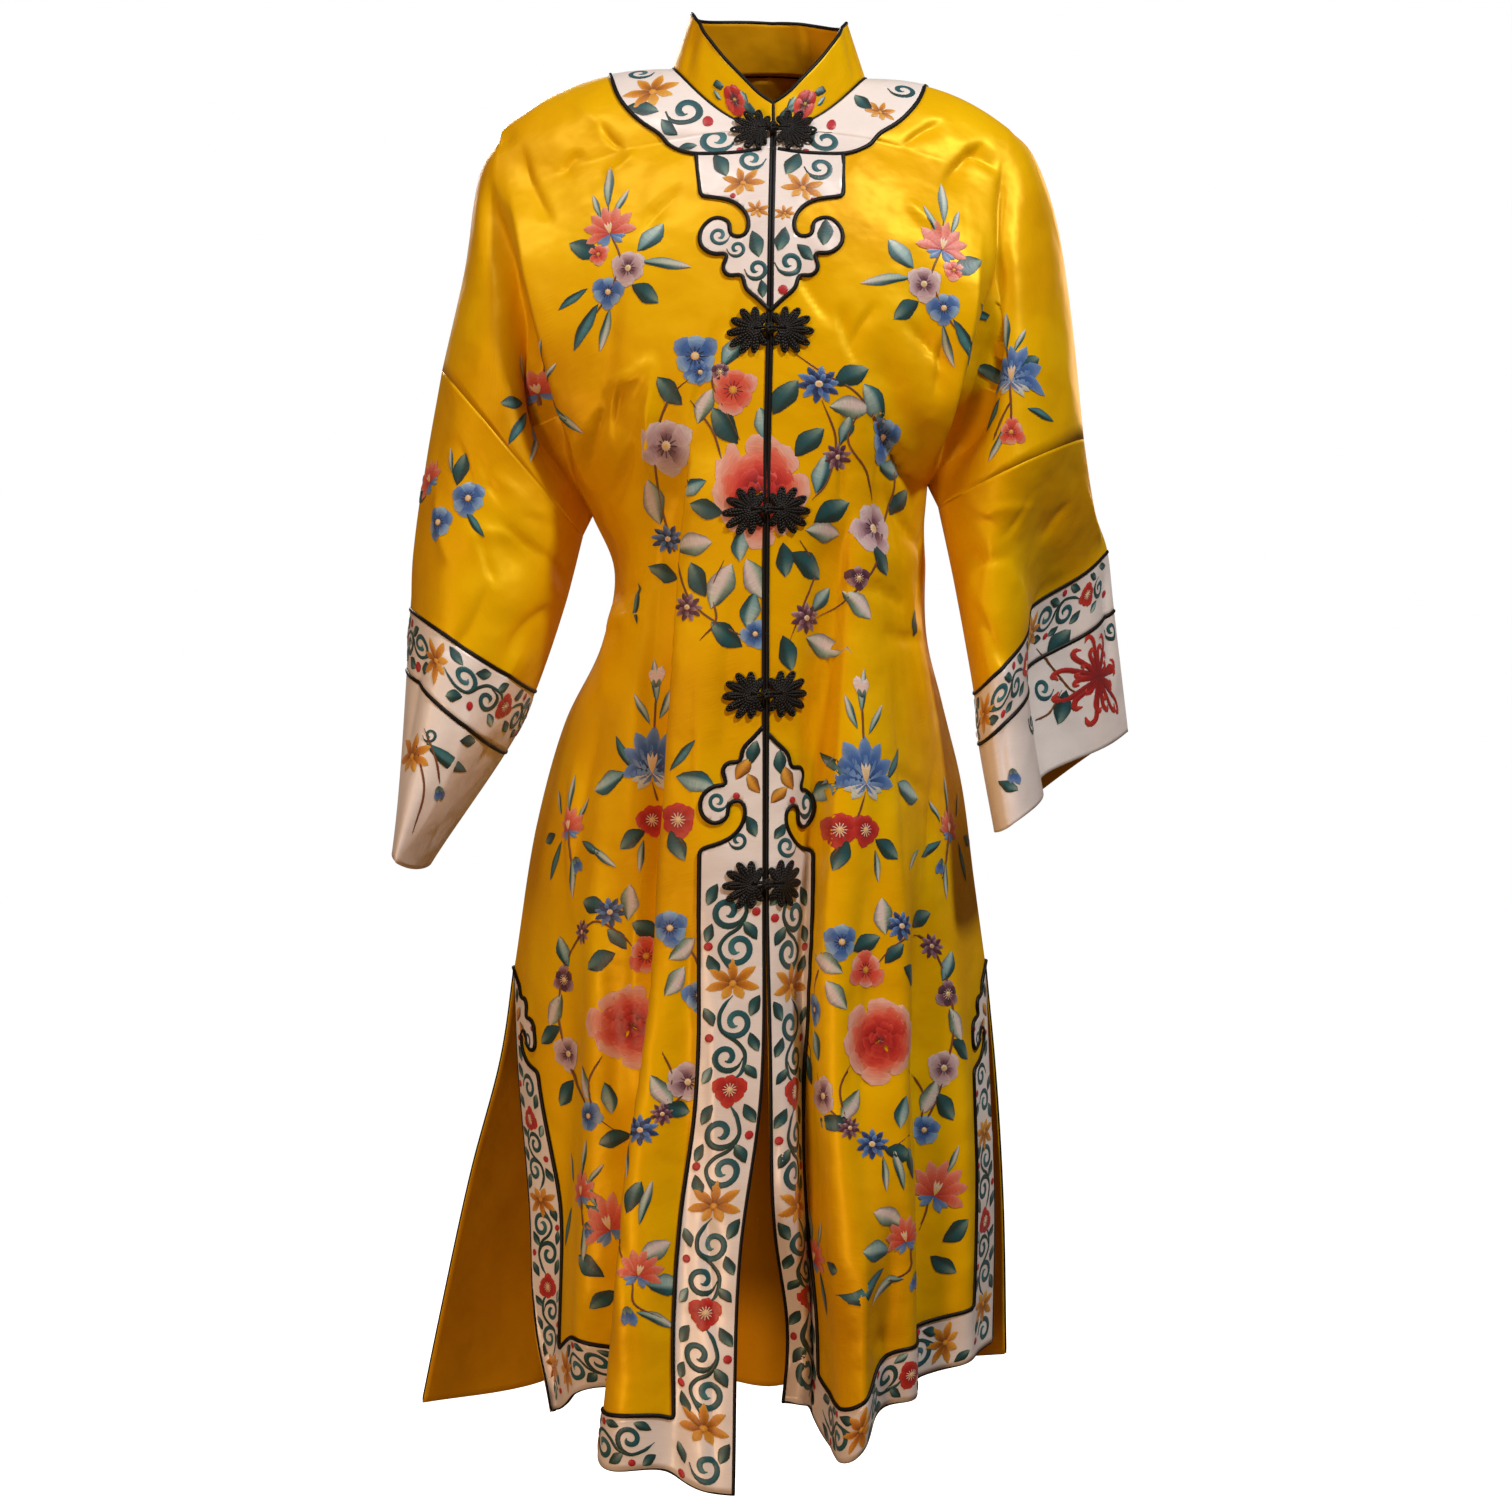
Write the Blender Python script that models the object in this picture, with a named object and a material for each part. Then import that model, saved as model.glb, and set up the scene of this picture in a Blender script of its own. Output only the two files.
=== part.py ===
"""Chinese silk robe: a worn, hollow stand-collar robe of yellow satin with white borders and cord frogs.

Metres, +Z up, the wearer faces -Y and the wearer's right is -X. The origin is the middle of the neck
opening, at the height of the two points where collar and shoulder meet. Every cloth piece is a wall: its
outer face is a grid of points worked out from the tables below, and its inner face is the same grid moved
in along the normal.
"""

import math

import bmesh
import bpy
import numpy as np

# Driving sizes
WALL = 0.0018
TUBE_WALL = 0.0022
SEAM_GAP = 0.0003
BORDER_LIFT = 0.0003
BORDER_WALL = 0.0011
STRIP_WIDTH = 0.045
HEM_WIDTH = 0.037
HEAD_LENGTH = 0.082
NECK_HALF_WIDTH = 0.0705
NECK_FRONT_REACH = 0.065
NECK_FRONT_DROP = 0.057
NECK_BACK_REACH = 0.056
NECK_BACK_RISE = 0.010
NECK_TILT = 0.007
FROG_DIAMETER = 0.029
FROG_THICKNESS = 0.0028
KNOT_DIAMETER = 0.0085

# Places along a panel: 0 is the shoulder line, ARMPIT the underarm, HEM the lower edge
ARMPIT = 1.0
HEM = 2.0
ROUND_STEPS = 12
ROWS_BELOW = 12
NECK_ROWS = 4
NECK_MIDDLE = NECK_ROWS / ROUND_STEPS
SLIT_PLACES = {"right": 1 + 6 / ROWS_BELOW, "left": 1 + 7 / ROWS_BELOW}

SIDES = {"right": -1, "left": 1}


def table(columns, *rows):
    """A table with named columns; the first column is the one that the others are read at."""
    return dict(zip(columns.split(), np.array(rows, float).T))


def read(rows, column, at):
    """The column as a smooth curve through its rows, a cubic with slopes that never overshoot a row."""
    keys = next(iter(rows.values()))
    values = rows[column]
    at = np.clip(np.asarray(at, float), keys[0], keys[-1])
    steps = np.diff(keys)
    rises = np.diff(values) / steps
    slopes = np.empty(len(keys))
    slopes[1:-1] = (rises[:-1] * steps[1:] + rises[1:] * steps[:-1]) / (steps[1:] + steps[:-1])
    slopes[0] = rises[0]
    slopes[-1] = rises[-1]
    index = np.clip(np.searchsorted(keys, at) - 1, 0, len(keys) - 2)
    step = steps[index]
    t = (at - keys[index]) / step
    return (
        (2 * t**3 - 3 * t**2 + 1) * values[index]
        + (t**3 - 2 * t**2 + t) * step * slopes[index]
        + (3 * t**2 - 2 * t**3) * values[index + 1]
        + (t**3 - t**2) * step * slopes[index + 1]
    )


# The outer edge of each panel in three stretches: the armhole down to the underarm, the side seam that
# front and back share, and the slit, where they part. place is the place along the panel, out the
# distance from the middle.
ARMHOLES = {
    ("right", "front"): table(
        "place out y z",
        (0.00, 0.190, 0.000, -0.040),
        (0.08, 0.191, -0.020, -0.046),
        (0.30, 0.193, -0.045, -0.096),
        (0.50, 0.178, -0.066, -0.150),
        (0.75, 0.160, -0.064, -0.226),
        (0.90, 0.146, -0.040, -0.282),
        (1.00, 0.127, 0.000, -0.320),
    ),
    ("left", "front"): table(
        "place out y z",
        (0.00, 0.172, 0.000, -0.041),
        (0.08, 0.171, -0.020, -0.046),
        (0.30, 0.168, -0.045, -0.088),
        (0.50, 0.164, -0.066, -0.142),
        (0.75, 0.157, -0.064, -0.210),
        (0.90, 0.140, -0.040, -0.262),
        (1.00, 0.114, 0.000, -0.298),
    ),
    ("right", "back"): table(
        "place out y z",
        (0.00, 0.190, 0.000, -0.040),
        (0.08, 0.191, 0.020, -0.046),
        (0.30, 0.192, 0.046, -0.096),
        (0.50, 0.178, 0.068, -0.150),
        (0.75, 0.162, 0.064, -0.226),
        (0.90, 0.146, 0.040, -0.282),
        (1.00, 0.127, 0.000, -0.320),
    ),
    ("left", "back"): table(
        "place out y z",
        (0.00, 0.172, 0.000, -0.041),
        (0.08, 0.171, 0.020, -0.046),
        (0.30, 0.168, 0.046, -0.088),
        (0.50, 0.164, 0.068, -0.142),
        (0.75, 0.157, 0.064, -0.210),
        (0.90, 0.140, 0.040, -0.262),
        (1.00, 0.114, 0.000, -0.298),
    ),
}
SEAMS = {
    "right": table(
        "place out y z",
        (1.00, 0.127, 0.000, -0.320),
        (1.06, 0.112, 0.006, -0.356),
        (1.14, 0.120, 0.008, -0.409),
        (1.24, 0.147, 0.008, -0.467),
        (1.35, 0.167, 0.008, -0.538),
        (SLIT_PLACES["right"], 0.184, 0.008, -0.645),
    ),
    "left": table(
        "place out y z",
        (1.00, 0.114, 0.000, -0.298),
        (1.08, 0.110, 0.006, -0.351),
        (1.18, 0.111, 0.008, -0.409),
        (1.26, 0.123, 0.008, -0.453),
        (1.36, 0.138, 0.008, -0.510),
        (1.47, 0.148, 0.008, -0.582),
        (SLIT_PLACES["left"], 0.156, 0.008, -0.640),
    ),
}
SLITS = {
    ("right", "front"): table(
        "place out y z",
        (SLIT_PLACES["right"], 0.184, 0.008, -0.645),
        (1.62, 0.180, -0.006, -0.714),
        (1.75, 0.171, -0.018, -0.810),
        (1.90, 0.168, -0.024, -0.905),
        (2.00, 0.158, -0.026, -0.964),
    ),
    ("left", "front"): table(
        "place out y z",
        (SLIT_PLACES["left"], 0.156, 0.008, -0.640),
        (1.70, 0.158, -0.006, -0.720),
        (1.84, 0.160, -0.018, -0.806),
        (2.00, 0.158, -0.026, -0.908),
    ),
    ("right", "back"): table(
        "place out y z",
        (SLIT_PLACES["right"], 0.184, 0.008, -0.645),
        (1.62, 0.196, 0.032, -0.714),
        (1.75, 0.220, 0.056, -0.800),
        (1.90, 0.245, 0.078, -0.908),
        (2.00, 0.260, 0.088, -0.978),
    ),
    ("left", "back"): table(
        "place out y z",
        (SLIT_PLACES["left"], 0.156, 0.008, -0.640),
        (1.70, 0.165, 0.030, -0.720),
        (1.84, 0.172, 0.044, -0.820),
        (2.00, 0.175, 0.054, -0.934),
    ),
}

# The middle edge of each front, and the middle line of the back, from the neck point to the hem.
MIDDLES = {
    ("right", "front"): table(
        "place x y z",
        (NECK_MIDDLE, 0.0028, -0.0650, -0.057),
        (0.45, 0.0020, -0.0840, -0.086),
        (0.58, 0.0010, -0.1020, -0.130),
        (0.78, 0.0000, -0.1140, -0.200),
        (1.00, -0.0020, -0.1190, -0.296),
        (1.15, -0.0030, -0.1180, -0.392),
        (1.30, -0.0030, -0.1180, -0.492),
        (1.45, -0.0032, -0.1240, -0.590),
        (1.62, -0.0050, -0.1320, -0.718),
        (1.78, -0.0190, -0.1380, -0.826),
        (2.00, -0.0235, -0.1460, -0.985),
    ),
    ("left", "front"): table(
        "place x y z",
        (NECK_MIDDLE, 0.0028, -0.0650, -0.057),
        (0.45, 0.0020, -0.0840, -0.086),
        (0.58, 0.0010, -0.1020, -0.130),
        (0.78, 0.0000, -0.1140, -0.200),
        (1.00, -0.0020, -0.1190, -0.296),
        (1.15, -0.0030, -0.1180, -0.392),
        (1.30, -0.0030, -0.1180, -0.492),
        (1.45, -0.0032, -0.1240, -0.590),
        (1.62, -0.0010, -0.1290, -0.700),
        (1.78, 0.0000, -0.1260, -0.798),
        (2.00, 0.0020, -0.1060, -0.937),
    ),
    "back": table(
        "place x y z",
        (NECK_MIDDLE, 0.000, 0.056, 0.010),
        (0.42, 0.000, 0.079, -0.030),
        (0.58, 0.000, 0.104, -0.128),
        (0.78, 0.000, 0.110, -0.200),
        (1.00, 0.000, 0.106, -0.300),
        (1.15, 0.000, 0.098, -0.395),
        (1.30, 0.000, 0.104, -0.490),
        (1.45, 0.000, 0.120, -0.590),
        (1.62, 0.000, 0.134, -0.712),
        (1.78, 0.000, 0.144, -0.824),
        (2.00, 0.000, 0.154, -0.978),
    ),
}

# How far a row of a panel turns from facing front to facing the side, in degrees, and how late it drops.
TURN = table(
    "place degrees drop",
    (0.00, 6, 2.4),
    (0.35, 38, 1.9),
    (0.60, 62, 1.6),
    (1.00, 84, 1.3),
    (1.25, 74, 1.2),
    (1.50, 62, 1.2),
    (1.75, 54, 1.2),
    (2.00, 50, 1.2),
)

# The overarm fold from the shoulder point to the mid-arm seam. along is 0 at the armhole and 1 at the seam.
OVERARM = {
    "right": table(
        "along out y z",
        (0.00, 0.1900, 0.000, -0.040),
        (0.30, 0.2080, 0.000, -0.074),
        (0.70, 0.2200, 0.000, -0.150),
        (1.00, 0.2348, 0.000, -0.216),
    ),
    "left": table(
        "along out y z",
        (0.00, 0.1720, 0.000, -0.041),
        (0.20, 0.1890, 0.000, -0.058),
        (0.45, 0.2060, 0.002, -0.102),
        (0.70, 0.2170, 0.005, -0.165),
        (1.00, 0.2275, 0.010, -0.264),
    ),
}

# Rings of the lower sleeve: over is the overarm point, under the underarm point, front and back how far
# the ring bulges to each side, and lean how far the front bulge sits towards the underarm (1 is in the
# middle).
RINGS = {
    "right": table(
        "ring over_out over_y over_z under_out under_y under_z front back lean",
        (0, 0.2348, 0.000, -0.216, 0.134, 0.000, -0.334, 0.072, 0.060, 1.0),
        (1, 0.2477, 0.000, -0.294, 0.147, 0.000, -0.384, 0.080, 0.070, 1.0),
        (2, 0.2570, 0.000, -0.387, 0.1685, 0.000, -0.446, 0.086, 0.080, 1.0),
        (3, 0.2590, 0.000, -0.430, 0.1900, 0.000, -0.490, 0.092, 0.088, 1.0),
        (4, 0.2643, 0.000, -0.556, 0.2477, 0.000, -0.573, 0.102, 0.096, 1.0),
    ),
    "left": table(
        "ring over_out over_y over_z under_out under_y under_z front back lean",
        (0, 0.2275, 0.010, -0.264, 0.122, 0.000, -0.314, 0.072, 0.060, 1.1),
        (1, 0.2400, 0.044, -0.312, 0.133, -0.014, -0.372, 0.062, 0.056, 1.5),
        (2, 0.2528, 0.072, -0.340, 0.1452, -0.030, -0.448, 0.050, 0.056, 1.9),
        (3, 0.2580, 0.074, -0.384, 0.1480, -0.036, -0.484, 0.050, 0.058, 1.9),
        (4, 0.2690, 0.078, -0.474, 0.1580, -0.050, -0.546, 0.048, 0.060, 2.0),
    ),
}

# Folds of the body, each along a line through three points of the front or back view. offset is how far
# the cloth stands out, negative for a hollow, width how wide the change is, and reach how far a knife
# fold stays proud on the side that it lies towards, 0 for a soft ridge or hollow.
FOLD_COLUMNS = "x1 z1 x2 z2 x3 z3 offset width reach"
FOLDS = {
    "front": {
        "right_knife": (-0.054, -0.28, -0.075, -0.66, -0.105, -0.97, 0.020, 0.005, 0.055),
        "left_knife": (0.056, -0.32, 0.032, -0.65, 0.044, -0.90, 0.020, 0.005, 0.055),
        "right_side_hollow": (-0.120, -0.50, -0.128, -0.75, -0.134, -0.99, -0.012, 0.020, 0),
        "right_front_hollow": (-0.030, -0.62, -0.048, -0.80, -0.060, -1.00, -0.006, 0.014, 0),
        "left_recess": (0.030, -0.58, 0.028, -0.76, 0.030, -0.95, -0.012, 0.010, 0),
        "left_side_hollow": (0.105, -0.46, 0.112, -0.70, 0.118, -0.95, -0.010, 0.018, 0),
        "left_hem_wave": (0.060, -0.70, 0.056, -0.85, 0.052, -0.97, 0.016, 0.016, 0),
        "right_bust_crease": (-0.076, -0.21, -0.092, -0.26, -0.106, -0.31, -0.005, 0.012, 0),
        "left_bust_crease": (0.070, -0.20, 0.086, -0.25, 0.100, -0.29, -0.005, 0.012, 0),
    },
    "back": {
        "right_back_fold": (-0.055, -0.44, -0.075, -0.70, -0.105, -0.99, 0.012, 0.020, 0),
        "middle_hollow": (0.008, -0.40, 0.010, -0.70, 0.006, -0.99, -0.010, 0.026, 0),
        "left_back_fold": (0.056, -0.42, 0.066, -0.68, 0.078, -0.97, 0.012, 0.018, 0),
        "right_waist_crease": (-0.100, -0.36, -0.078, -0.40, -0.052, -0.42, -0.005, 0.012, 0),
        "left_waist_crease": (0.094, -0.35, 0.070, -0.40, 0.046, -0.43, -0.005, 0.012, 0),
    },
}

# Folds of the sleeves, by the place round the ring (0 overarm, 1 underarm, up to 2 round the back) and
# the ring.
SLEEVE_FOLDS = {
    "right": {
        "elbow_front": dict(round_at=0.62, ring_at=0.9, round_width=0.10, ring_width=0.30, offset=-0.007),
        "elbow_inner": dict(round_at=0.88, ring_at=0.6, round_width=0.08, ring_width=0.25, offset=-0.006),
        "elbow_back": dict(round_at=1.45, ring_at=0.9, round_width=0.14, ring_width=0.35, offset=-0.007),
    },
    "left": {
        "front_recess": dict(round_at=0.44, ring_at=3.4, round_width=0.12, ring_width=2.0, offset=-0.032),
        "elbow_inner": dict(round_at=0.80, ring_at=0.8, round_width=0.09, ring_width=0.30, offset=-0.007),
        "elbow_back": dict(round_at=1.45, ring_at=0.9, round_width=0.14, ring_width=0.35, offset=-0.007),
    },
}

# Waves of the lower edge: where along the front view, how wide, and how far the hem drops there.
HEM_WAVES = {
    ("right", "front"): (dict(x=-0.128, width=0.022, drop=-0.040), dict(x=-0.075, width=0.020, drop=-0.010)),
    ("left", "front"): (dict(x=0.046, width=0.018, drop=0.034), dict(x=0.100, width=0.030, drop=0.006)),
    ("right", "back"): (dict(x=-0.150, width=0.040, drop=-0.008),),
    ("left", "back"): (dict(x=0.090, width=0.030, drop=0.006),),
}

# Half a cloud head: out is the distance from the edge that it stands on, down the distance from its tip.
CLOUD_HEAD = table(
    "point out down",
    (0, 0.0000, 0.000),
    (1, 0.0085, 0.009),
    (2, 0.0155, 0.016),
    (3, 0.0176, 0.025),
    (4, 0.0260, 0.025),
    (5, 0.0300, 0.031),
    (6, 0.0270, 0.040),
    (7, 0.0360, 0.041),
    (8, 0.0440, 0.048),
    (9, 0.0440, 0.059),
    (10, 0.0360, 0.066),
    (11, 0.0265, 0.062),
    (12, 0.0255, 0.053),
    (13, 0.0175, 0.051),
    (14, 0.0140, 0.058),
    (15, 0.0165, 0.068),
    (16, 0.0260, 0.077),
    (17, 0.0450, 0.083),
)

# The collar, by degrees round from the front: its height, and how far it leans in at the top.
COLLAR = table(
    "degrees height lean",
    (0, 0.020, 0.003),
    (10, 0.026, 0.003),
    (20, 0.033, 0.004),
    (36, 0.039, 0.006),
    (60, 0.042, 0.010),
    (90, 0.040, 0.0136),
    (135, 0.038, 0.012),
    (180, 0.036, 0.010),
)
COLLAR_SET_IN = 0.0009
COLLAR_SET_UP = 0.0006

# The outer line of the neck border in the front view, from the shoulder line to the opening.
YOKE_EDGE = table(
    "point out z",
    (0, 0.1138, -0.005),
    (1, 0.1058, -0.029),
    (2, 0.0922, -0.047),
    (3, 0.0764, -0.059),
    (4, 0.0700, -0.0675),
    (5, 0.0594, -0.0735),
    (6, 0.0461, -0.0758),
    (7, 0.0204, -0.0750),
    (8, 0.0011, -0.0715),
)
YOKE_WIDTH = 0.043
TAB_TIP = -0.190
TAB_LENGTH = 0.085
TAB_WIDTH = 0.049
TAB_SEAM = 0.0006
HEAD_TOPS = {"right": -0.471, "left": -0.476}
SLIT_TOPS = {"right": -0.645, "left": -0.640}
SLIT_STRIP_WIDTH = 0.036
SLIT_HEAD_SCALE = 0.85

NECK_FROG_HEIGHT = -0.0585
FROG_HEIGHTS = {2: -0.2030, 3: -0.3260, 4: -0.4510, 5: -0.5790}
FROGS_ON_BORDERS = (5,)
FROG_REACH = 0.0158
KNOT_DEPTH = 0.006
KNOT_ROOM = 0.0006
PATCH_WIDTH = 0.033
PATCH_COLUMNS = 6
PATCH_ROWS = 3
PATCH_STEP = 0.0065
PATCH_LEAN = 0.08

# The grids: rows below the underarm, columns across a panel and along the upper sleeve, rows down the
# neckline.
COLUMNS_FRONT = 12
COLUMNS_BACK = 9
COLUMNS_CAP = 3
SIDE_CROWDING = 0.95
FASTENED_ROWS = 18
EDGE = SEAM_GAP / 2
EDGE_STEP = 0.01
CUFF_EDGE = 4
SLEEVE_PIECES = (
    ("sleeve", 0, 2, 5, "satin"),
    ("band", 2, 3, 2, "white"),
    ("cuff", 3, 4, 3, "white"),
)

FINISHES = {
    "satin": ((0.80, 0.50, 0.02, 1), 0.35),
    "white": ((0.78, 0.72, 0.68, 1), 0.4),
    "cord": ((0.012, 0.008, 0.012, 1), 0.6),
}


def smooth_step(x):
    x = np.clip(x, 0, 1)
    return x * x * (3 - 2 * x)


def unit(vectors):
    return vectors / np.maximum(np.linalg.norm(vectors, axis=-1, keepdims=True), 1e-12)


def neck_line(angle, face, side):
    """The seam between collar and body: angle 0 is the middle of the front or back and 90 degrees the
    shoulder. The neck hangs a little lower on the wearer's left. Gives the share of the half width, y
    and z."""
    sine = np.sin(angle)
    cosine = np.cos(angle)
    if face == "front":
        reach, rise = -NECK_FRONT_REACH, -NECK_FRONT_DROP
    else:
        reach, rise = NECK_BACK_REACH, NECK_BACK_RISE
    tilt = np.where(np.asarray(side) > 0, NECK_TILT, 0) * sine**2
    return sine, reach * cosine, rise * cosine**2 - tilt


def inner_edge(side, face, place):
    """The neckline from the shoulder to its middle, then the middle edge of the front or back down to
    the hem."""
    sign = SIDES[side]
    middle = MIDDLES["back"] if face == "back" else MIDDLES[side, face]
    start = middle["place"][0]
    angle = (1 - np.clip(place / start, 0, 1)) * math.pi / 2
    sine, neck_y, neck_z = neck_line(angle, face, sign)
    middle_x = middle["x"][0]
    neck_x = middle_x + (sign * NECK_HALF_WIDTH - middle_x) * sine
    on_neck = place <= start
    return np.stack(
        [
            np.where(on_neck, neck_x, read(middle, "x", place)),
            np.where(on_neck, neck_y, read(middle, "y", place)),
            np.where(on_neck, neck_z, read(middle, "z", place)),
        ],
        axis=-1,
    )


def outer_edge(side, face, place):
    armhole, seam, slit = ARMHOLES[side, face], SEAMS[side], SLITS[side, face]

    def along(column):
        upper = np.where(place <= ARMPIT, read(armhole, column, place), read(seam, column, place))
        return np.where(place <= slit["place"][0], upper, read(slit, column, place))

    return np.stack([SIDES[side] * along("out"), along("y"), along("z")], axis=-1)


def body_surface(side, face, across, place):
    """Each row runs from the middle edge (across 0) to the side (across 1) as part of an ellipse, which turns
    further round the lower it lies: straight along the shoulder line and a full quarter at the underarm."""
    inner = inner_edge(side, face, place)
    outer = outer_edge(side, face, place)
    turn = np.radians(read(TURN, "degrees", place))
    drop = read(TURN, "drop", place)
    along = np.sin(across * turn) / np.sin(turn)
    depth = ((1 - np.cos(across * turn)) / (1 - np.cos(turn))) ** 1.12
    x = inner[..., 0] + (outer[..., 0] - inner[..., 0]) * along
    y = inner[..., 1] + (outer[..., 1] - inner[..., 1]) * depth
    z = inner[..., 2] + (outer[..., 2] - inner[..., 2]) * across**drop
    return np.stack([x, y, z], axis=-1)


def ring_point(side, around, ring):
    """A ring of the lower sleeve: around 0 is the overarm, 1 the underarm and 2 the overarm again,
    over the back."""
    rows = RINGS[side]
    sign = SIDES[side]
    ends = []
    for end in ("over", "under"):
        out = sign * read(rows, end + "_out", ring)
        ends.append(np.stack([out, read(rows, end + "_y", ring), read(rows, end + "_z", ring)], -1))
    over, under = ends
    front = around <= 1
    part = np.where(front, around, 2 - around)
    share = (1 - np.cos(math.pi * part)) / 2
    lean = read(rows, "lean", ring)
    bulge = np.where(
        front,
        -read(rows, "front", ring) * np.sin(math.pi * part**lean),
        read(rows, "back", ring) * np.sin(math.pi * part),
    )
    point = over + (under - over) * share[..., None]
    point[..., 1] += bulge
    return point


def cap_surface(side, face, along, place):
    """The upper sleeve, cut in one with the panel: it blends the armhole edge into the ring at the
    mid-arm seam, pulled out along the overarm fold."""
    armhole = outer_edge(side, face, place)
    around = np.clip(place, 0, 1)
    ring = ring_point(side, around if face == "front" else 2 - around, np.zeros_like(around))
    rows = OVERARM[side]
    out = SIDES[side] * read(rows, "out", along)
    over = np.stack([out, read(rows, "y", along), read(rows, "z", along)], -1)
    start = outer_edge(side, face, np.zeros_like(place))
    end = ring_point(side, np.zeros_like(around), np.zeros_like(around))
    pull = over - (start + (end - start) * along[..., None])
    return armhole + (ring - armhole) * along[..., None] + pull * ((1 - around) ** 1.5)[..., None]


def panel_surface(side, face, column, place):
    """column 0 to 1 is the body from the middle to the side, and 1 to 2 the upper sleeve."""
    on_body = body_surface(side, face, np.clip(column, 0, 1), place)
    on_cap = cap_surface(side, face, np.clip(column - 1, 0, 1), place)
    return np.where((column <= 1)[..., None], on_body, on_cap)


def grid_normals(points, wraps=False):
    """The direction square to both grid directions at each point, pointing whichever way the grid turns."""
    if wraps:
        around = np.roll(points, -1, axis=1) - np.roll(points, 1, axis=1)
    else:
        around = np.gradient(points, axis=1)
    return unit(np.cross(around, np.gradient(points, axis=0)))


def fold_offsets(face, points):
    """How far the folds of this face push each point out, from its place in the front view."""
    x = points[..., 0]
    z = points[..., 2]
    total = np.zeros(x.shape)
    for row in FOLDS[face].values():
        fold = dict(zip(FOLD_COLUMNS.split(), row))
        heights = np.array([fold["z3"], fold["z2"], fold["z1"]])
        line = np.interp(z, heights, [fold["x3"], fold["x2"], fold["x1"]])
        length = fold["z1"] - fold["z3"]
        fade = smooth_step((fold["z1"] - z) / (0.45 * length))
        if fold["z3"] > -0.85:
            fade = fade * smooth_step((z - fold["z3"]) / (0.45 * length))
        away = x - line
        if fold["reach"]:
            towards = away / fold["reach"]
            rise = smooth_step(0.5 + away * np.sign(fold["reach"]) / (2 * fold["width"]))
            shape = rise * np.exp(-np.clip(towards, 0, None) ** 2)
        else:
            shape = np.exp(-((away / fold["width"]) ** 2))
        total += fold["offset"] * fade * shape
    return total


def hem_drop(side, face, column, place, x):
    """How far the waves of the lower edge lower each point, growing over the last stretch above the hem."""
    grow = smooth_step((place - 1.6) / (HEM - 1.6))
    total = np.zeros(x.shape)
    for wave in HEM_WAVES[side, face]:
        total += wave["drop"] * np.exp(-(((x - wave["x"]) / wave["width"]) ** 2))
    return np.where(column <= 1, total * grow, 0)


def folded_panel(side, face, columns, places):
    """The panel's outer face with its folds, and the normals that point away from the body."""
    column, place = np.meshgrid(columns, places)
    base = panel_surface(side, face, column, place)
    outward = -SIDES[side] * (1 if face == "front" else -1)
    normals = grid_normals(base) * outward
    points = base + normals * (fold_offsets(face, base) * (column <= 1))[..., None]
    points[..., 2] -= hem_drop(side, face, column, place, base[..., 0])
    return points, grid_normals(points) * outward


def sleeve_grid(side, arounds, rings):
    """The lower sleeve between two rings, with its folds, and its outward normals."""
    around, ring = np.meshgrid(arounds, rings)
    points = ring_point(side, around, ring)
    normals = grid_normals(points, wraps=True) * SIDES[side]
    offset = np.zeros(around.shape)
    away_from_seam = smooth_step(ring)
    for fold in SLEEVE_FOLDS[side].values():
        away = (around - fold["round_at"]) / fold["round_width"]
        along = (ring - fold["ring_at"]) / fold["ring_width"]
        offset += fold["offset"] * np.exp(-(away**2) - along**2)
    points = points + normals * (offset * away_from_seam)[..., None]
    return points, grid_normals(points, wraps=True) * SIDES[side]


# Finding places on a panel


def lay_on(points, normals, flat):
    """Takes points cut flat, as column, row and height over the cloth, to their places on a grid: inside each
    triangle of the grid the map is straight, so a piece never dips into the cloth that it lies on."""
    rows, columns = points.shape[:2]
    column = np.clip(flat[:, 0], 0, columns - 1 - 1e-9)
    row = np.clip(flat[:, 1], 0, rows - 1 - 1e-9)
    j = column.astype(int)
    i = row.astype(int)
    f = (column - j)[:, None]
    g = (row - i)[:, None]

    def blend(grid):
        a, b = grid[i, j], grid[i, j + 1]
        d, c = grid[i + 1, j], grid[i + 1, j + 1]
        return np.where(f >= g, a + f * (b - a) + g * (c - b), a + g * (d - a) + f * (c - d))

    return blend(points) + blend(normals) * flat[:, 2:3]


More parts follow.
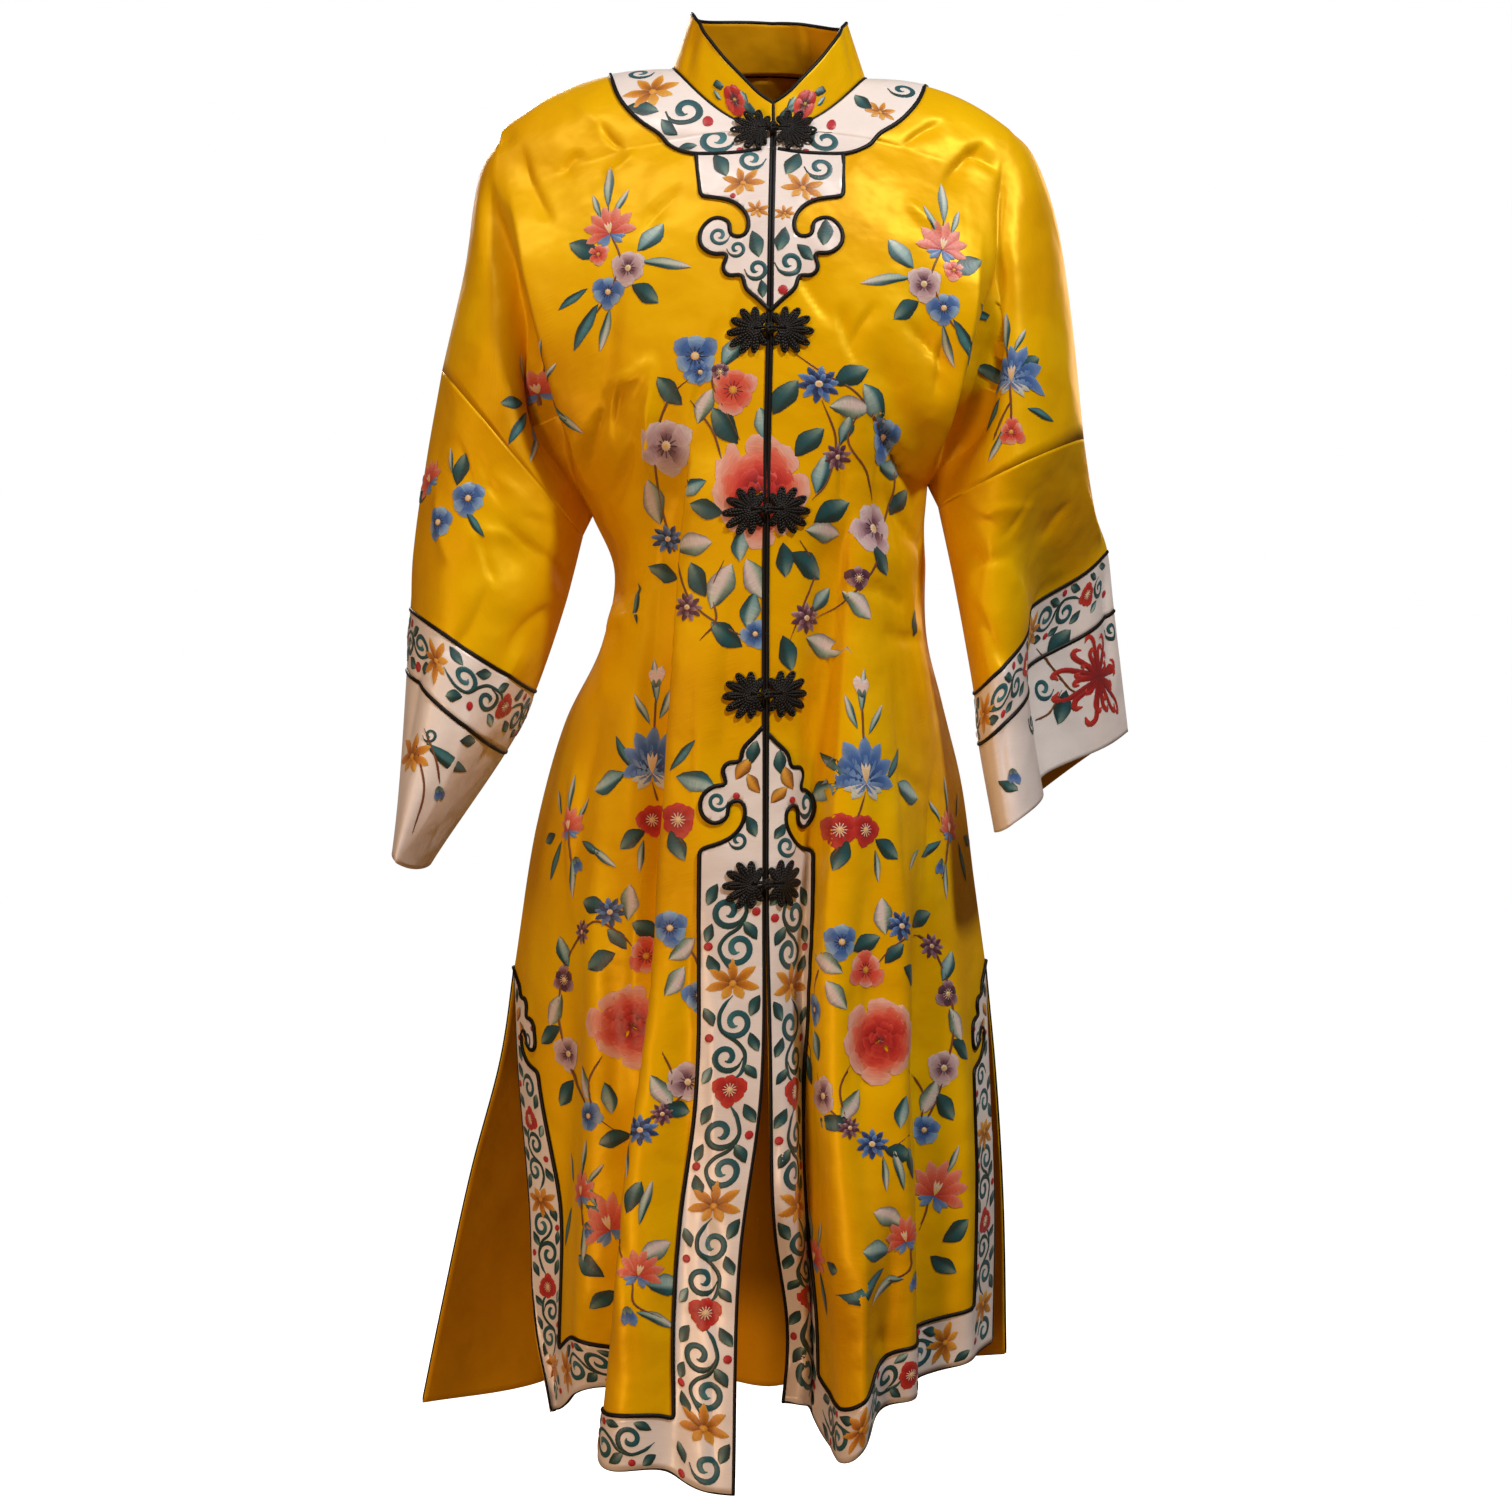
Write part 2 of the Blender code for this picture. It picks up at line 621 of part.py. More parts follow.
class Panel:
    """One front, or one half of the back: its grid, its normals and the ways to find a place on it.
    Places are given as column and row, counted on the grid, with parts of a step."""

    def __init__(self, side, face):
        self.side = side
        self.face = face
        self.width = COLUMNS_FRONT if face == "front" else COLUMNS_BACK
        above = np.linspace(0, ARMPIT, ROUND_STEPS + 1)
        self.places = np.concatenate([above, ARMPIT + np.arange(1, ROWS_BELOW + 1) / ROWS_BELOW])
        body = np.linspace(0, 1, self.width + 1) ** SIDE_CROWDING
        self.columns = np.concatenate([body, 1 + np.arange(1, COLUMNS_CAP + 1) / COLUMNS_CAP])
        self.points, self.normals = folded_panel(side, face, self.columns, self.places)
        self.own_normals = self.normals.copy()
        self.shape = self.points.shape[:2]
        self.last_row = len(self.places) - 1
        self.measure()

    def measure(self):
        """Lengths along the cloth, across from the middle edge and down from the shoulder."""
        body = self.points[:, : self.width + 1]
        steps = np.linalg.norm(np.diff(body, axis=1), axis=-1)
        drops = np.linalg.norm(np.diff(body, axis=0), axis=-1)
        self.across = np.concatenate([np.zeros((len(steps), 1)), np.cumsum(steps, axis=1)], axis=1)
        self.down = np.concatenate([np.zeros((1, drops.shape[1])), np.cumsum(drops, axis=0)])

    def cells(self):
        """The body's cells, and those of the upper sleeve above the underarm."""
        used = np.ones((len(self.places) - 1, len(self.columns) - 1), bool)
        used[ROUND_STEPS:, self.width :] = False
        return used

    def row_at(self, height, column, start=NECK_ROWS):
        """The row that crosses the middle edge or the side edge at the height z."""
        heights = self.points[start:, column, 2]
        return start + float(np.interp(-height, -heights, range(len(heights))))

    def lengths_at(self, row):
        low = int(min(row, self.last_row - 1))
        part = row - low
        return self.across[low] * (1 - part) + self.across[low + 1] * part

    def from_middle(self, out, row):
        """The column at the distance out from the middle edge, measured along the cloth."""
        return float(np.interp(out, self.lengths_at(row), range(self.width + 1)))

    def from_side(self, out, row):
        lengths = self.lengths_at(row)
        return float(np.interp(lengths[-1] - out, lengths, range(self.width + 1)))

    def above_hem(self, up, column):
        """The row at the distance up from the hem, measured along the cloth."""
        low = int(min(column, self.width - 1))
        part = column - low
        lengths = self.down[:, low] * (1 - part) + self.down[:, low + 1] * part
        return float(np.interp(lengths[-1] - up, lengths, range(len(self.places))))

    def find(self, out, height):
        """The column and row of the place that the front view shows at this distance from the middle
        plane and at this height: the nearest of many places tried, then of many more round it."""
        column, row, reach_across, reach_down = self.width / 2, 5.0, self.width / 2, 5.0
        for _ in range(3):
            columns = np.clip(np.linspace(column - reach_across, column + reach_across, 81), 0, self.width)
            rows = np.clip(np.linspace(row - reach_down, row + reach_down, 81), 0, self.last_row)
            grids = [grid.ravel() for grid in np.meshgrid(columns, rows)]
            tried = np.stack(grids + [np.zeros(81 * 81)], axis=1)
            seen = self.lay(tried)
            apart = (np.abs(seen[:, 0]) - out) ** 2 + (seen[:, 2] - height) ** 2
            column, row = tried[int(apart.argmin()), :2]
            reach_across, reach_down = reach_across / 20, reach_down / 20
        return float(column), float(row)

    def lay(self, flat):
        return lay_on(self.points, self.normals, flat)


class Sleeve:
    """The lower sleeve, its band and its cuff as one tube, cut into pieces at its rings."""

    def __init__(self, side):
        steps = [between(first, last, count) for _, first, last, count, _ in SLEEVE_PIECES]
        self.rings = np.concatenate(steps + [[CUFF_EDGE]])
        self.points, self.normals = sleeve_grid(side, np.arange(2 * ROUND_STEPS) / ROUND_STEPS, self.rings)


class Back:
    """The two halves of the back, counted as one grid from the wearer's right cuff seam over the
    middle to the left. Below the neckline the halves share their middle column."""

    def __init__(self, right, left):
        self.halves = {"right": right, "left": left}
        self.middle = len(right.columns) - 1
        self.shape = (len(right.places), 2 * self.middle + 1)

    def counted(self, side, column):
        """The column of the whole back for one counted from the middle of a half."""
        return self.middle + SIDES[side] * column

    def lay(self, flat):
        right, left = self.halves["right"], self.halves["left"]
        on_left = lay_on(left.points, left.normals, flat - [self.middle, 0, 0])
        on_right = lay_on(right.points[:, ::-1], right.normals[:, ::-1], flat)
        return np.where(flat[:, :1] >= self.middle, on_left, on_right)

    def wall(self):
        """Points, normals, cells and corner numbers of the wall: the halves side by side, with one set of
        corners for the middle column below the neckline and no cells between the halves."""
        right, left = self.halves["right"], self.halves["left"]
        points = np.concatenate([right.points[:, ::-1], left.points], axis=1)
        normals = np.concatenate([right.normals[:, ::-1], left.normals], axis=1)
        gap = np.zeros((len(points) - 1, 1), bool)
        cells = np.concatenate([right.cells()[:, ::-1], gap, left.cells()], axis=1)
        corners = np.arange(points[..., 0].size).reshape(points.shape[:2])
        corners[NECK_ROWS:, self.middle + 1] = corners[NECK_ROWS:, self.middle]
        return points, normals, cells, corners


# Turning grids into Blender objects


def material(name, colour, roughness):
    made = bpy.data.materials.new(name)
    made.use_nodes = True
    shader = made.node_tree.nodes["Principled BSDF"]
    shader.inputs["Base Color"].default_value = colour
    shader.inputs["Roughness"].default_value = roughness
    shader.inputs["Metallic"].default_value = 0
    return made


def add_object(name, mesh, finish, collection):
    made = bpy.data.objects.new(name, mesh)
    colour, roughness = FINISHES[finish]
    mesh.materials.append(material(name + "_" + finish, colour, roughness))
    mesh.shade_smooth()
    mesh.set_sharp_from_angle(angle=math.radians(40))
    collection.objects.link(made)
    return made


def mesh_from(name, points, faces):
    """A mesh with its loose points dropped and its faces turned outwards."""
    shell = bmesh.new()
    corners = [shell.verts.new(point) for point in points]
    for face in faces:
        shell.faces.new([corners[index] for index in face])
    loose = [corner for corner in corners if not corner.link_faces]
    bmesh.ops.delete(shell, geom=loose, context="VERTS")
    if shell.calc_volume(signed=True) < 0:
        bmesh.ops.reverse_faces(shell, faces=shell.faces)
    mesh = bpy.data.meshes.new(name)
    shell.to_mesh(mesh)
    shell.free()
    return mesh


def wall_faces(cells, corners, count):
    """Triangles of a closed wall over the cells of a grid: outer face, inner face and the rims between them.
    corners numbers the grid's points, and the inner face's points follow the outer face's count of them."""
    faces = []
    rims = {}
    for i, j in np.argwhere(cells).tolist():
        a, b = int(corners[i, j]), int(corners[i, j + 1])
        d, c = int(corners[i + 1, j]), int(corners[i + 1, j + 1])
        faces += [(a, b, c), (a, c, d)]
        faces += [(c + count, b + count, a + count), (d + count, c + count, a + count)]
        for start, end in ((a, b), (b, c), (c, d), (d, a)):
            if (end, start) in rims:
                del rims[end, start]
            else:
                rims[start, end] = True
    for start, end in rims:
        if start < end:
            faces += [(end, start, start + count), (end, start + count, end + count)]
        else:
            faces += [(end, start, end + count), (start, start + count, end + count)]
    return faces


def add_wall(name, outer, normals, cells, thickness, finish, collection, corners=None):
    """A wall with its outer face on a grid. Where a tube closes, the last column of cells ends on the first
    column of points."""
    if corners is None:
        corners = np.arange(outer[..., 0].size).reshape(outer.shape[:2])
        if cells.shape[1] == corners.shape[1]:
            corners = np.concatenate([corners, corners[:, :1]], axis=1)
    points = np.concatenate([outer.reshape(-1, 3), (outer - normals * thickness).reshape(-1, 3)])
    faces = wall_faces(cells, corners, outer[..., 0].size)
    return add_object(name, mesh_from(name, points.tolist(), faces), finish, collection)


def pull_in(points, next_points):
    """Moves an edge of a grid back along the cloth by half a seam gap."""
    return points + unit(next_points - points) * SEAM_GAP / 2


def open_seams(panel):
    """Pulls every seam edge of a panel in, so that the pieces lie apart by the seam gap."""
    points = panel.points
    points[0] = pull_in(points[0], points[1])
    if panel.face == "front":
        points[:, 0] = pull_in(points[:, 0], points[:, 1])
    side = points[ROUND_STEPS:, panel.width]
    side[:] = pull_in(side, points[ROUND_STEPS:, panel.width - 1])
    arm = points[: ROUND_STEPS + 1, -1]
    arm[:] = pull_in(arm, points[: ROUND_STEPS + 1, -2])
    under = points[ROUND_STEPS, panel.width + 1 :]
    under[:] = pull_in(under, points[ROUND_STEPS - 1, panel.width + 1 :])


def shoulder_normals(panel, front, back):
    """The mean of the two panels' normals along the shoulder line, at this panel's own columns."""
    mean = 0
    wanted = panel.columns[: panel.width]
    for other in (front, back):
        known = other.columns[: other.width + 1]
        rows = other.own_normals[0, : other.width + 1].T
        mean = mean + np.stack([np.interp(wanted, known, row) for row in rows], -1)
    return unit(mean)


def match_normals(panels, sleeves):
    """Two pieces that meet at a seam take the same normals there, so that their walls end face to face."""
    for side in SIDES:
        front, back = panels[side, "front"], panels[side, "back"]
        slit_row = ROUND_STEPS + round((SLIT_PLACES[side] - ARMPIT) * ROWS_BELOW)
        seam = slice(ROUND_STEPS, slit_row + 1)
        front.normals[seam, front.width] = back.normals[seam, back.width] = unit(
            front.normals[seam, front.width] + back.normals[seam, back.width]
        )
        for row in (0, ROUND_STEPS):
            arm_front, arm_back = front.normals[row, front.width :], back.normals[row, back.width :]
            arm_front[:] = arm_back[:] = unit(arm_front + arm_back)
        for panel in (front, back):
            panel.normals[0, : panel.width] = shoulder_normals(panel, front, back)
        ring = sleeves[side].normals[0]
        front_ring = front.normals[: ROUND_STEPS + 1, -1]
        back_ring = back.normals[: ROUND_STEPS + 1, -1]
        front_ring[:] = unit(front_ring + ring[: ROUND_STEPS + 1])
        back_ring[:] = unit(back_ring + np.roll(ring[::-1], 1, axis=0)[: ROUND_STEPS + 1])
        front_ring[0] = back_ring[0] = unit(front_ring[0] + back_ring[0])
        front_ring[-1] = back_ring[-1] = unit(front_ring[-1] + back_ring[-1])
        ring[: ROUND_STEPS + 1] = front_ring
        ring[ROUND_STEPS + 1 :] = back_ring[1:-1][::-1]
    for face in ("front", "back"):
        right, left = panels["right", face].normals, panels["left", face].normals
        shared = len(right) if face == "back" else FASTENED_ROWS
        right[:shared, 0] = left[:shared, 0] = unit(right[:shared, 0] + left[:shared, 0])


def cut_flat(name, outline, low, high, rows, columns, scratch):
    """Cuts a closed outline of columns and rows from a flat sheet with the panel's grid on it, low to
    high over the cloth, and returns the cut piece's points and faces."""
    first = np.maximum(outline.min(axis=0).astype(int) - 1, 0)
    last = np.minimum(outline.max(axis=0).astype(int) + 2, [columns - 1, rows - 1])
    column, row = np.meshgrid(np.arange(first[0], last[0] + 1.0), np.arange(first[1], last[1] + 1.0))
    layer = np.stack([column, row, np.zeros_like(row)], axis=-1).reshape(-1, 3)
    cells = np.ones((last[1] - first[1], last[0] - first[0]), bool)
    points = np.concatenate([layer + [0, 0, 1], layer])
    faces = wall_faces(cells, np.arange(len(layer)).reshape(row.shape), len(layer))
    sheet = bpy.data.objects.new(name + "_sheet", mesh_from(name + "_sheet", points.tolist(), faces))
    scratch.objects.link(sheet)
    shape = bmesh.new()
    lower = shape.faces.new([shape.verts.new((x, y, -1)) for x, y in outline])
    raised = bmesh.ops.extrude_face_region(shape, geom=[lower])
    moved = [item for item in raised["geom"] if isinstance(item, bmesh.types.BMVert)]
    bmesh.ops.translate(shape, verts=moved, vec=(0, 0, 3))
    bmesh.ops.recalc_face_normals(shape, faces=shape.faces)
    cutter = bpy.data.objects.new(name + "_outline", bpy.data.meshes.new(name + "_outline"))
    shape.to_mesh(cutter.data)
    shape.free()
    scratch.objects.link(cutter)
    cut = sheet.modifiers.new("outline", "BOOLEAN")
    cut.operation = "INTERSECT"
    cut.object = cutter
    graph = bpy.context.evaluated_depsgraph_get()
    flat = bpy.data.meshes.new_from_object(sheet.evaluated_get(graph))
    piece = bmesh.new()
    piece.from_mesh(flat)
    bmesh.ops.remove_doubles(piece, verts=piece.verts, dist=1e-5)
    bmesh.ops.triangulate(piece, faces=piece.faces)
    piece.verts.index_update()
    found = np.array([corner.co for corner in piece.verts], float)
    faces = [tuple(corner.index for corner in face.verts) for face in piece.faces]
    piece.free()
    bpy.data.objects.remove(sheet)
    bpy.data.objects.remove(cutter)
    found[:, 2] = np.where(found[:, 2] > 0.5, high, low)
    return found, faces


def add_laid(name, outline, low, high, panel, finish, collection, scratch):
    """A piece cut flat to its outline and laid on the panel, low to high over the cloth."""
    rows, columns = panel.shape
    found, faces = cut_flat(name, np.array(outline), low, high, rows, columns, scratch)
    return add_object(name, mesh_from(name, panel.lay(found).tolist(), faces), finish, collection)


# Outlines of the pieces that lie on a panel, as lists of column and row


def between(start, end, count):
    """Even steps from start to just before end."""
    return np.linspace(start, end, count, endpoint=False)


def cloud_head(count=26):
    """Points along the smooth outline of half a cloud head, from its tip."""
    at = np.linspace(CLOUD_HEAD["point"][0], CLOUD_HEAD["point"][-1], count)
    return list(zip(read(CLOUD_HEAD, "out", at), read(CLOUD_HEAD, "down", at)))


def slit_strip(panel, top, width, scale):
    """The slit's part of a border: up the side edge from the hem, round the cloud head and down the
    inner line."""
    last = panel.last_row
    top_row = panel.row_at(top, panel.width)
    outline = [(panel.from_side(EDGE, row), row) for row in between(last, top_row, 10)]
    for out, down in cloud_head():
        row = panel.row_at(top - down * scale, panel.width)
        outline.append((panel.from_side(min(out * scale, width) + EDGE, row), row))
    corner = panel.above_hem(HEM_WIDTH, panel.from_side(width, last))
    straight = panel.row_at(top - HEAD_LENGTH * scale - 0.006, panel.width)
    return outline + [(panel.from_side(width + EDGE, row), row) for row in between(straight, corner, 7)]


def front_border(panel, head_top, slit_top):
    """The border of one front: down the opening from the tip of its cloud head, along the hem, round
    the slit's strip, back along the hem's inner line and up the front strip to its cloud head."""
    last = panel.last_row
    outline = [(panel.from_middle(EDGE, row), row) for row in between(panel.row_at(head_top, 0), last, 16)]
    for column in between(panel.from_middle(EDGE, last), panel.from_side(EDGE, last), panel.width):
        outline.append((column, panel.above_hem(EDGE, column)))
    outline += slit_strip(panel, slit_top, SLIT_STRIP_WIDTH, SLIT_HEAD_SCALE)
    near_hem = panel.above_hem(HEM_WIDTH, panel.from_middle(STRIP_WIDTH, last))
    far_row = panel.above_hem(HEM_WIDTH, panel.from_side(SLIT_STRIP_WIDTH, last))
    far = panel.from_side(SLIT_STRIP_WIDTH + EDGE, far_row)
    near = panel.from_middle(STRIP_WIDTH + EDGE, near_hem)
    outline += [(column, panel.above_hem(HEM_WIDTH, column)) for column in between(far, near, 10)]
    straight = panel.row_at(head_top - HEAD_LENGTH - 0.006, 0)
    outline += [(panel.from_middle(STRIP_WIDTH + EDGE, row), row) for row in between(near_hem, straight, 9)]
    for out, down in cloud_head()[:0:-1]:
        row = panel.row_at(head_top - down, 0)
        outline.append((panel.from_middle(out + EDGE, row), row))
    return outline


def back_border(back, slit_tops):
    """The border of the back's slits and hem, with its two sides joined along the hem."""
    sides = {}
    for side, half in back.halves.items():
        strip = slit_strip(half, slit_tops[side], SLIT_STRIP_WIDTH, SLIT_HEAD_SCALE)
        last = half.last_row
        far_row = half.above_hem(HEM_WIDTH, half.from_side(SLIT_STRIP_WIDTH, last))
        far = half.from_side(SLIT_STRIP_WIDTH + EDGE, far_row)
        inner = [(column, half.above_hem(HEM_WIDTH, column)) for column in between(far, 0, 8)]
        across = between(0, half.from_side(EDGE, last), half.width)
        outer = [(column, half.above_hem(EDGE, column)) for column in across]
        sides[side] = [(back.counted(side, column), row) for column, row in outer + strip + inner]
    return sides["left"] + sides["right"][::-1][:-1]


def neck_tab(panel, tip):
    """The tab below the neck border: a cloud head upside down, stretched to the tab's length, with its
    tip at the opening. Its top follows the outer line of the neck border."""
    outline = []
    for out, down in cloud_head():
        row = panel.row_at(tip + down * TAB_LENGTH / HEAD_LENGTH, 0)
        outline.append((panel.from_middle(out * TAB_WIDTH / STRIP_WIDTH + EDGE, row), row))
    for at in np.linspace(YOKE_EDGE["point"][-1], 0, 15)[4::-1]:
        height = float(read(YOKE_EDGE, "z", at)) - TAB_SEAM
        outline.append(panel.find(float(read(YOKE_EDGE, "out", at)), height))
    top_row, tip_row = outline[-1][1], outline[0][1]
    return outline + [(panel.from_middle(EDGE, row), row) for row in between(top_row, tip_row, 9)[1:]]


def front_yoke(panel):
    """The front half of the neck border: round the neckline to the opening and back along the curved
    outer line."""
    middle_row = panel.row_at(YOKE_EDGE["z"][-1], 0)
    outline = [(panel.from_middle(EDGE, row), row) for row in between(EDGE_STEP, NECK_ROWS, 8)]
    outline += [(panel.from_middle(EDGE, row), row) for row in np.linspace(NECK_ROWS, middle_row, 3)]
    for at in np.linspace(YOKE_EDGE["point"][-1], 0, 15)[1:]:
        column, row = panel.find(float(read(YOKE_EDGE, "out", at)), float(read(YOKE_EDGE, "z", at)))
        outline.append((column, max(row, EDGE_STEP)))
    return outline


def back_yoke(back):
    """The back of the neck border, as wide all round as it is at the shoulder."""
    loop = []
    for side, half in back.halves.items():
        inner = [(half.from_middle(EDGE, row), row) for row in between(EDGE_STEP, NECK_ROWS, 6)]
        inner.append((0, NECK_ROWS))
        outer = [(half.from_middle(YOKE_WIDTH, row), row) for row in between(EDGE_STEP, NECK_ROWS, 4)]
        lengths = half.down[NECK_ROWS:, 0] - half.down[NECK_ROWS, 0]
        low_row = NECK_ROWS + float(np.interp(YOKE_WIDTH, lengths, range(len(lengths))))
        for angle in np.linspace(0, math.pi / 2, 5):
            row = NECK_ROWS + (low_row - NECK_ROWS) * math.sin(angle)
            outer.append((half.from_middle(YOKE_WIDTH * math.cos(angle), row), row))
        half_loop = [(back.counted(side, column), row) for column, row in inner[::-1] + outer]
        loop.append(half_loop)
    right, left = loop
    return right + left[::-1][1:-1]


def frog_flower():
    """A round cord flower with eight scallops beside the opening, cut away round the knot: out from
    the opening and up from the knot's middle."""
    outline = []
    for angle in between(0, 2 * math.pi, 32):
        radius = FROG_DIAMETER / 2 * (0.87 + 0.13 * abs(math.cos(4 * angle)))
        out, up = FROG_REACH + radius * math.cos(angle), radius * math.sin(angle)
        from_knot = math.hypot(out, up)
        room = max(1, (KNOT_DIAMETER / 2 + KNOT_ROOM) / from_knot)
        outline.append((max(out * room, EDGE), up * room))
    return outline


def frog_on_panel(panel, height):
    outline = []
    for out, up in frog_flower():
        row = panel.row_at(height + up, 0)
        outline.append((panel.from_middle(out, row), row))
    return outline


# The pieces


def add_panels(panels, back, robe):
    for side in SIDES:
        front = panels[side, "front"]
        add_wall("front_" + side, front.points, front.normals, front.cells(), WALL, "satin", robe)
    points, normals, cells, corners = back.wall()
    add_wall("back", points, normals, cells, WALL, "satin", robe, corners)


def add_sleeves(sleeves, robe):
    """Sleeve, band and cuff are tubes that meet edge to edge."""
    for side, sleeve in sleeves.items():
        row = 0
        for name, _, last, count, finish in SLEEVE_PIECES:
            points = sleeve.points[row : row + count + 1].copy()
            normals = sleeve.normals[row : row + count + 1]
            row += count
            points[0] = pull_in(points[0], points[1])
            if last < CUFF_EDGE:
                points[-1] = pull_in(points[-1], points[-2])
            cells = np.ones((count, points.shape[1]), bool)
            add_wall(name + "_" + side, points, normals, cells, TUBE_WALL, finish, robe)


def neck_round(panels):
    """The neckline as the panels' grids have it, from the front over the wearer's right, the back and
    the left, with a point in the middle of each step."""
    front = {side: panels[side, "front"].points[: NECK_ROWS + 1, 0] for side in SIDES}
    back = {side: panels[side, "back"].points[: NECK_ROWS + 1, 0] for side in SIDES}
    corners = [front["right"][::-1], back["right"][1:], back["left"][::-1][1:], front["left"][1:]]
    corners = np.concatenate(corners)
    middles = (corners[1:] + corners[:-1]) / 2
    line = np.empty((2 * len(corners) - 1, 3))
    line[::2] = corners
    line[1::2] = middles
    return line


def add_collar(panels, robe):
    """A stand collar round the neckline, open at the front: it rises from the neck seam and leans inwards."""
    base = neck_round(panels)
    inward = unit(-base * [1, 1, 0])
    turn = np.degrees(np.arctan2(np.abs(base[:, 0] - base[0, 0]), -base[:, 1]))
    height = read(COLLAR, "height", turn)[:, None]
    lean = read(COLLAR, "lean", turn)[:, None]
    base = base + inward * COLLAR_SET_IN + [0, 0, COLLAR_SET_UP]
    top = base + inward * lean + height * [0, 0, 1]
    part = np.linspace(0, 1, 4)[:, None, None]
    points = base + (top - base) * part
    normals = -grid_normals(points)
    add_wall("collar", points, normals, np.ones((3, len(base) - 1), bool), WALL, "satin", robe)


def add_borders(panels, back, robe, scratch):
    low, high = BORDER_LIFT, BORDER_LIFT + BORDER_WALL
    for side in SIDES:
        front = panels[side, "front"]
        for name, outline in (
            ("border_", front_border(front, HEAD_TOPS[side], SLIT_TOPS[side])),
            ("yoke_", front_yoke(front)),
            ("tab_", neck_tab(front, TAB_TIP)),
        ):
            add_laid(name + side, outline, low, high, front, "white", robe, scratch)
    add_laid("border_back", back_border(back, SLIT_TOPS), low, high, back, "white", robe, scratch)
    add_laid("yoke_back", back_yoke(back), low, high, back, "white", robe, scratch)


class NeckPatch:
    """The ground of the top frog on one side of the opening: a grid over the collar's foot and the top
    of the neck border, with the neck seam as its middle row. Columns count outwards from the opening."""

    def __init__(self, panel):
        sign = SIDES[panel.side]
        start = panel.points[NECK_ROWS, 0]
        line = panel.points[NECK_ROWS::-1, 0]
        outs = np.linspace(0, PATCH_WIDTH, PATCH_COLUMNS + 1)
        away = np.abs(line[:, 0] - start[0])
        seam = np.stack([np.interp(outs, away, line[:, axis]) for axis in range(3)], -1)
        inward = unit(-seam * [1, 1, 0])
        border_top = BORDER_LIFT + BORDER_WALL
        rows = []
        for step in range(PATCH_ROWS, -PATCH_ROWS - 1, -1):
            if step > 0:
                up = step * PATCH_STEP
                rows.append(seam + inward * up * PATCH_LEAN + [0, 0, up])
                continue
            laid = []
            for point in seam:
                column, row = panel.find(abs(point[0]), point[2] + step * PATCH_STEP)
                laid.append(panel.lay(np.array([[column, row, border_top]]))[0])
            rows.append(laid)
        self.seam_height = seam[:, 2]
        self.points = np.array(rows)
        self.normals = grid_normals(self.points) * -sign
        self.shape = self.points.shape[:2]

    def place(self, out, height):
        column = out / PATCH_WIDTH * PATCH_COLUMNS
        seam_height = float(np.interp(column, range(PATCH_COLUMNS + 1), self.seam_height))
        return column, PATCH_ROWS + (seam_height - height) / PATCH_STEP

    def lay(self, flat):
        return lay_on(self.points, self.normals, flat)


def add_knot(number, seat, robe):
    bpy.ops.mesh.primitive_uv_sphere_add(segments=12, ring_count=6, radius=KNOT_DIAMETER / 2, location=seat)
    knot = bpy.context.object
    knot.name = f"frog_{number}_knot"
    knot.scale = (0.9, KNOT_DEPTH / KNOT_DIAMETER, 1)
    bpy.ops.object.transform_apply(location=False, rotation=False, scale=True)
    knot.data.materials.append(material(knot.name + "_cord", *FINISHES["cord"]))
    knot.data.shade_smooth()
    for owner in list(knot.users_collection):
        owner.objects.unlink(knot)
    robe.objects.link(knot)


def add_frogs(panels, robe, scratch):
    """The top frog bridges the neck seam; the others lie on the fronts or on their borders."""
    for side in SIDES:
        patch = NeckPatch(panels[side, "front"])
        outline = [patch.place(out, NECK_FROG_HEIGHT + up) for out, up in frog_flower()]
        add_laid(f"frog_1_{side}", outline, SEAM_GAP, SEAM_GAP + FROG_THICKNESS, patch, "cord", robe, scratch)
    column, row = patch.place(0, NECK_FROG_HEIGHT)
    add_knot(1, patch.lay(np.array([[column, row, 2 * SEAM_GAP + KNOT_DEPTH / 2]]))[0], robe)
    for number, height in FROG_HEIGHTS.items():
        low = BORDER_LIFT + BORDER_WALL + SEAM_GAP if number in FROGS_ON_BORDERS else BORDER_LIFT
        for side in SIDES:
            front = panels[side, "front"]
            name = f"frog_{number}_{side}"
            outline = frog_on_panel(front, height)
            add_laid(name, outline, low, low + FROG_THICKNESS, front, "cord", robe, scratch)
        front = panels["right", "front"]
        place = np.array([[0.0, front.row_at(height, 0), low + KNOT_DEPTH / 2]])
        add_knot(number, front.lay(place)[0], robe)


def build():
    for item in list(bpy.data.objects):
        bpy.data.objects.remove(item)
    robe = bpy.data.collections.new("silk_robe")
    scratch = bpy.data.collections.new("cutters")
    scratch.hide_render = True
    bpy.context.scene.collection.children.link(robe)
    bpy.context.scene.collection.children.link(scratch)
    panels = {(side, face): Panel(side, face) for side in SIDES for face in ("front", "back")}
    sleeves = {side: Sleeve(side) for side in SIDES}
    match_normals(panels, sleeves)
    for panel in panels.values():
        open_seams(panel)
        panel.measure()
    back = Back(panels["right", "back"], panels["left", "back"])
    add_panels(panels, back, robe)
    add_sleeves(sleeves, robe)
    add_collar(panels, robe)
    add_borders(panels, back, robe, scratch)
    add_frogs(panels, robe, scratch)


if __name__ == "__main__":
    build()
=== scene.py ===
import functools
import math

import bpy
import numpy as np
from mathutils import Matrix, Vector, kdtree
from mathutils.geometry import delaunay_2d_cdt


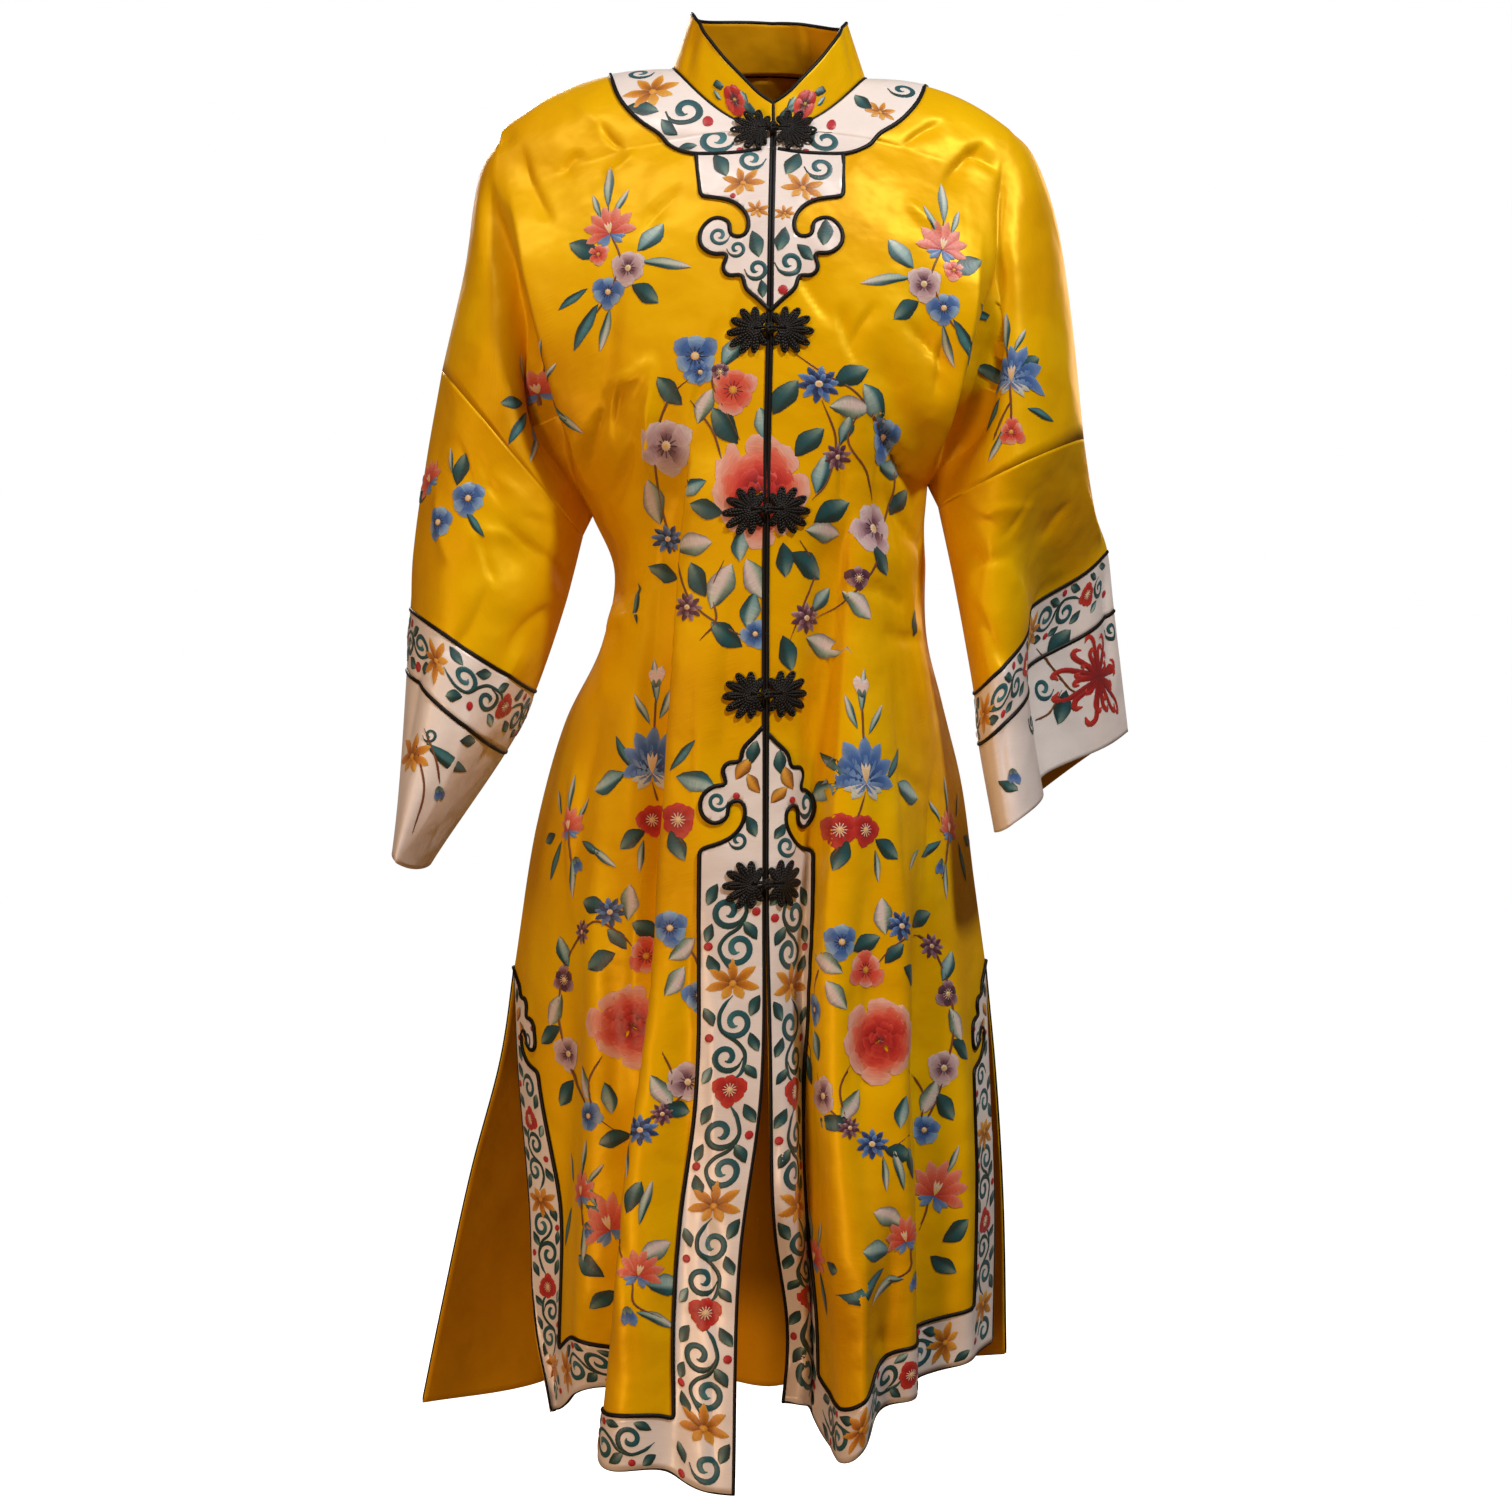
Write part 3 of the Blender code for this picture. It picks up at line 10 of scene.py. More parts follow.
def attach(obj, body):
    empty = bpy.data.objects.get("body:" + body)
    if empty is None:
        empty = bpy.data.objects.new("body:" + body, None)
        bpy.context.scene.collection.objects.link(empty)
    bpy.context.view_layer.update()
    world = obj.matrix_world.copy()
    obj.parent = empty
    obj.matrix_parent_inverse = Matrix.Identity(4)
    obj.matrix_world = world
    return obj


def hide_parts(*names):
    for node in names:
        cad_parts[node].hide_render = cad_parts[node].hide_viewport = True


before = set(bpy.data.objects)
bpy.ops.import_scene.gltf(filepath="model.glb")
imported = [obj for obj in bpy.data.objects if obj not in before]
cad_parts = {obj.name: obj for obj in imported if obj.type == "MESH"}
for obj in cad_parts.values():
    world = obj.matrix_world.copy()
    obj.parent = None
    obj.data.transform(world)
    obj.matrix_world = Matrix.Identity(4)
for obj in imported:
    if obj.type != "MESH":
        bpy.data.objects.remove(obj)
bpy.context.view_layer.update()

# Worn satin robe with white scrolled borders, cord frogs and silk flowers, as an add-on with one operator
# for each kind of piece. Metres, +Z up; the wearer faces -Y and the wearer's right is -X, as in the frame.

bl_info = {
    "name": "Satin robe",
    "version": (1, 0, 0),
    "blender": (4, 5, 0),
    "location": "View3D > Sidebar > Robe",
    "description": "Builds a worn satin robe with embroidered borders, cord frogs and silk flowers",
    "category": "Add Mesh",
}

SIDES = {"right": -1, "left": 1}
FACES = ("front", "back")

# The photograph's camera: its distance, place and focal length in the photograph's pixels
CAMERA_DISTANCE = 2.0
CAMERA_X = -0.0094
CAMERA_Z = -0.4924
PHOTO_MIDDLE = 756
PHOTO_FOCUS = 2778

# Driving sizes, in metres
STRIP_WIDTH = 0.045
HEM_WIDTH = 0.037
HEAD_LENGTH = 0.082
NECK_HALF_WIDTH = 0.0705
NECK_FRONT_REACH = 0.065
NECK_FRONT_DROP = 0.057
NECK_BACK_REACH = 0.056
NECK_BACK_RISE = 0.010
NECK_TILT = 0.007
YOKE_WIDTH = 0.043
TAB_TIP = -0.190
TAB_LENGTH = 0.085
TAB_WIDTH = 0.049
HEAD_TOPS = {"right": -0.471, "left": -0.476}
SLIT_TOPS = {"right": -0.645, "left": -0.640}
SLIT_STRIP_WIDTH = 0.036
SLIT_HEAD_SCALE = 0.85
NECK_FROG_HEIGHT = -0.0585
FROG_HEIGHTS = {2: -0.2030, 3: -0.3260, 4: -0.4510, 5: -0.5790}
KNOT_RADIUS = 0.0030

# How thick the pieces are, and how far each lies over the panel, in metres
CLOTH = 0.0012
COLLAR_THICKNESS = 0.0015
BORDER_THICKNESS = 0.0006
BORDER_LIFT = 0.0010
FROG_LIFT = 0.0002
FROG_LIFT_ON_WHITE = 0.0012
KNOT_HEIGHT = 0.0042

# Knife folds: the width of the lip's rise, how far it slides over the hollow, and how deep that is
LIP_WIDTH = 0.0020
LIP_SLIDE = 0.0042
LIP_HOLLOW = 0.019

# All creases are made this much deeper than their tables say
CREASE_DEPTH = 1.45

# Steps in metres: between the rings of piping, from a cloud head's end to its straight strip, and off the
# cloth to find which way is out. TAB_REACH is the tab's upper edge as steps of the neck border's table.
PIPING_STEP = 0.0022
HEAD_FOOT = 0.006
PROBE = 0.001
TAB_REACH = 2.286

# Places along a panel: 0 is the shoulder line, ARMPIT the underarm, HEM the lower edge
ARMPIT = 1.0
HEM = 2.0
NECK_MIDDLE = 1 / 3
SLIT_PLACES = {"right": 1.5, "left": 1 + 7 / 12}

# The grids: columns across a panel and along the upper sleeve, rows above and below the underarm. EDGE in
# metres and EDGE_STEP in rows keep lines just inside a panel's edge. A grid step is about GRID_STEP wide.
BODY_COLUMNS = {"front": 104, "back": 58}
CAP_COLUMNS = 24
ROWS_ABOVE = 96
ROWS_BELOW = 144
NECK_ROWS = 32
SIDE_CROWDING = 0.95
EDGE = 0.00015
EDGE_STEP = 0.08
CUFF_EDGE = 4
SLEEVE_STEPS = {"sleeve": (0, 2, 48), "band": (2, 3, 16), "cuff": (3, 4, 30)}
HALF_ROUND = 150.0
RING_STEP = 90.0
OPENING_STEPS = 120
GRID_STEP = 0.003

# The white pieces of each front. A front and a back are cut with the upper sleeves, from mid-arm seam
# to mid-arm seam.
WHITE_PIECES = ("border", "yoke", "tab")


def table(columns, *rows):
    """A table with named columns; the first column is the one that the others are read at."""
    return dict(zip(columns.split(), np.array(rows, float).T))


def hermite(t, start, end, start_slope, end_slope, step=1):
    """The cubic from start to end as t goes from 0 to 1, with the given slopes at its ends."""
    return (
        (2 * t**3 - 3 * t**2 + 1) * start
        + (t**3 - 2 * t**2 + t) * step * start_slope
        + (3 * t**2 - 2 * t**3) * end
        + (t**3 - t**2) * step * end_slope
    )


def read(rows, column, at):
    """The column as a smooth curve through its rows, a cubic with slopes that never overshoot a row."""
    keys = next(iter(rows.values()))
    values = rows[column]
    at = np.clip(np.asarray(at, float), keys[0], keys[-1])
    steps = np.diff(keys)
    rises = np.diff(values) / steps
    slopes = np.empty(len(keys))
    slopes[1:-1] = (rises[:-1] * steps[1:] + rises[1:] * steps[:-1]) / (steps[1:] + steps[:-1])
    slopes[0] = rises[0]
    slopes[-1] = rises[-1]
    index = np.clip(np.searchsorted(keys, at) - 1, 0, len(keys) - 2)
    step = steps[index]
    t = (at - keys[index]) / step
    return hermite(t, values[index], values[index + 1], slopes[index], slopes[index + 1], step)


# The outer edge of each panel in three stretches: the armhole down to the underarm, the side seam that
# front and back share, and the slit, where they part. place is the place along the panel, out the
# distance from the middle.
ARMHOLES = {
    ("right", "front"): table(
        "place out y z",
        (0.00, 0.190, 0.000, -0.040),
        (0.08, 0.191, -0.020, -0.046),
        (0.30, 0.193, -0.045, -0.096),
        (0.50, 0.178, -0.066, -0.150),
        (0.75, 0.160, -0.064, -0.226),
        (0.90, 0.146, -0.040, -0.282),
        (1.00, 0.127, 0.000, -0.320),
    ),
    ("left", "front"): table(
        "place out y z",
        (0.00, 0.172, 0.000, -0.041),
        (0.08, 0.171, -0.020, -0.046),
        (0.30, 0.168, -0.045, -0.088),
        (0.50, 0.164, -0.066, -0.142),
        (0.75, 0.157, -0.064, -0.210),
        (0.90, 0.140, -0.040, -0.262),
        (1.00, 0.114, 0.000, -0.298),
    ),
    ("right", "back"): table(
        "place out y z",
        (0.00, 0.190, 0.000, -0.040),
        (0.08, 0.191, 0.020, -0.046),
        (0.30, 0.192, 0.046, -0.096),
        (0.50, 0.178, 0.068, -0.150),
        (0.75, 0.162, 0.064, -0.226),
        (0.90, 0.146, 0.040, -0.282),
        (1.00, 0.127, 0.000, -0.320),
    ),
    ("left", "back"): table(
        "place out y z",
        (0.00, 0.172, 0.000, -0.041),
        (0.08, 0.171, 0.020, -0.046),
        (0.30, 0.168, 0.046, -0.088),
        (0.50, 0.164, 0.068, -0.142),
        (0.75, 0.157, 0.064, -0.210),
        (0.90, 0.140, 0.040, -0.262),
        (1.00, 0.114, 0.000, -0.298),
    ),
}
SEAMS = {
    "right": table(
        "place out y z",
        (1.00, 0.127, 0.000, -0.320),
        (1.06, 0.112, 0.006, -0.356),
        (1.14, 0.120, 0.008, -0.409),
        (1.24, 0.147, 0.008, -0.467),
        (1.35, 0.167, 0.008, -0.538),
        (SLIT_PLACES["right"], 0.184, 0.008, -0.645),
    ),
    "left": table(
        "place out y z",
        (1.00, 0.114, 0.000, -0.298),
        (1.08, 0.110, 0.006, -0.351),
        (1.18, 0.111, 0.008, -0.409),
        (1.26, 0.123, 0.008, -0.453),
        (1.36, 0.138, 0.008, -0.510),
        (1.47, 0.148, 0.008, -0.582),
        (SLIT_PLACES["left"], 0.156, 0.008, -0.640),
    ),
}
SLITS = {
    ("right", "front"): table(
        "place out y z",
        (SLIT_PLACES["right"], 0.184, 0.008, -0.645),
        (1.62, 0.180, -0.006, -0.714),
        (1.75, 0.171, -0.018, -0.810),
        (1.90, 0.168, -0.024, -0.905),
        (2.00, 0.158, -0.026, -0.964),
    ),
    ("left", "front"): table(
        "place out y z",
        (SLIT_PLACES["left"], 0.156, 0.008, -0.640),
        (1.70, 0.158, -0.006, -0.720),
        (1.84, 0.160, -0.018, -0.806),
        (2.00, 0.158, -0.026, -0.908),
    ),
    ("right", "back"): table(
        "place out y z",
        (SLIT_PLACES["right"], 0.184, 0.008, -0.645),
        (1.62, 0.196, 0.032, -0.714),
        (1.75, 0.220, 0.056, -0.800),
        (1.90, 0.245, 0.078, -0.908),
        (2.00, 0.260, 0.088, -0.978),
    ),
    ("left", "back"): table(
        "place out y z",
        (SLIT_PLACES["left"], 0.156, 0.008, -0.640),
        (1.70, 0.165, 0.030, -0.720),
        (1.84, 0.172, 0.044, -0.820),
        (2.00, 0.175, 0.054, -0.934),
    ),
}

# The middle edge of each front, and the middle line of the back, from the neck point to the hem. As far
# down as the frogs reach, the two fronts share it.
FASTENED = (
    (NECK_MIDDLE, 0.0028, -0.0650, -0.057),
    (0.45, 0.0020, -0.0840, -0.086),
    (0.58, 0.0010, -0.1020, -0.130),
    (0.78, 0.0000, -0.1140, -0.200),
    (1.00, -0.0020, -0.1190, -0.296),
    (1.15, -0.0030, -0.1180, -0.392),
    (1.30, -0.0030, -0.1180, -0.492),
    (1.45, -0.0032, -0.1240, -0.590),
)
MIDDLES = {
    ("right", "front"): table(
        "place x y z",
        *FASTENED,
        (1.62, -0.0050, -0.1320, -0.718),
        (1.78, -0.0190, -0.1380, -0.826),
        (2.00, -0.0235, -0.1460, -0.985),
    ),
    ("left", "front"): table(
        "place x y z",
        *FASTENED,
        (1.62, -0.0010, -0.1290, -0.700),
        (1.78, 0.0000, -0.1260, -0.798),
        (2.00, 0.0020, -0.1060, -0.937),
    ),
    "back": table(
        "place x y z",
        (NECK_MIDDLE, 0.000, 0.056, 0.010),
        (0.42, 0.000, 0.079, -0.030),
        (0.58, 0.000, 0.104, -0.128),
        (0.78, 0.000, 0.110, -0.200),
        (1.00, 0.000, 0.106, -0.300),
        (1.15, 0.000, 0.098, -0.395),
        (1.30, 0.000, 0.104, -0.490),
        (1.45, 0.000, 0.120, -0.590),
        (1.62, 0.000, 0.134, -0.712),
        (1.78, 0.000, 0.144, -0.824),
        (2.00, 0.000, 0.154, -0.978),
    ),
}

# How far a row of a panel turns from facing front to facing the side, in degrees, and how late it drops.
TURN = table(
    "place degrees drop",
    (0.00, 6, 2.4),
    (0.35, 38, 1.9),
    (0.60, 62, 1.6),
    (1.00, 84, 1.3),
    (1.25, 74, 1.2),
    (1.50, 62, 1.2),
    (1.75, 54, 1.2),
    (2.00, 50, 1.2),
)

# The overarm fold from the shoulder point to the mid-arm seam. along is 0 at the armhole and 1 at the seam.
OVERARM = {
    "right": table(
        "along out y z",
        (0.00, 0.1900, 0.000, -0.040),
        (0.30, 0.2080, 0.000, -0.074),
        (0.70, 0.2200, 0.000, -0.150),
        (1.00, 0.2348, 0.000, -0.216),
    ),
    "left": table(
        "along out y z",
        (0.00, 0.1720, 0.000, -0.041),
        (0.20, 0.1890, 0.000, -0.058),
        (0.45, 0.2060, 0.002, -0.102),
        (0.70, 0.2170, 0.005, -0.165),
        (1.00, 0.2275, 0.010, -0.264),
    ),
}

# Rings of the lower sleeve: over is the overarm point, under the underarm point, front and back how far
# the ring bulges to each side, and lean how far the front bulge sits towards the underarm (1 is in the
# middle).
RINGS = {
    "right": table(
        "ring over_out over_y over_z under_out under_y under_z front back lean",
        (0, 0.2348, 0.000, -0.216, 0.134, 0.000, -0.334, 0.072, 0.060, 1.0),
        (1, 0.2477, 0.000, -0.294, 0.147, 0.000, -0.384, 0.080, 0.070, 1.0),
        (2, 0.2570, 0.000, -0.387, 0.1685, 0.000, -0.446, 0.086, 0.080, 1.0),
        (3, 0.2590, 0.000, -0.430, 0.1900, 0.000, -0.490, 0.092, 0.088, 1.0),
        (4, 0.2643, 0.000, -0.556, 0.2477, 0.000, -0.573, 0.102, 0.096, 1.0),
    ),
    "left": table(
        "ring over_out over_y over_z under_out under_y under_z front back lean",
        (0, 0.2275, 0.010, -0.264, 0.122, 0.000, -0.314, 0.072, 0.060, 1.1),
        (1, 0.2400, 0.044, -0.312, 0.133, -0.014, -0.372, 0.062, 0.056, 1.5),
        (2, 0.2528, 0.072, -0.340, 0.1452, -0.030, -0.448, 0.050, 0.056, 1.9),
        (3, 0.2580, 0.074, -0.384, 0.1480, -0.036, -0.484, 0.050, 0.058, 1.9),
        (4, 0.2690, 0.078, -0.474, 0.1580, -0.050, -0.546, 0.048, 0.060, 2.0),
    ),
}

# Folds of the body, each along a line through three points of the front or back view. offset is how far
# the cloth stands out, negative for a hollow, width how wide the change is, and reach how far a knife
# fold stays proud on the side that it lies towards, 0 for a soft ridge or hollow.
FOLD_COLUMNS = "x1 z1 x2 z2 x3 z3 offset width reach"
FOLDS = {
    "front": {
        "right_knife": (-0.054, -0.28, -0.075, -0.66, -0.105, -0.97, 0.020, 0.005, 0.055),
        "left_knife": (0.056, -0.32, 0.032, -0.65, 0.044, -0.90, 0.020, 0.005, 0.055),
        "right_side_hollow": (-0.120, -0.50, -0.128, -0.75, -0.134, -0.99, -0.012, 0.020, 0),
        "right_front_hollow": (-0.030, -0.62, -0.048, -0.80, -0.060, -1.00, -0.006, 0.014, 0),
        "left_recess": (0.030, -0.58, 0.028, -0.76, 0.030, -0.95, -0.012, 0.010, 0),
        "left_side_hollow": (0.105, -0.46, 0.112, -0.70, 0.118, -0.95, -0.010, 0.018, 0),
        "left_hem_wave": (0.060, -0.70, 0.056, -0.85, 0.052, -0.97, 0.016, 0.016, 0),
        "right_bust_crease": (-0.076, -0.21, -0.092, -0.26, -0.106, -0.31, -0.005, 0.012, 0),
        "left_bust_crease": (0.070, -0.20, 0.086, -0.25, 0.100, -0.29, -0.005, 0.012, 0),
    },
    "back": {
        "right_back_fold": (-0.055, -0.44, -0.075, -0.70, -0.105, -0.99, 0.012, 0.020, 0),
        "middle_hollow": (0.008, -0.40, 0.010, -0.70, 0.006, -0.99, -0.010, 0.026, 0),
        "left_back_fold": (0.056, -0.42, 0.066, -0.68, 0.078, -0.97, 0.012, 0.018, 0),
        "right_waist_crease": (-0.100, -0.36, -0.078, -0.40, -0.052, -0.42, -0.005, 0.012, 0),
        "left_waist_crease": (0.094, -0.35, 0.070, -0.40, 0.046, -0.43, -0.005, 0.012, 0),
    },
}

# Drapes that only the look needs, in the same columns: the skirt's soft folds between its knife folds, and
# the pulls from shoulder, bust and waist.
DRAPES = {
    "front": (
        (-0.118, -0.46, -0.126, -0.72, -0.136, -0.99, 0.010, 0.010, 0),
        (-0.098, -0.52, -0.104, -0.76, -0.122, -0.99, -0.011, 0.010, 0),
        (-0.142, -0.56, -0.152, -0.78, -0.166, -0.99, -0.008, 0.009, 0),
        (-0.064, -0.60, -0.082, -0.80, -0.090, -0.99, 0.007, 0.012, 0),
        (-0.050, -0.50, -0.056, -0.74, -0.070, -0.99, -0.008, 0.010, 0),
        (-0.036, -0.38, -0.040, -0.48, -0.046, -0.60, 0.003, 0.012, 0),
        (0.064, -0.48, 0.056, -0.72, 0.068, -0.98, -0.010, 0.010, 0),
        (0.082, -0.44, 0.084, -0.70, 0.090, -0.98, 0.010, 0.011, 0),
        (0.104, -0.52, 0.108, -0.76, 0.106, -0.98, -0.009, 0.010, 0),
        (0.124, -0.56, 0.134, -0.78, 0.134, -0.96, 0.008, 0.009, 0),
        (0.020, -0.62, 0.018, -0.80, 0.022, -0.98, 0.005, 0.010, 0),
        (-0.100, -0.14, -0.112, -0.20, -0.118, -0.28, -0.004, 0.010, 0),
        (0.096, -0.13, 0.108, -0.20, 0.112, -0.27, -0.004, 0.010, 0),
    ),
    "back": (
        (-0.020, -0.46, -0.028, -0.72, -0.030, -0.99, 0.009, 0.012, 0),
        (-0.080, -0.44, -0.096, -0.70, -0.132, -0.99, -0.010, 0.012, 0),
        (-0.110, -0.50, -0.130, -0.74, -0.160, -0.99, 0.009, 0.012, 0),
        (0.032, -0.48, 0.040, -0.72, 0.046, -0.99, -0.009, 0.012, 0),
        (0.084, -0.46, 0.100, -0.72, 0.112, -0.98, -0.010, 0.012, 0),
        (0.112, -0.50, 0.128, -0.74, 0.140, -0.98, 0.009, 0.012, 0),
        (-0.040, -0.12, -0.050, -0.20, -0.056, -0.32, 0.004, 0.016, 0),
        (0.050, -0.12, 0.056, -0.20, 0.058, -0.32, -0.004, 0.016, 0),
    ),
}

# Folds of the sleeves, by the place round the ring (0 overarm, 1 underarm, up to 2 round the back) and
# the ring.
SLEEVE_FOLD_COLUMNS = "round_at ring_at round_width ring_width offset"
SLEEVE_FOLDS = {
    "right": {
        "elbow_front": (0.62, 0.9, 0.10, 0.30, -0.007),
        "elbow_inner": (0.88, 0.6, 0.08, 0.25, -0.006),
        "elbow_back": (1.45, 0.9, 0.14, 0.35, -0.007),
    },
    "left": {
        "front_recess": (0.44, 3.4, 0.12, 2.0, -0.032),
        "elbow_inner": (0.80, 0.8, 0.09, 0.30, -0.007),
        "elbow_back": (1.45, 0.9, 0.14, 0.35, -0.007),
    },
}

# Waves of the lower edge: where along the front view, how wide, and how far the hem drops there.
HEM_WAVES = {
    ("right", "front"): ((-0.128, 0.022, -0.040), (-0.075, 0.020, -0.010)),
    ("left", "front"): ((0.046, 0.018, 0.034), (0.100, 0.030, 0.006)),
    ("right", "back"): ((-0.150, 0.040, -0.008),),
    ("left", "back"): ((0.090, 0.030, 0.006),),
}

# Half a cloud head: out is the distance from the edge that it stands on, down the distance from its tip.
CLOUD_HEAD = table(
    "point out down",
    (0, 0.0000, 0.000),
    (1, 0.0085, 0.009),
    (2, 0.0155, 0.016),
    (3, 0.0176, 0.025),
    (4, 0.0260, 0.025),
    (5, 0.0300, 0.031),
    (6, 0.0270, 0.040),
    (7, 0.0360, 0.041),
    (8, 0.0440, 0.048),
    (9, 0.0440, 0.059),
    (10, 0.0360, 0.066),
    (11, 0.0265, 0.062),
    (12, 0.0255, 0.053),
    (13, 0.0175, 0.051),
    (14, 0.0140, 0.058),
    (15, 0.0165, 0.068),
    (16, 0.0260, 0.077),
    (17, 0.0450, 0.083),
)

# The collar, by degrees round from the front: its height, and how far it leans in at the top.
COLLAR = table(
    "degrees height lean",
    (0, 0.020, 0.003),
    (10, 0.026, 0.003),
    (20, 0.033, 0.004),
    (36, 0.039, 0.006),
    (60, 0.042, 0.010),
    (90, 0.040, 0.0136),
    (135, 0.038, 0.012),
    (180, 0.036, 0.010),
)
# Its upright creases: degrees round, width in degrees and depth in metres, negative for a hollow.
COLLAR_CREASES = (
    (-62, 3.0, -0.0016),
    (-52, 4.0, 0.0009),
    (66, 3.0, -0.0016),
    (56, 4.5, 0.0009),
    (150, 5.0, -0.001),
)
COLLAR_SET_IN = 0.0009
COLLAR_SET_UP = 0.0006

# The outer line of the neck border in the front view, from the shoulder line to the opening.
YOKE_EDGE = table(
    "point out z",
    (0, 0.1138, -0.005),
    (1, 0.1058, -0.029),
    (2, 0.0922, -0.047),
    (3, 0.0764, -0.059),
    (4, 0.0700, -0.0675),
    (5, 0.0594, -0.0735),
    (6, 0.0461, -0.0758),
    (7, 0.0204, -0.0750),
    (8, 0.0011, -0.0715),
)


# The free edge of the wearer's left front turns back near the hem: by how much, round which place and how
# far.
TURNED_EDGES = {("left", "front"): dict(place=1.93, length=0.10, columns=0.30, x=0.010, y=0.030)}
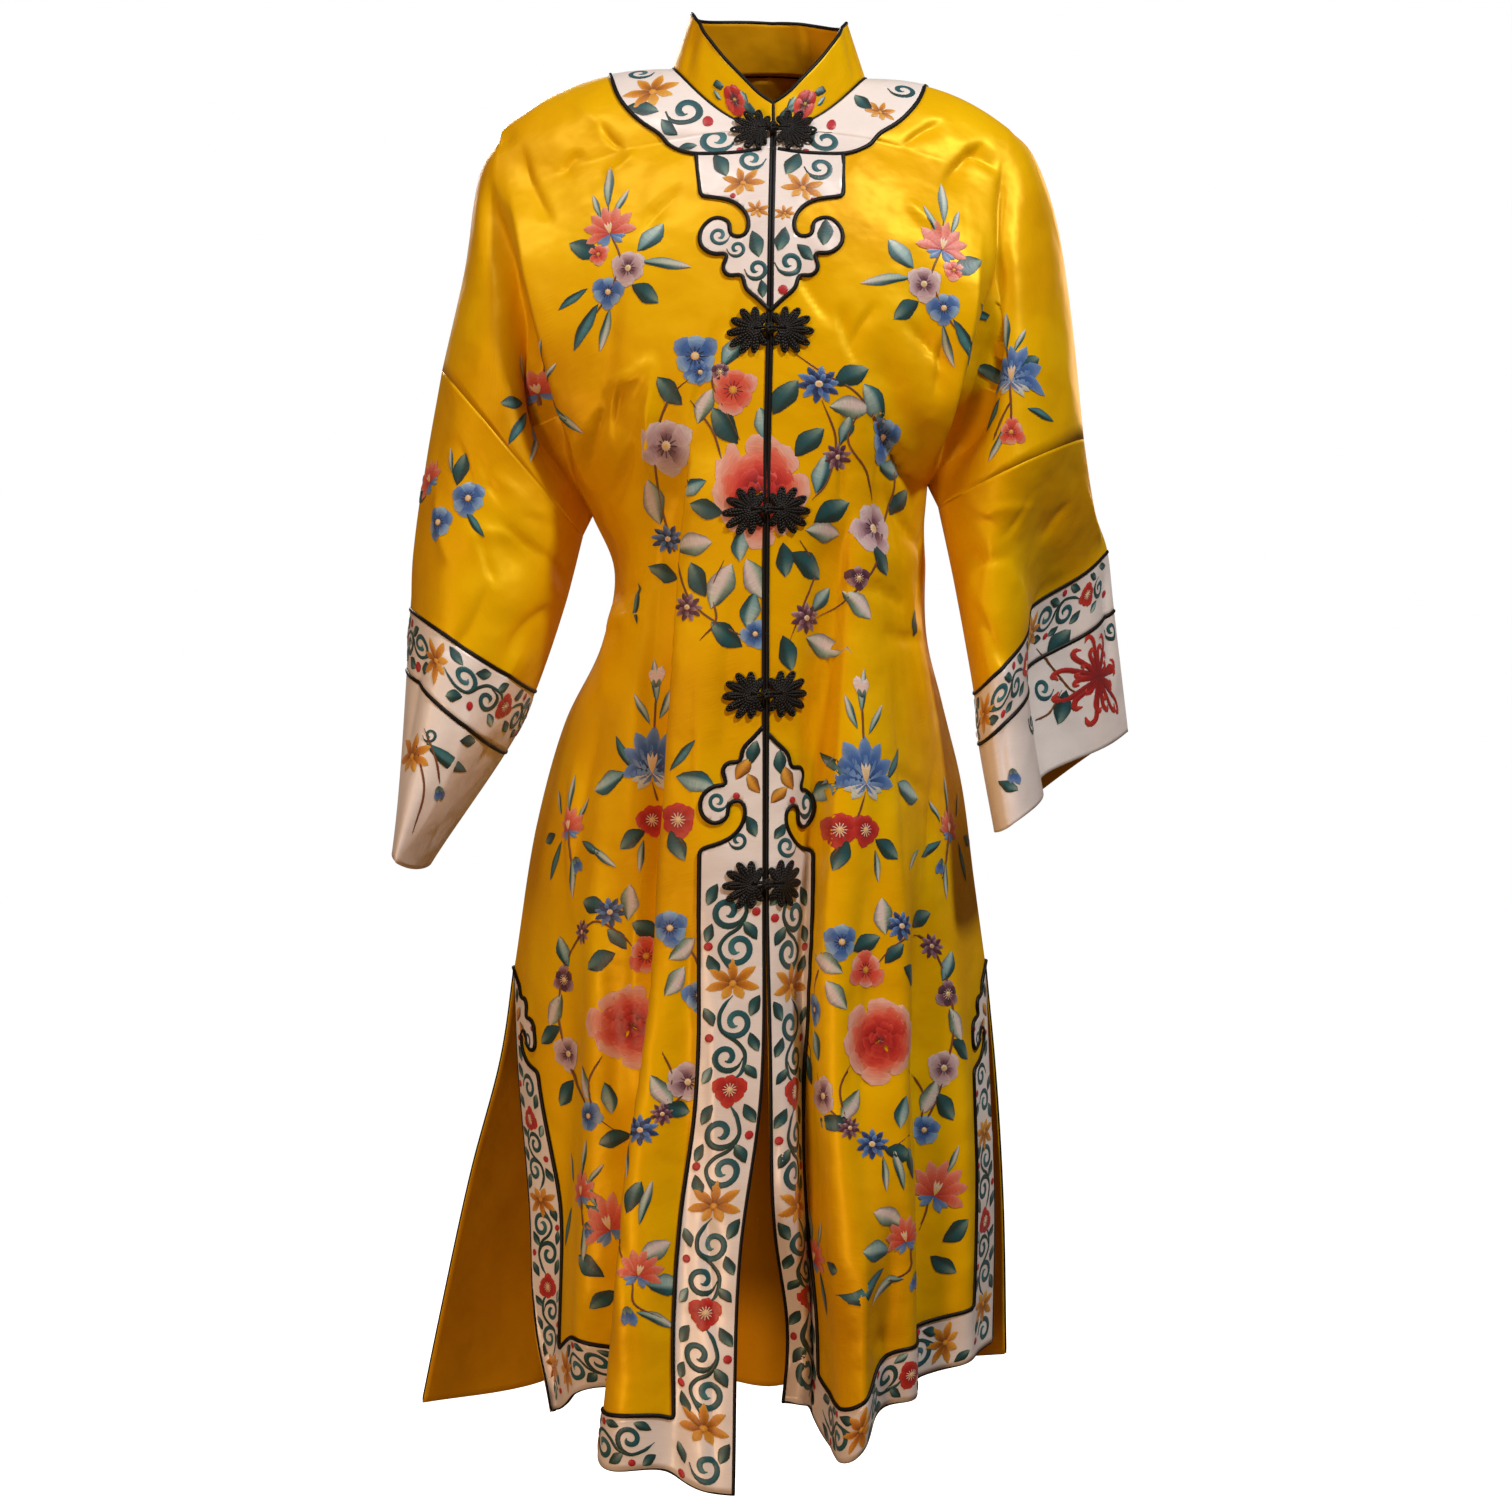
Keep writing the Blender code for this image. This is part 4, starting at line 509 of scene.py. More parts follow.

# Creases of the worn cloth: the two ends in the photograph's pixels, how far the line bows, the depth in
# millimetres, negative for a hollow, and the width in pixels. No two are alike.
CREASES = {
    "front": (
        (482, 160, 578, 515, 3, -13.0, -15),
        (502, 160, 602, 512, 3, 9.0, 20),
        (646, 398, 598, 520, -6, -4.6, 8),
        (652, 392, 622, 470, -4, 2.8, -9),
        (656, 350, 648, 500, 3, 5.0, -13),
        (658, 350, 596, 386, -8, 3.2, 9),
        (470, 150, 520, 132, 4, -2.0, 8),
        (520, 140, 560, 232, 6, -2.4, -8),
        (668, 372, 640, 486, -4, -2.2, 6),
        (560, 96, 648, 176, -6, 1.6, 16),
        (598, 524, 642, 640, 6, -2.6, 7),
        (618, 548, 604, 716, 4, 2.0, 9),
        (662, 500, 640, 770, 5, -3.0, 9),
        (604, 690, 572, 905, 5, -3.2, 12),
        (574, 742, 548, 958, -4, 3.0, 12),
        (642, 830, 618, 1130, 6, 2.6, 12),
        (604, 930, 588, 1250, -6, -3.2, 13),
        (656, 1060, 640, 1400, 4, 2.6, 9),
        (592, 1180, 584, 1420, 3, 4.2, 12),
        (566, 1060, 560, 1330, -4, -2.6, 11),
        (720, 312, 690, 440, 4, -2.4, 6),
        (740, 290, 726, 380, 2, -1.4, 6),
        (736, 590, 726, 770, 3, -1.4, 9),
        (704, 640, 700, 830, -2, 1.4, 7),
        (722, 960, 716, 1200, 4, 1.6, 12),
        (708, 1180, 722, 1370, 5, -2.6, 11),
        (712, 1350, 716, 1500, 2, -2.4, 10),
        (1004, 150, 1008, 320, 3, -6.0, 9),
        (1006, 240, 934, 500, -8, -12.0, 14),
        (984, 220, 914, 500, -8, 8.0, -18),
        (610, 398, 592, 470, 4, -3.0, 6),
        (580, 420, 596, 500, 3, 2.5, 6),
        (625, 376, 612, 440, 2, -2.5, 5),
        (598, 118, 628, 152, 5, -2.5, 6),
        (585, 150, 560, 178, 4, -2.0, 6),
        (640, 150, 600, 175, -4, 2.2, 7),
        (948, 120, 900, 150, 5, -2.4, 7),
        (990, 140, 940, 190, 5, -2.8, 8),
        (880, 300, 850, 352, 4, -2.0, 6),
        (942, 330, 930, 400, -3, -3.0, 6),
        (902, 196, 946, 232, 4, 2.0, 8),
        (866, 390, 930, 500, 6, -4.4, -8),
        (900, 320, 952, 380, -5, -3.0, 7),
        (884, 470, 926, 560, 5, -3.2, -8),
        (960, 150, 1002, 176, -4, -2.2, 8),
        (848, 392, 842, 530, 3, -3.0, 6),
        (884, 412, 878, 570, 4, -2.2, 8),
        (926, 502, 900, 646, -4, -3.0, 8),
        (902, 560, 932, 770, 6, 2.4, 10),
        (880, 640, 892, 910, -5, -2.6, 12),
        (930, 750, 948, 965, 5, -3.0, 10),
        (862, 890, 850, 1150, 4, 2.4, 12),
        (900, 990, 918, 1320, 7, -3.2, 13),
        (852, 1190, 856, 1430, 4, 4.4, 10),
        (932, 1140, 942, 1350, -4, 3.0, 12),
        (876, 1180, 892, 1390, 3, -3.0, 9),
        (796, 640, 802, 800, 2, 1.5, 8),
        (810, 980, 800, 1260, 3, -2.2, 9),
        (790, 250, 838, 330, 5, -1.6, 8),
        (900, 120, 840, 190, 6, 1.4, 14),
        (786, 1060, 782, 1330, 3, 1.5, 8),
        (612, 598, 664, 566, 4, -2.4, 6),
        (606, 630, 650, 612, -3, 2.0, 6),
        (900, 610, 850, 580, 4, -2.2, 6),
        (918, 640, 868, 628, -3, -2.4, 7),
        (590, 786, 640, 760, 4, -1.8, 8),
        (930, 800, 880, 770, 4, -1.8, 8),
        (640, 1210, 660, 1330, 3, -2.6, 7),
        (860, 1300, 900, 1360, 4, -2.6, 8),
        (556, 1240, 600, 1330, 5, -2.6, 9),
        (700, 900, 690, 1040, 3, -1.8, 8),
        (690, 182, 640, 236, 5, -2.0, 8),
        (838, 300, 862, 372, 4, -2.2, 7),
    ),
    "back": (
        (512, 190, 588, 510, 12, -10.0, -14),
        (538, 200, 606, 440, 10, 2.6, 13),
        (630, 420, 600, 530, -5, -3.0, 8),
        (664, 400, 700, 560, 6, -2.0, 9),
        (600, 540, 650, 660, 6, -2.6, 8),
        (640, 590, 622, 860, -5, 2.6, 12),
        (602, 700, 566, 980, 5, -3.2, 13),
        (690, 620, 676, 940, 6, -2.8, 12),
        (720, 800, 708, 1180, -6, 2.6, 13),
        (640, 930, 604, 1360, 6, -3.6, 13),
        (560, 1000, 520, 1380, 5, 3.0, 13),
        (672, 1080, 660, 1400, 5, 3.0, 12),
        (1000, 180, 934, 490, -14, -10.0, 14),
        (970, 196, 912, 440, -9, 2.4, 13),
        (880, 420, 926, 510, 5, -3.0, 8),
        (838, 400, 810, 560, -5, -2.0, 9),
        (926, 520, 880, 650, -5, -2.6, 8),
        (870, 610, 900, 860, 5, 2.6, 12),
        (930, 740, 960, 980, -5, -3.0, 12),
        (840, 620, 846, 950, 6, -2.8, 12),
        (806, 820, 812, 1200, 6, 2.6, 13),
        (890, 960, 930, 1320, -6, -3.6, 13),
        (960, 1010, 980, 1330, 4, 3.0, 12),
        (862, 1100, 870, 1400, 5, 3.0, 12),
        (740, 300, 780, 420, 6, -1.6, 12),
        (610, 250, 680, 330, 7, -2.6, 9),
        (924, 262, 858, 350, -7, -2.4, 9),
        (700, 470, 740, 560, -5, -2.2, 9),
        (800, 500, 770, 600, 5, -2.4, 9),
    ),
}

# Creases of the lower sleeves, in millimetres on the cloth: round from the overarm, with the underarm at
# 150, and down from the mid-arm seam, with the cuff's edge at 360.
SLEEVE_CREASES = {
    "right": (
        (142, 4, 92, 52, 8, -2.4, 6),
        (140, 34, 76, 66, -10, -1.6, 6),
        (122, 20, 60, 44, 6, 1.4, 8),
        (60, 20, 84, 58, 4, -2.2, 5),
        (44, 32, 66, 72, -3, -1.8, -5),
        (70, 84, 92, 122, 4, -1.8, 5),
        (38, 84, 56, 134, 3, 1.8, 6),
        (84, 36, 66, 62, 3, -1.6, 4),
        (24, 12, 40, 30, 2, -1.6, 5),
        (146, 84, 104, 170, 10, -2.0, 7),
        (104, 60, 58, 120, 6, 1.4, 8),
        (84, 110, 60, 210, -6, -2.4, 9),
        (30, 40, 22, 190, 5, 2.0, 10),
        (120, 130, 108, 240, 5, 2.2, 9),
        (52, 190, 44, 330, 5, -2.4, 9),
        (90, 240, 96, 350, -4, 2.0, 9),
        (124, 250, 130, 350, 4, -2.0, 8),
        (164, 10, 220, 70, -8, -3.2, 8),
        (168, 50, 236, 110, 8, -2.8, 8),
        (190, 110, 210, 230, 6, 2.4, 10),
        (250, 60, 262, 210, -6, -2.6, 10),
        (230, 220, 222, 345, 5, 2.0, 9),
        (270, 180, 276, 330, 4, -2.0, 9),
    ),
    "left": (
        (140, 6, 96, 60, 8, -2.8, 6),
        (138, 40, 84, 96, -10, -1.8, -6),
        (118, 26, 66, 60, 6, 2.2, 8),
        (140, 96, 108, 190, 8, -2.0, 7),
        (70, 30, 96, 74, 5, -1.8, 5),
        (40, 60, 62, 110, -4, -1.6, 6),
        (60, 150, 84, 214, 4, -1.6, -6),
        (96, 90, 84, 190, 5, 2.2, 9),
        (26, 30, 20, 170, 5, 2.0, 10),
        (118, 150, 110, 260, 5, 2.0, 8),
        (24, 200, 30, 340, 5, -2.2, 8),
        (112, 260, 116, 350, -4, -1.8, 7),
        (166, 12, 222, 78, -8, -3.2, 8),
        (170, 56, 234, 120, 8, -2.6, 8),
        (196, 120, 208, 240, 6, 2.2, 10),
        (252, 70, 258, 220, -6, -2.4, 10),
        (226, 230, 232, 345, 5, 2.0, 9),
    ),
}


def smooth_step(x):
    """An even rise from 0 to 1 with level ends."""
    x = np.clip(x, 0, 1)
    return x * x * (3 - 2 * x)


def unit(vectors):
    """The same directions with length 1."""
    return vectors / np.maximum(np.linalg.norm(vectors, axis=-1, keepdims=True), 1e-12)


def neck_line(angle, face, side):
    """The seam between collar and body: angle 0 is the middle of the front or back and 90 degrees the
    shoulder. The neck hangs a little lower on the wearer's left. Gives the share of the half width, y
    and z."""
    sine = np.sin(angle)
    cosine = np.cos(angle)
    if face == "front":
        reach, rise = -NECK_FRONT_REACH, -NECK_FRONT_DROP
    else:
        reach, rise = NECK_BACK_REACH, NECK_BACK_RISE
    tilt = np.where(np.asarray(side) > 0, NECK_TILT, 0) * sine**2
    return sine, reach * cosine, rise * cosine**2 - tilt


def inner_edge(side, face, place):
    """The neckline from the shoulder to its middle, then the middle edge of the front or back down to
    the hem."""
    sign = SIDES[side]
    middle = MIDDLES["back"] if face == "back" else MIDDLES[side, face]
    start = middle["place"][0]
    angle = (1 - np.clip(place / start, 0, 1)) * math.pi / 2
    sine, neck_y, neck_z = neck_line(angle, face, sign)
    middle_x = middle["x"][0]
    neck_x = middle_x + (sign * NECK_HALF_WIDTH - middle_x) * sine
    on_neck = place <= start
    return np.stack(
        [
            np.where(on_neck, neck_x, read(middle, "x", place)),
            np.where(on_neck, neck_y, read(middle, "y", place)),
            np.where(on_neck, neck_z, read(middle, "z", place)),
        ],
        axis=-1,
    )


def outer_edge(side, face, place):
    """The armhole down to the underarm, then the side seam, then the slit's own edge."""
    armhole, seam, slit = ARMHOLES[side, face], SEAMS[side], SLITS[side, face]

    def along(column):
        """One column of the three tables, read one after the other."""
        upper = np.where(place <= ARMPIT, read(armhole, column, place), read(seam, column, place))
        return np.where(place <= slit["place"][0], upper, read(slit, column, place))

    return np.stack([SIDES[side] * along("out"), along("y"), along("z")], axis=-1)


def body_surface(side, face, across, place):
    """Each row runs from the middle edge (across 0) to the side (across 1) as part of an ellipse, which
    turns further round the lower it lies: straight along the shoulder line and a full quarter at the
    underarm."""
    inner = inner_edge(side, face, place)
    outer = outer_edge(side, face, place)
    turn = np.radians(read(TURN, "degrees", place))
    drop = read(TURN, "drop", place)
    along = np.sin(across * turn) / np.sin(turn)
    depth = ((1 - np.cos(across * turn)) / (1 - np.cos(turn))) ** 1.12
    x = inner[..., 0] + (outer[..., 0] - inner[..., 0]) * along
    y = inner[..., 1] + (outer[..., 1] - inner[..., 1]) * depth
    z = inner[..., 2] + (outer[..., 2] - inner[..., 2]) * across**drop
    return np.stack([x, y, z], axis=-1)


def ring_point(side, around, ring):
    """A ring of the lower sleeve: around 0 is the overarm, 1 the underarm and 2 the overarm again,
    over the back."""
    rows = RINGS[side]
    sign = SIDES[side]
    ends = []
    for end in ("over", "under"):
        out = sign * read(rows, end + "_out", ring)
        ends.append(np.stack([out, read(rows, end + "_y", ring), read(rows, end + "_z", ring)], -1))
    over, under = ends
    front = around <= 1
    part = np.where(front, around, 2 - around)
    share = (1 - np.cos(math.pi * part)) / 2
    lean = read(rows, "lean", ring)
    bulge = np.where(
        front,
        -read(rows, "front", ring) * np.sin(math.pi * part**lean),
        read(rows, "back", ring) * np.sin(math.pi * part),
    )
    point = over + (under - over) * share[..., None]
    point[..., 1] += bulge
    return point


def cap_surface(side, face, along, place):
    """The upper sleeve, cut in one with the panel: it blends the armhole edge into the ring at the
    mid-arm seam, pulled out along the overarm fold."""
    armhole = outer_edge(side, face, place)
    around = np.clip(place, 0, 1)
    ring = ring_point(side, around if face == "front" else 2 - around, np.zeros_like(around))
    rows = OVERARM[side]
    out = SIDES[side] * read(rows, "out", along)
    over = np.stack([out, read(rows, "y", along), read(rows, "z", along)], -1)
    start = outer_edge(side, face, np.zeros_like(place))
    end = ring_point(side, np.zeros_like(around), np.zeros_like(around))
    pull = over - (start + (end - start) * along[..., None])
    return armhole + (ring - armhole) * along[..., None] + pull * ((1 - around) ** 1.5)[..., None]


def panel_surface(side, face, column, place):
    """column 0 to 1 is the body from the middle to the side, and 1 to 2 the upper sleeve."""
    on_body = body_surface(side, face, np.clip(column, 0, 1), place)
    on_cap = cap_surface(side, face, np.clip(column - 1, 0, 1), place)
    return np.where((column <= 1)[..., None], on_body, on_cap)


def grid_normals(points, wraps=False):
    """The direction square to both grid directions at each point, pointing whichever way the grid turns."""
    if wraps:
        around = np.roll(points, -1, axis=1) - np.roll(points, 1, axis=1)
    else:
        around = np.gradient(points, axis=1)
    return unit(np.cross(around, np.gradient(points, axis=0)))


def seen(points, face="front"):
    """Where the camera of the photograph sees each point, in its pixels; the back is seen from behind,
    turned so that the wearer's right is on the left as in the front view."""
    points = np.asarray(points, float)
    depth = CAMERA_DISTANCE + points[..., 1] * (1 if face == "front" else -1)
    across = PHOTO_MIDDLE + (points[..., 0] - CAMERA_X) * PHOTO_FOCUS / depth
    down = PHOTO_MIDDLE - (points[..., 2] - CAMERA_Z) * PHOTO_FOCUS / depth
    return np.stack([across, down], axis=-1)


def crease_offsets(rows, across, down):
    """The depth of every listed crease at each place: a bell across the line, steeper on one side, bowed
    from one end to the other, that fades out over the last third towards each end. A negative width
    turns the steep side round."""
    total = np.zeros(across.shape)
    for x1, y1, x2, y2, bow, depth, width in rows:
        length = math.hypot(x2 - x1, y2 - y1)
        ahead = ((across - x1) * (x2 - x1) + (down - y1) * (y2 - y1)) / length**2
        aside = ((down - y1) * (x2 - x1) - (across - x1) * (y2 - y1)) / length
        aside = aside - bow * 4 * ahead * (1 - ahead)
        fade = smooth_step(ahead / 0.35) * smooth_step((1 - ahead) / 0.35)
        steep = np.where(aside * width > 0, 2.0, 0.8)
        total += CREASE_DEPTH * depth / 1000 * fade * np.exp(-(np.abs(steep * aside / width) ** 1.35))
    return total


def fold_offsets(face, points):
    """How far the long folds push each point out, and how far a knife fold's lip slides over what it
    covers."""
    x = points[..., 0]
    z = points[..., 2]
    total = np.zeros(x.shape)
    slide = np.zeros(x.shape)
    for row in (*FOLDS[face].values(), *DRAPES[face]):
        fold = dict(zip(FOLD_COLUMNS.split(), row))
        heights = np.array([fold["z3"], fold["z2"], fold["z1"]])
        line = np.interp(z, heights, [fold["x3"], fold["x2"], fold["x1"]])
        length = fold["z1"] - fold["z3"]
        fade = smooth_step((fold["z1"] - z) / (0.45 * length))
        if fold["reach"]:
            fade = 0.45 * smooth_step((fold["z1"] - z) / 0.04) + 0.55 * fade
        if fold["z3"] > -0.85:
            fade = fade * smooth_step((z - fold["z3"]) / (0.45 * length))
        away = x - line
        if fold["reach"]:
            way = np.sign(fold["reach"])
            towards = away / fold["reach"]
            rise = smooth_step(0.5 + away * way / (2 * LIP_WIDTH))
            shape = rise * np.exp(-np.clip(towards, 0, None) ** 2)
            slide -= way * LIP_SLIDE * fade * rise * np.exp(-((away / 0.012) ** 2))
            total -= LIP_HOLLOW * fade * np.exp(-(((away * way + 0.010) / 0.013) ** 2))
        else:
            shape = np.exp(-((away / fold["width"]) ** 2))
        total += fold["offset"] * fade * shape
    return total, slide


def hem_drop(side, face, column, place, x):
    """How far the waves of the lower edge lower each point, growing over the last stretch above the hem."""
    grow = smooth_step((place - 1.6) / (HEM - 1.6))
    total = np.zeros(x.shape)
    for middle, width, drop in HEM_WAVES[side, face]:
        total += drop * np.exp(-(((x - middle) / width) ** 2))
    return np.where(column <= 1, total * grow, 0)


def away_from_seams(column, place):
    """1 in the open cloth and 0 on the seams that two pieces share, so that a crease never pulls them
    apart."""
    on_cap = smooth_step((2 - column) / 0.15) * smooth_step((ARMPIT - place) / 0.08)
    on_body = np.where(place > ARMPIT, smooth_step((1 - column) / 0.05), 1)
    near_arm = np.where(place > ARMPIT - 0.08, smooth_step((1 - column) / 0.05 + (ARMPIT - place) / 0.08), 1)
    return smooth_step(place / 0.07) * np.where(column > 1, on_cap, on_body * near_arm)


def folded_panel(side, face, columns, places):
    """The panel's outer face with its folds and creases, and the normals that point away from the body."""
    column, place = np.meshgrid(columns, places)
    base = panel_surface(side, face, column, place)
    outward = -SIDES[side] * (1 if face == "front" else -1)
    normals = grid_normals(base) * outward
    fold, slide = fold_offsets(face, base)
    view = seen(base, face)
    crease = crease_offsets(CREASES[face], view[..., 0], view[..., 1]) * away_from_seams(column, place)
    points = base + normals * (fold * (column <= 1) + crease)[..., None]
    points[..., 0] += slide * (column <= 1)
    points[..., 2] -= hem_drop(side, face, column, place, base[..., 0])
    if (side, face) in TURNED_EDGES:
        points += turned_edge(TURNED_EDGES[side, face], column, place)
    return points, grid_normals(points) * outward


def turned_edge(turn, column, place):
    """The free edge of a front that turns back near the hem: it moves along x and y by a bell down the edge
    that dies away within the strip."""
    share = smooth_step(1 - column / turn["columns"]) ** 1.5
    bell = np.exp(-(((place - turn["place"]) / turn["length"]) ** 2))
    return (share * bell)[..., None] * np.array([turn["x"], turn["y"], 0.0])


def sleeve_grid(side, arounds, rings):
    """The lower sleeve between two rings, with its folds and creases, and its outward normals."""
    around, ring = np.meshgrid(arounds, rings)
    points = ring_point(side, around, ring)
    normals = grid_normals(points, wraps=True) * SIDES[side]
    offset = np.zeros(around.shape)
    for row in SLEEVE_FOLDS[side].values():
        fold = dict(zip(SLEEVE_FOLD_COLUMNS.split(), row))
        away = (around - fold["round_at"]) / fold["round_width"]
        along = (ring - fold["ring_at"]) / fold["ring_width"]
        offset += fold["offset"] * np.exp(-(away**2) - along**2)
    creases = crease_offsets(SLEEVE_CREASES[side], around * HALF_ROUND, ring * RING_STEP)
    points = points + normals * ((offset + creases) * smooth_step(ring))[..., None]
    return points, grid_normals(points, wraps=True) * SIDES[side]


def lay_on(points, normals, flat):
    """Takes places given as column, row and height over the cloth to points: inside each triangle of the
    grid the map is straight, so a piece never dips into the cloth that it lies on."""
    rows, columns = points.shape[:2]
    column = np.clip(flat[:, 0], 0, columns - 1 - 1e-9)
    row = np.clip(flat[:, 1], 0, rows - 1 - 1e-9)
    j = column.astype(int)
    i = row.astype(int)
    f = (column - j)[:, None]
    g = (row - i)[:, None]

    def blend(grid):
        """The grid's value at each place."""
        a, b = grid[i, j], grid[i, j + 1]
        d, c = grid[i + 1, j], grid[i + 1, j + 1]
        return (a * (1 - f) + b * f) * (1 - g) + (d * (1 - f) + c * f) * g

    return blend(points) + blend(normals) * flat[:, 2:3]


def running(points, axis):
    """Lengths along the grid's rows or columns, from 0."""
    steps = np.linalg.norm(np.diff(points, axis=axis), axis=-1)
    start = np.zeros_like(np.take(steps, [0], axis=axis))
    return np.concatenate([start, np.cumsum(steps, axis=axis)], axis=axis)


class Panel:
    """One front, or one half of the back: its fine grid, its normals and the ways to find a place on it.
    Places are column and row, counted on the grid, with parts of a step."""

    def __init__(self, side, face):
        self.sign = SIDES[side]
        self.width = BODY_COLUMNS[face]
        above = np.linspace(0, ARMPIT, ROWS_ABOVE + 1)
        self.places = np.concatenate([above, np.linspace(ARMPIT, HEM, ROWS_BELOW + 1)[1:]])
        body = np.linspace(0, 1, self.width + 1) ** SIDE_CROWDING
        self.columns = np.concatenate([body, 1 + np.arange(1, CAP_COLUMNS + 1) / CAP_COLUMNS])
        self.points, self.normals = folded_panel(side, face, self.columns, self.places)
        self.shape = self.points.shape[:2]
        self.last_row = len(self.places) - 1
        self.across = running(self.points, 1)
        self.down = running(self.points, 0)

    def cells(self):
        """The body's cells, and those of the upper sleeve above the underarm."""
        used = np.ones((len(self.places) - 1, len(self.columns) - 1), bool)
        used[ROWS_ABOVE:, self.width :] = False
        return used

    def row_at(self, height, column, start=NECK_ROWS):
        """The row that crosses the middle edge or the side edge at the height z."""
        heights = self.points[start:, column, 2]
        return start + np.interp(-np.asarray(height), -heights, range(len(heights)))

    def lengths_at(self, row):
        """How far each column lies from the middle edge along a row, in metres."""
        row = np.atleast_1d(np.asarray(row, float))
        low = np.clip(row.astype(int), 0, self.last_row - 1)
        part = np.clip(row - low, 0, 1)[:, None]
        body = self.across[:, : self.width + 1]
        return body[low] * (1 - part) + body[low + 1] * part

    def from_middle(self, out, row):
        """The column at the distance out from the middle edge, measured along the cloth."""
        return count_in(self.lengths_at(row), out)

    def from_side(self, out, row):
        """The column at the distance in from the side edge."""
        lengths = self.lengths_at(row)
        return count_in(lengths, lengths[:, -1] - out)

    def above_hem(self, up, column):
        """The row at the distance up from the hem, measured along the cloth."""
        column = np.atleast_1d(np.asarray(column, float))
        low = np.clip(column.astype(int), 0, self.width - 1)
        part = np.clip(column - low, 0, 1)[:, None]
        lengths = self.down.T[low] * (1 - part) + self.down.T[low + 1] * part
        return count_in(lengths, lengths[:, -1] - up)

    def find(self, out, height):
        """The column and row of the place that the front view shows at this distance from the middle plane
        and at this height: the nearest of many places tried, then of many more round it."""
        tries = 61
        column, row, reach_across, reach_down = self.width / 2, 40.0, self.width / 2, 40.0
        for _ in range(3):
            columns = np.linspace(column - reach_across, column + reach_across, tries)
            rows = np.linspace(row - reach_down, row + reach_down, tries)
            grids = np.meshgrid(np.clip(columns, 0, self.width), np.clip(rows, 0, self.last_row))
            tried = np.stack([grid.ravel() for grid in grids] + [np.zeros(tries * tries)], axis=1)
            places = self.lay(tried)
            apart = (np.abs(places[:, 0]) - out) ** 2 + (places[:, 2] - height) ** 2
            column, row = tried[int(apart.argmin()), :2]
            reach_across, reach_down = reach_across / 15, reach_down / 15
        return float(column), float(row)

    def place(self, out, height):
        """The column and row at the distance out from the middle edge, level with the height z of that
        edge."""
        rows = self.row_at(height, 0)
        return self.from_middle(out, rows), rows

    def lay(self, flat):
        """Points on the cloth for places given as column, row and height over it."""
        return lay_on(self.points, self.normals, flat)


def count_in(lengths, wanted):
    """The step, with its part, at which each row of growing lengths reaches the wanted length."""
    wanted = np.broadcast_to(np.asarray(wanted, float), (len(lengths),))
    step = np.clip((lengths < wanted[:, None]).sum(axis=1) - 1, 0, lengths.shape[1] - 2)
    each = np.arange(len(lengths))
    low, high = lengths[each, step], lengths[each, step + 1]
    return step + np.clip((wanted - low) / np.maximum(high - low, 1e-9), 0, 1)


class Sleeve:
    """The lower sleeve, its band and its cuff as one tube, cut into pieces at its rings."""

    def __init__(self, side):
        self.rings = np.concatenate(
            [np.linspace(first, last, count, endpoint=False) for first, last, count in SLEEVE_STEPS.values()]
            + [[CUFF_EDGE]]
        )
        arounds = np.arange(2 * ROWS_ABOVE + 1) / ROWS_ABOVE
        points, normals = sleeve_grid(side, arounds[:-1], self.rings)
        self.points = np.concatenate([points, points[:, :1]], axis=1)
        self.normals = np.concatenate([normals, normals[:, :1]], axis=1)
        self.across = running(self.points, 1)
        self.down = running(self.points, 0)

    def rows_of(self, name):
        """The rows of the sleeve, its band or its cuff."""
        ends = np.array(SLEEVE_STEPS[name][:2]) - 1e-9
        first, last = np.searchsorted(self.rings, ends)
        return slice(int(first), int(last) + 1)

    def row_at(self, ring):
        """The row, with its part, of a ring."""
        return np.interp(ring, self.rings, range(len(self.rings)))

    def lay(self, flat):
        """Points on the tube, with columns counted on past the overarm."""
        wrapped = flat.copy()
        wrapped[:, 0] = np.mod(wrapped[:, 0], self.points.shape[1] - 1)
        return lay_on(self.points, self.normals, wrapped)


class Back:
    """The two halves of the back, counted as one grid from the wearer's right cuff seam over the middle to
    the left. Below the neckline the halves share their middle column."""

    def __init__(self, right, left):
        self.halves = {"right": right, "left": left}
        self.middle = len(right.columns) - 1
        self.shape = (len(right.places), 2 * self.middle + 1)

    def counted(self, side, column):
        """The column of the whole back for one counted from the middle of a half."""
        return self.middle + SIDES[side] * np.asarray(column)

    def lay(self, flat):
        """Points on the half where each column lies."""
        right, left = self.halves["right"], self.halves["left"]
        on_left = lay_on(left.points, left.normals, flat - [self.middle, 0, 0])
        on_right = lay_on(right.points[:, ::-1], right.normals[:, ::-1], flat)
        return np.where(flat[:, :1] >= self.middle, on_left, on_right)


@functools.cache
def cloth():
    """The fine grids of the whole robe, worked out once."""
    grids = {(side, face): Panel(side, face) for side in SIDES for face in FACES}
    grids["back"] = Back(grids["right", "back"], grids["left", "back"])
    for side in SIDES:
        grids[side, "sleeve"] = Sleeve(side)
    return grids


# Lines and outlines on a panel, as arrays of column and row


def pairs(columns, rows):
    """Columns and rows as one array with a place in each row."""
    return np.stack(np.broadcast_arrays(columns, rows), axis=1).astype(float)


def between(start, end, count):
    """Even steps from start to just before end."""
    return np.linspace(start, end, count, endpoint=False)


def cloud_head(count=90):
    """Distances out and down along the smooth outline of half a cloud head, from its tip."""
    at = np.linspace(CLOUD_HEAD["point"][0], CLOUD_HEAD["point"][-1], count)
    return read(CLOUD_HEAD, "out", at), read(CLOUD_HEAD, "down", at)


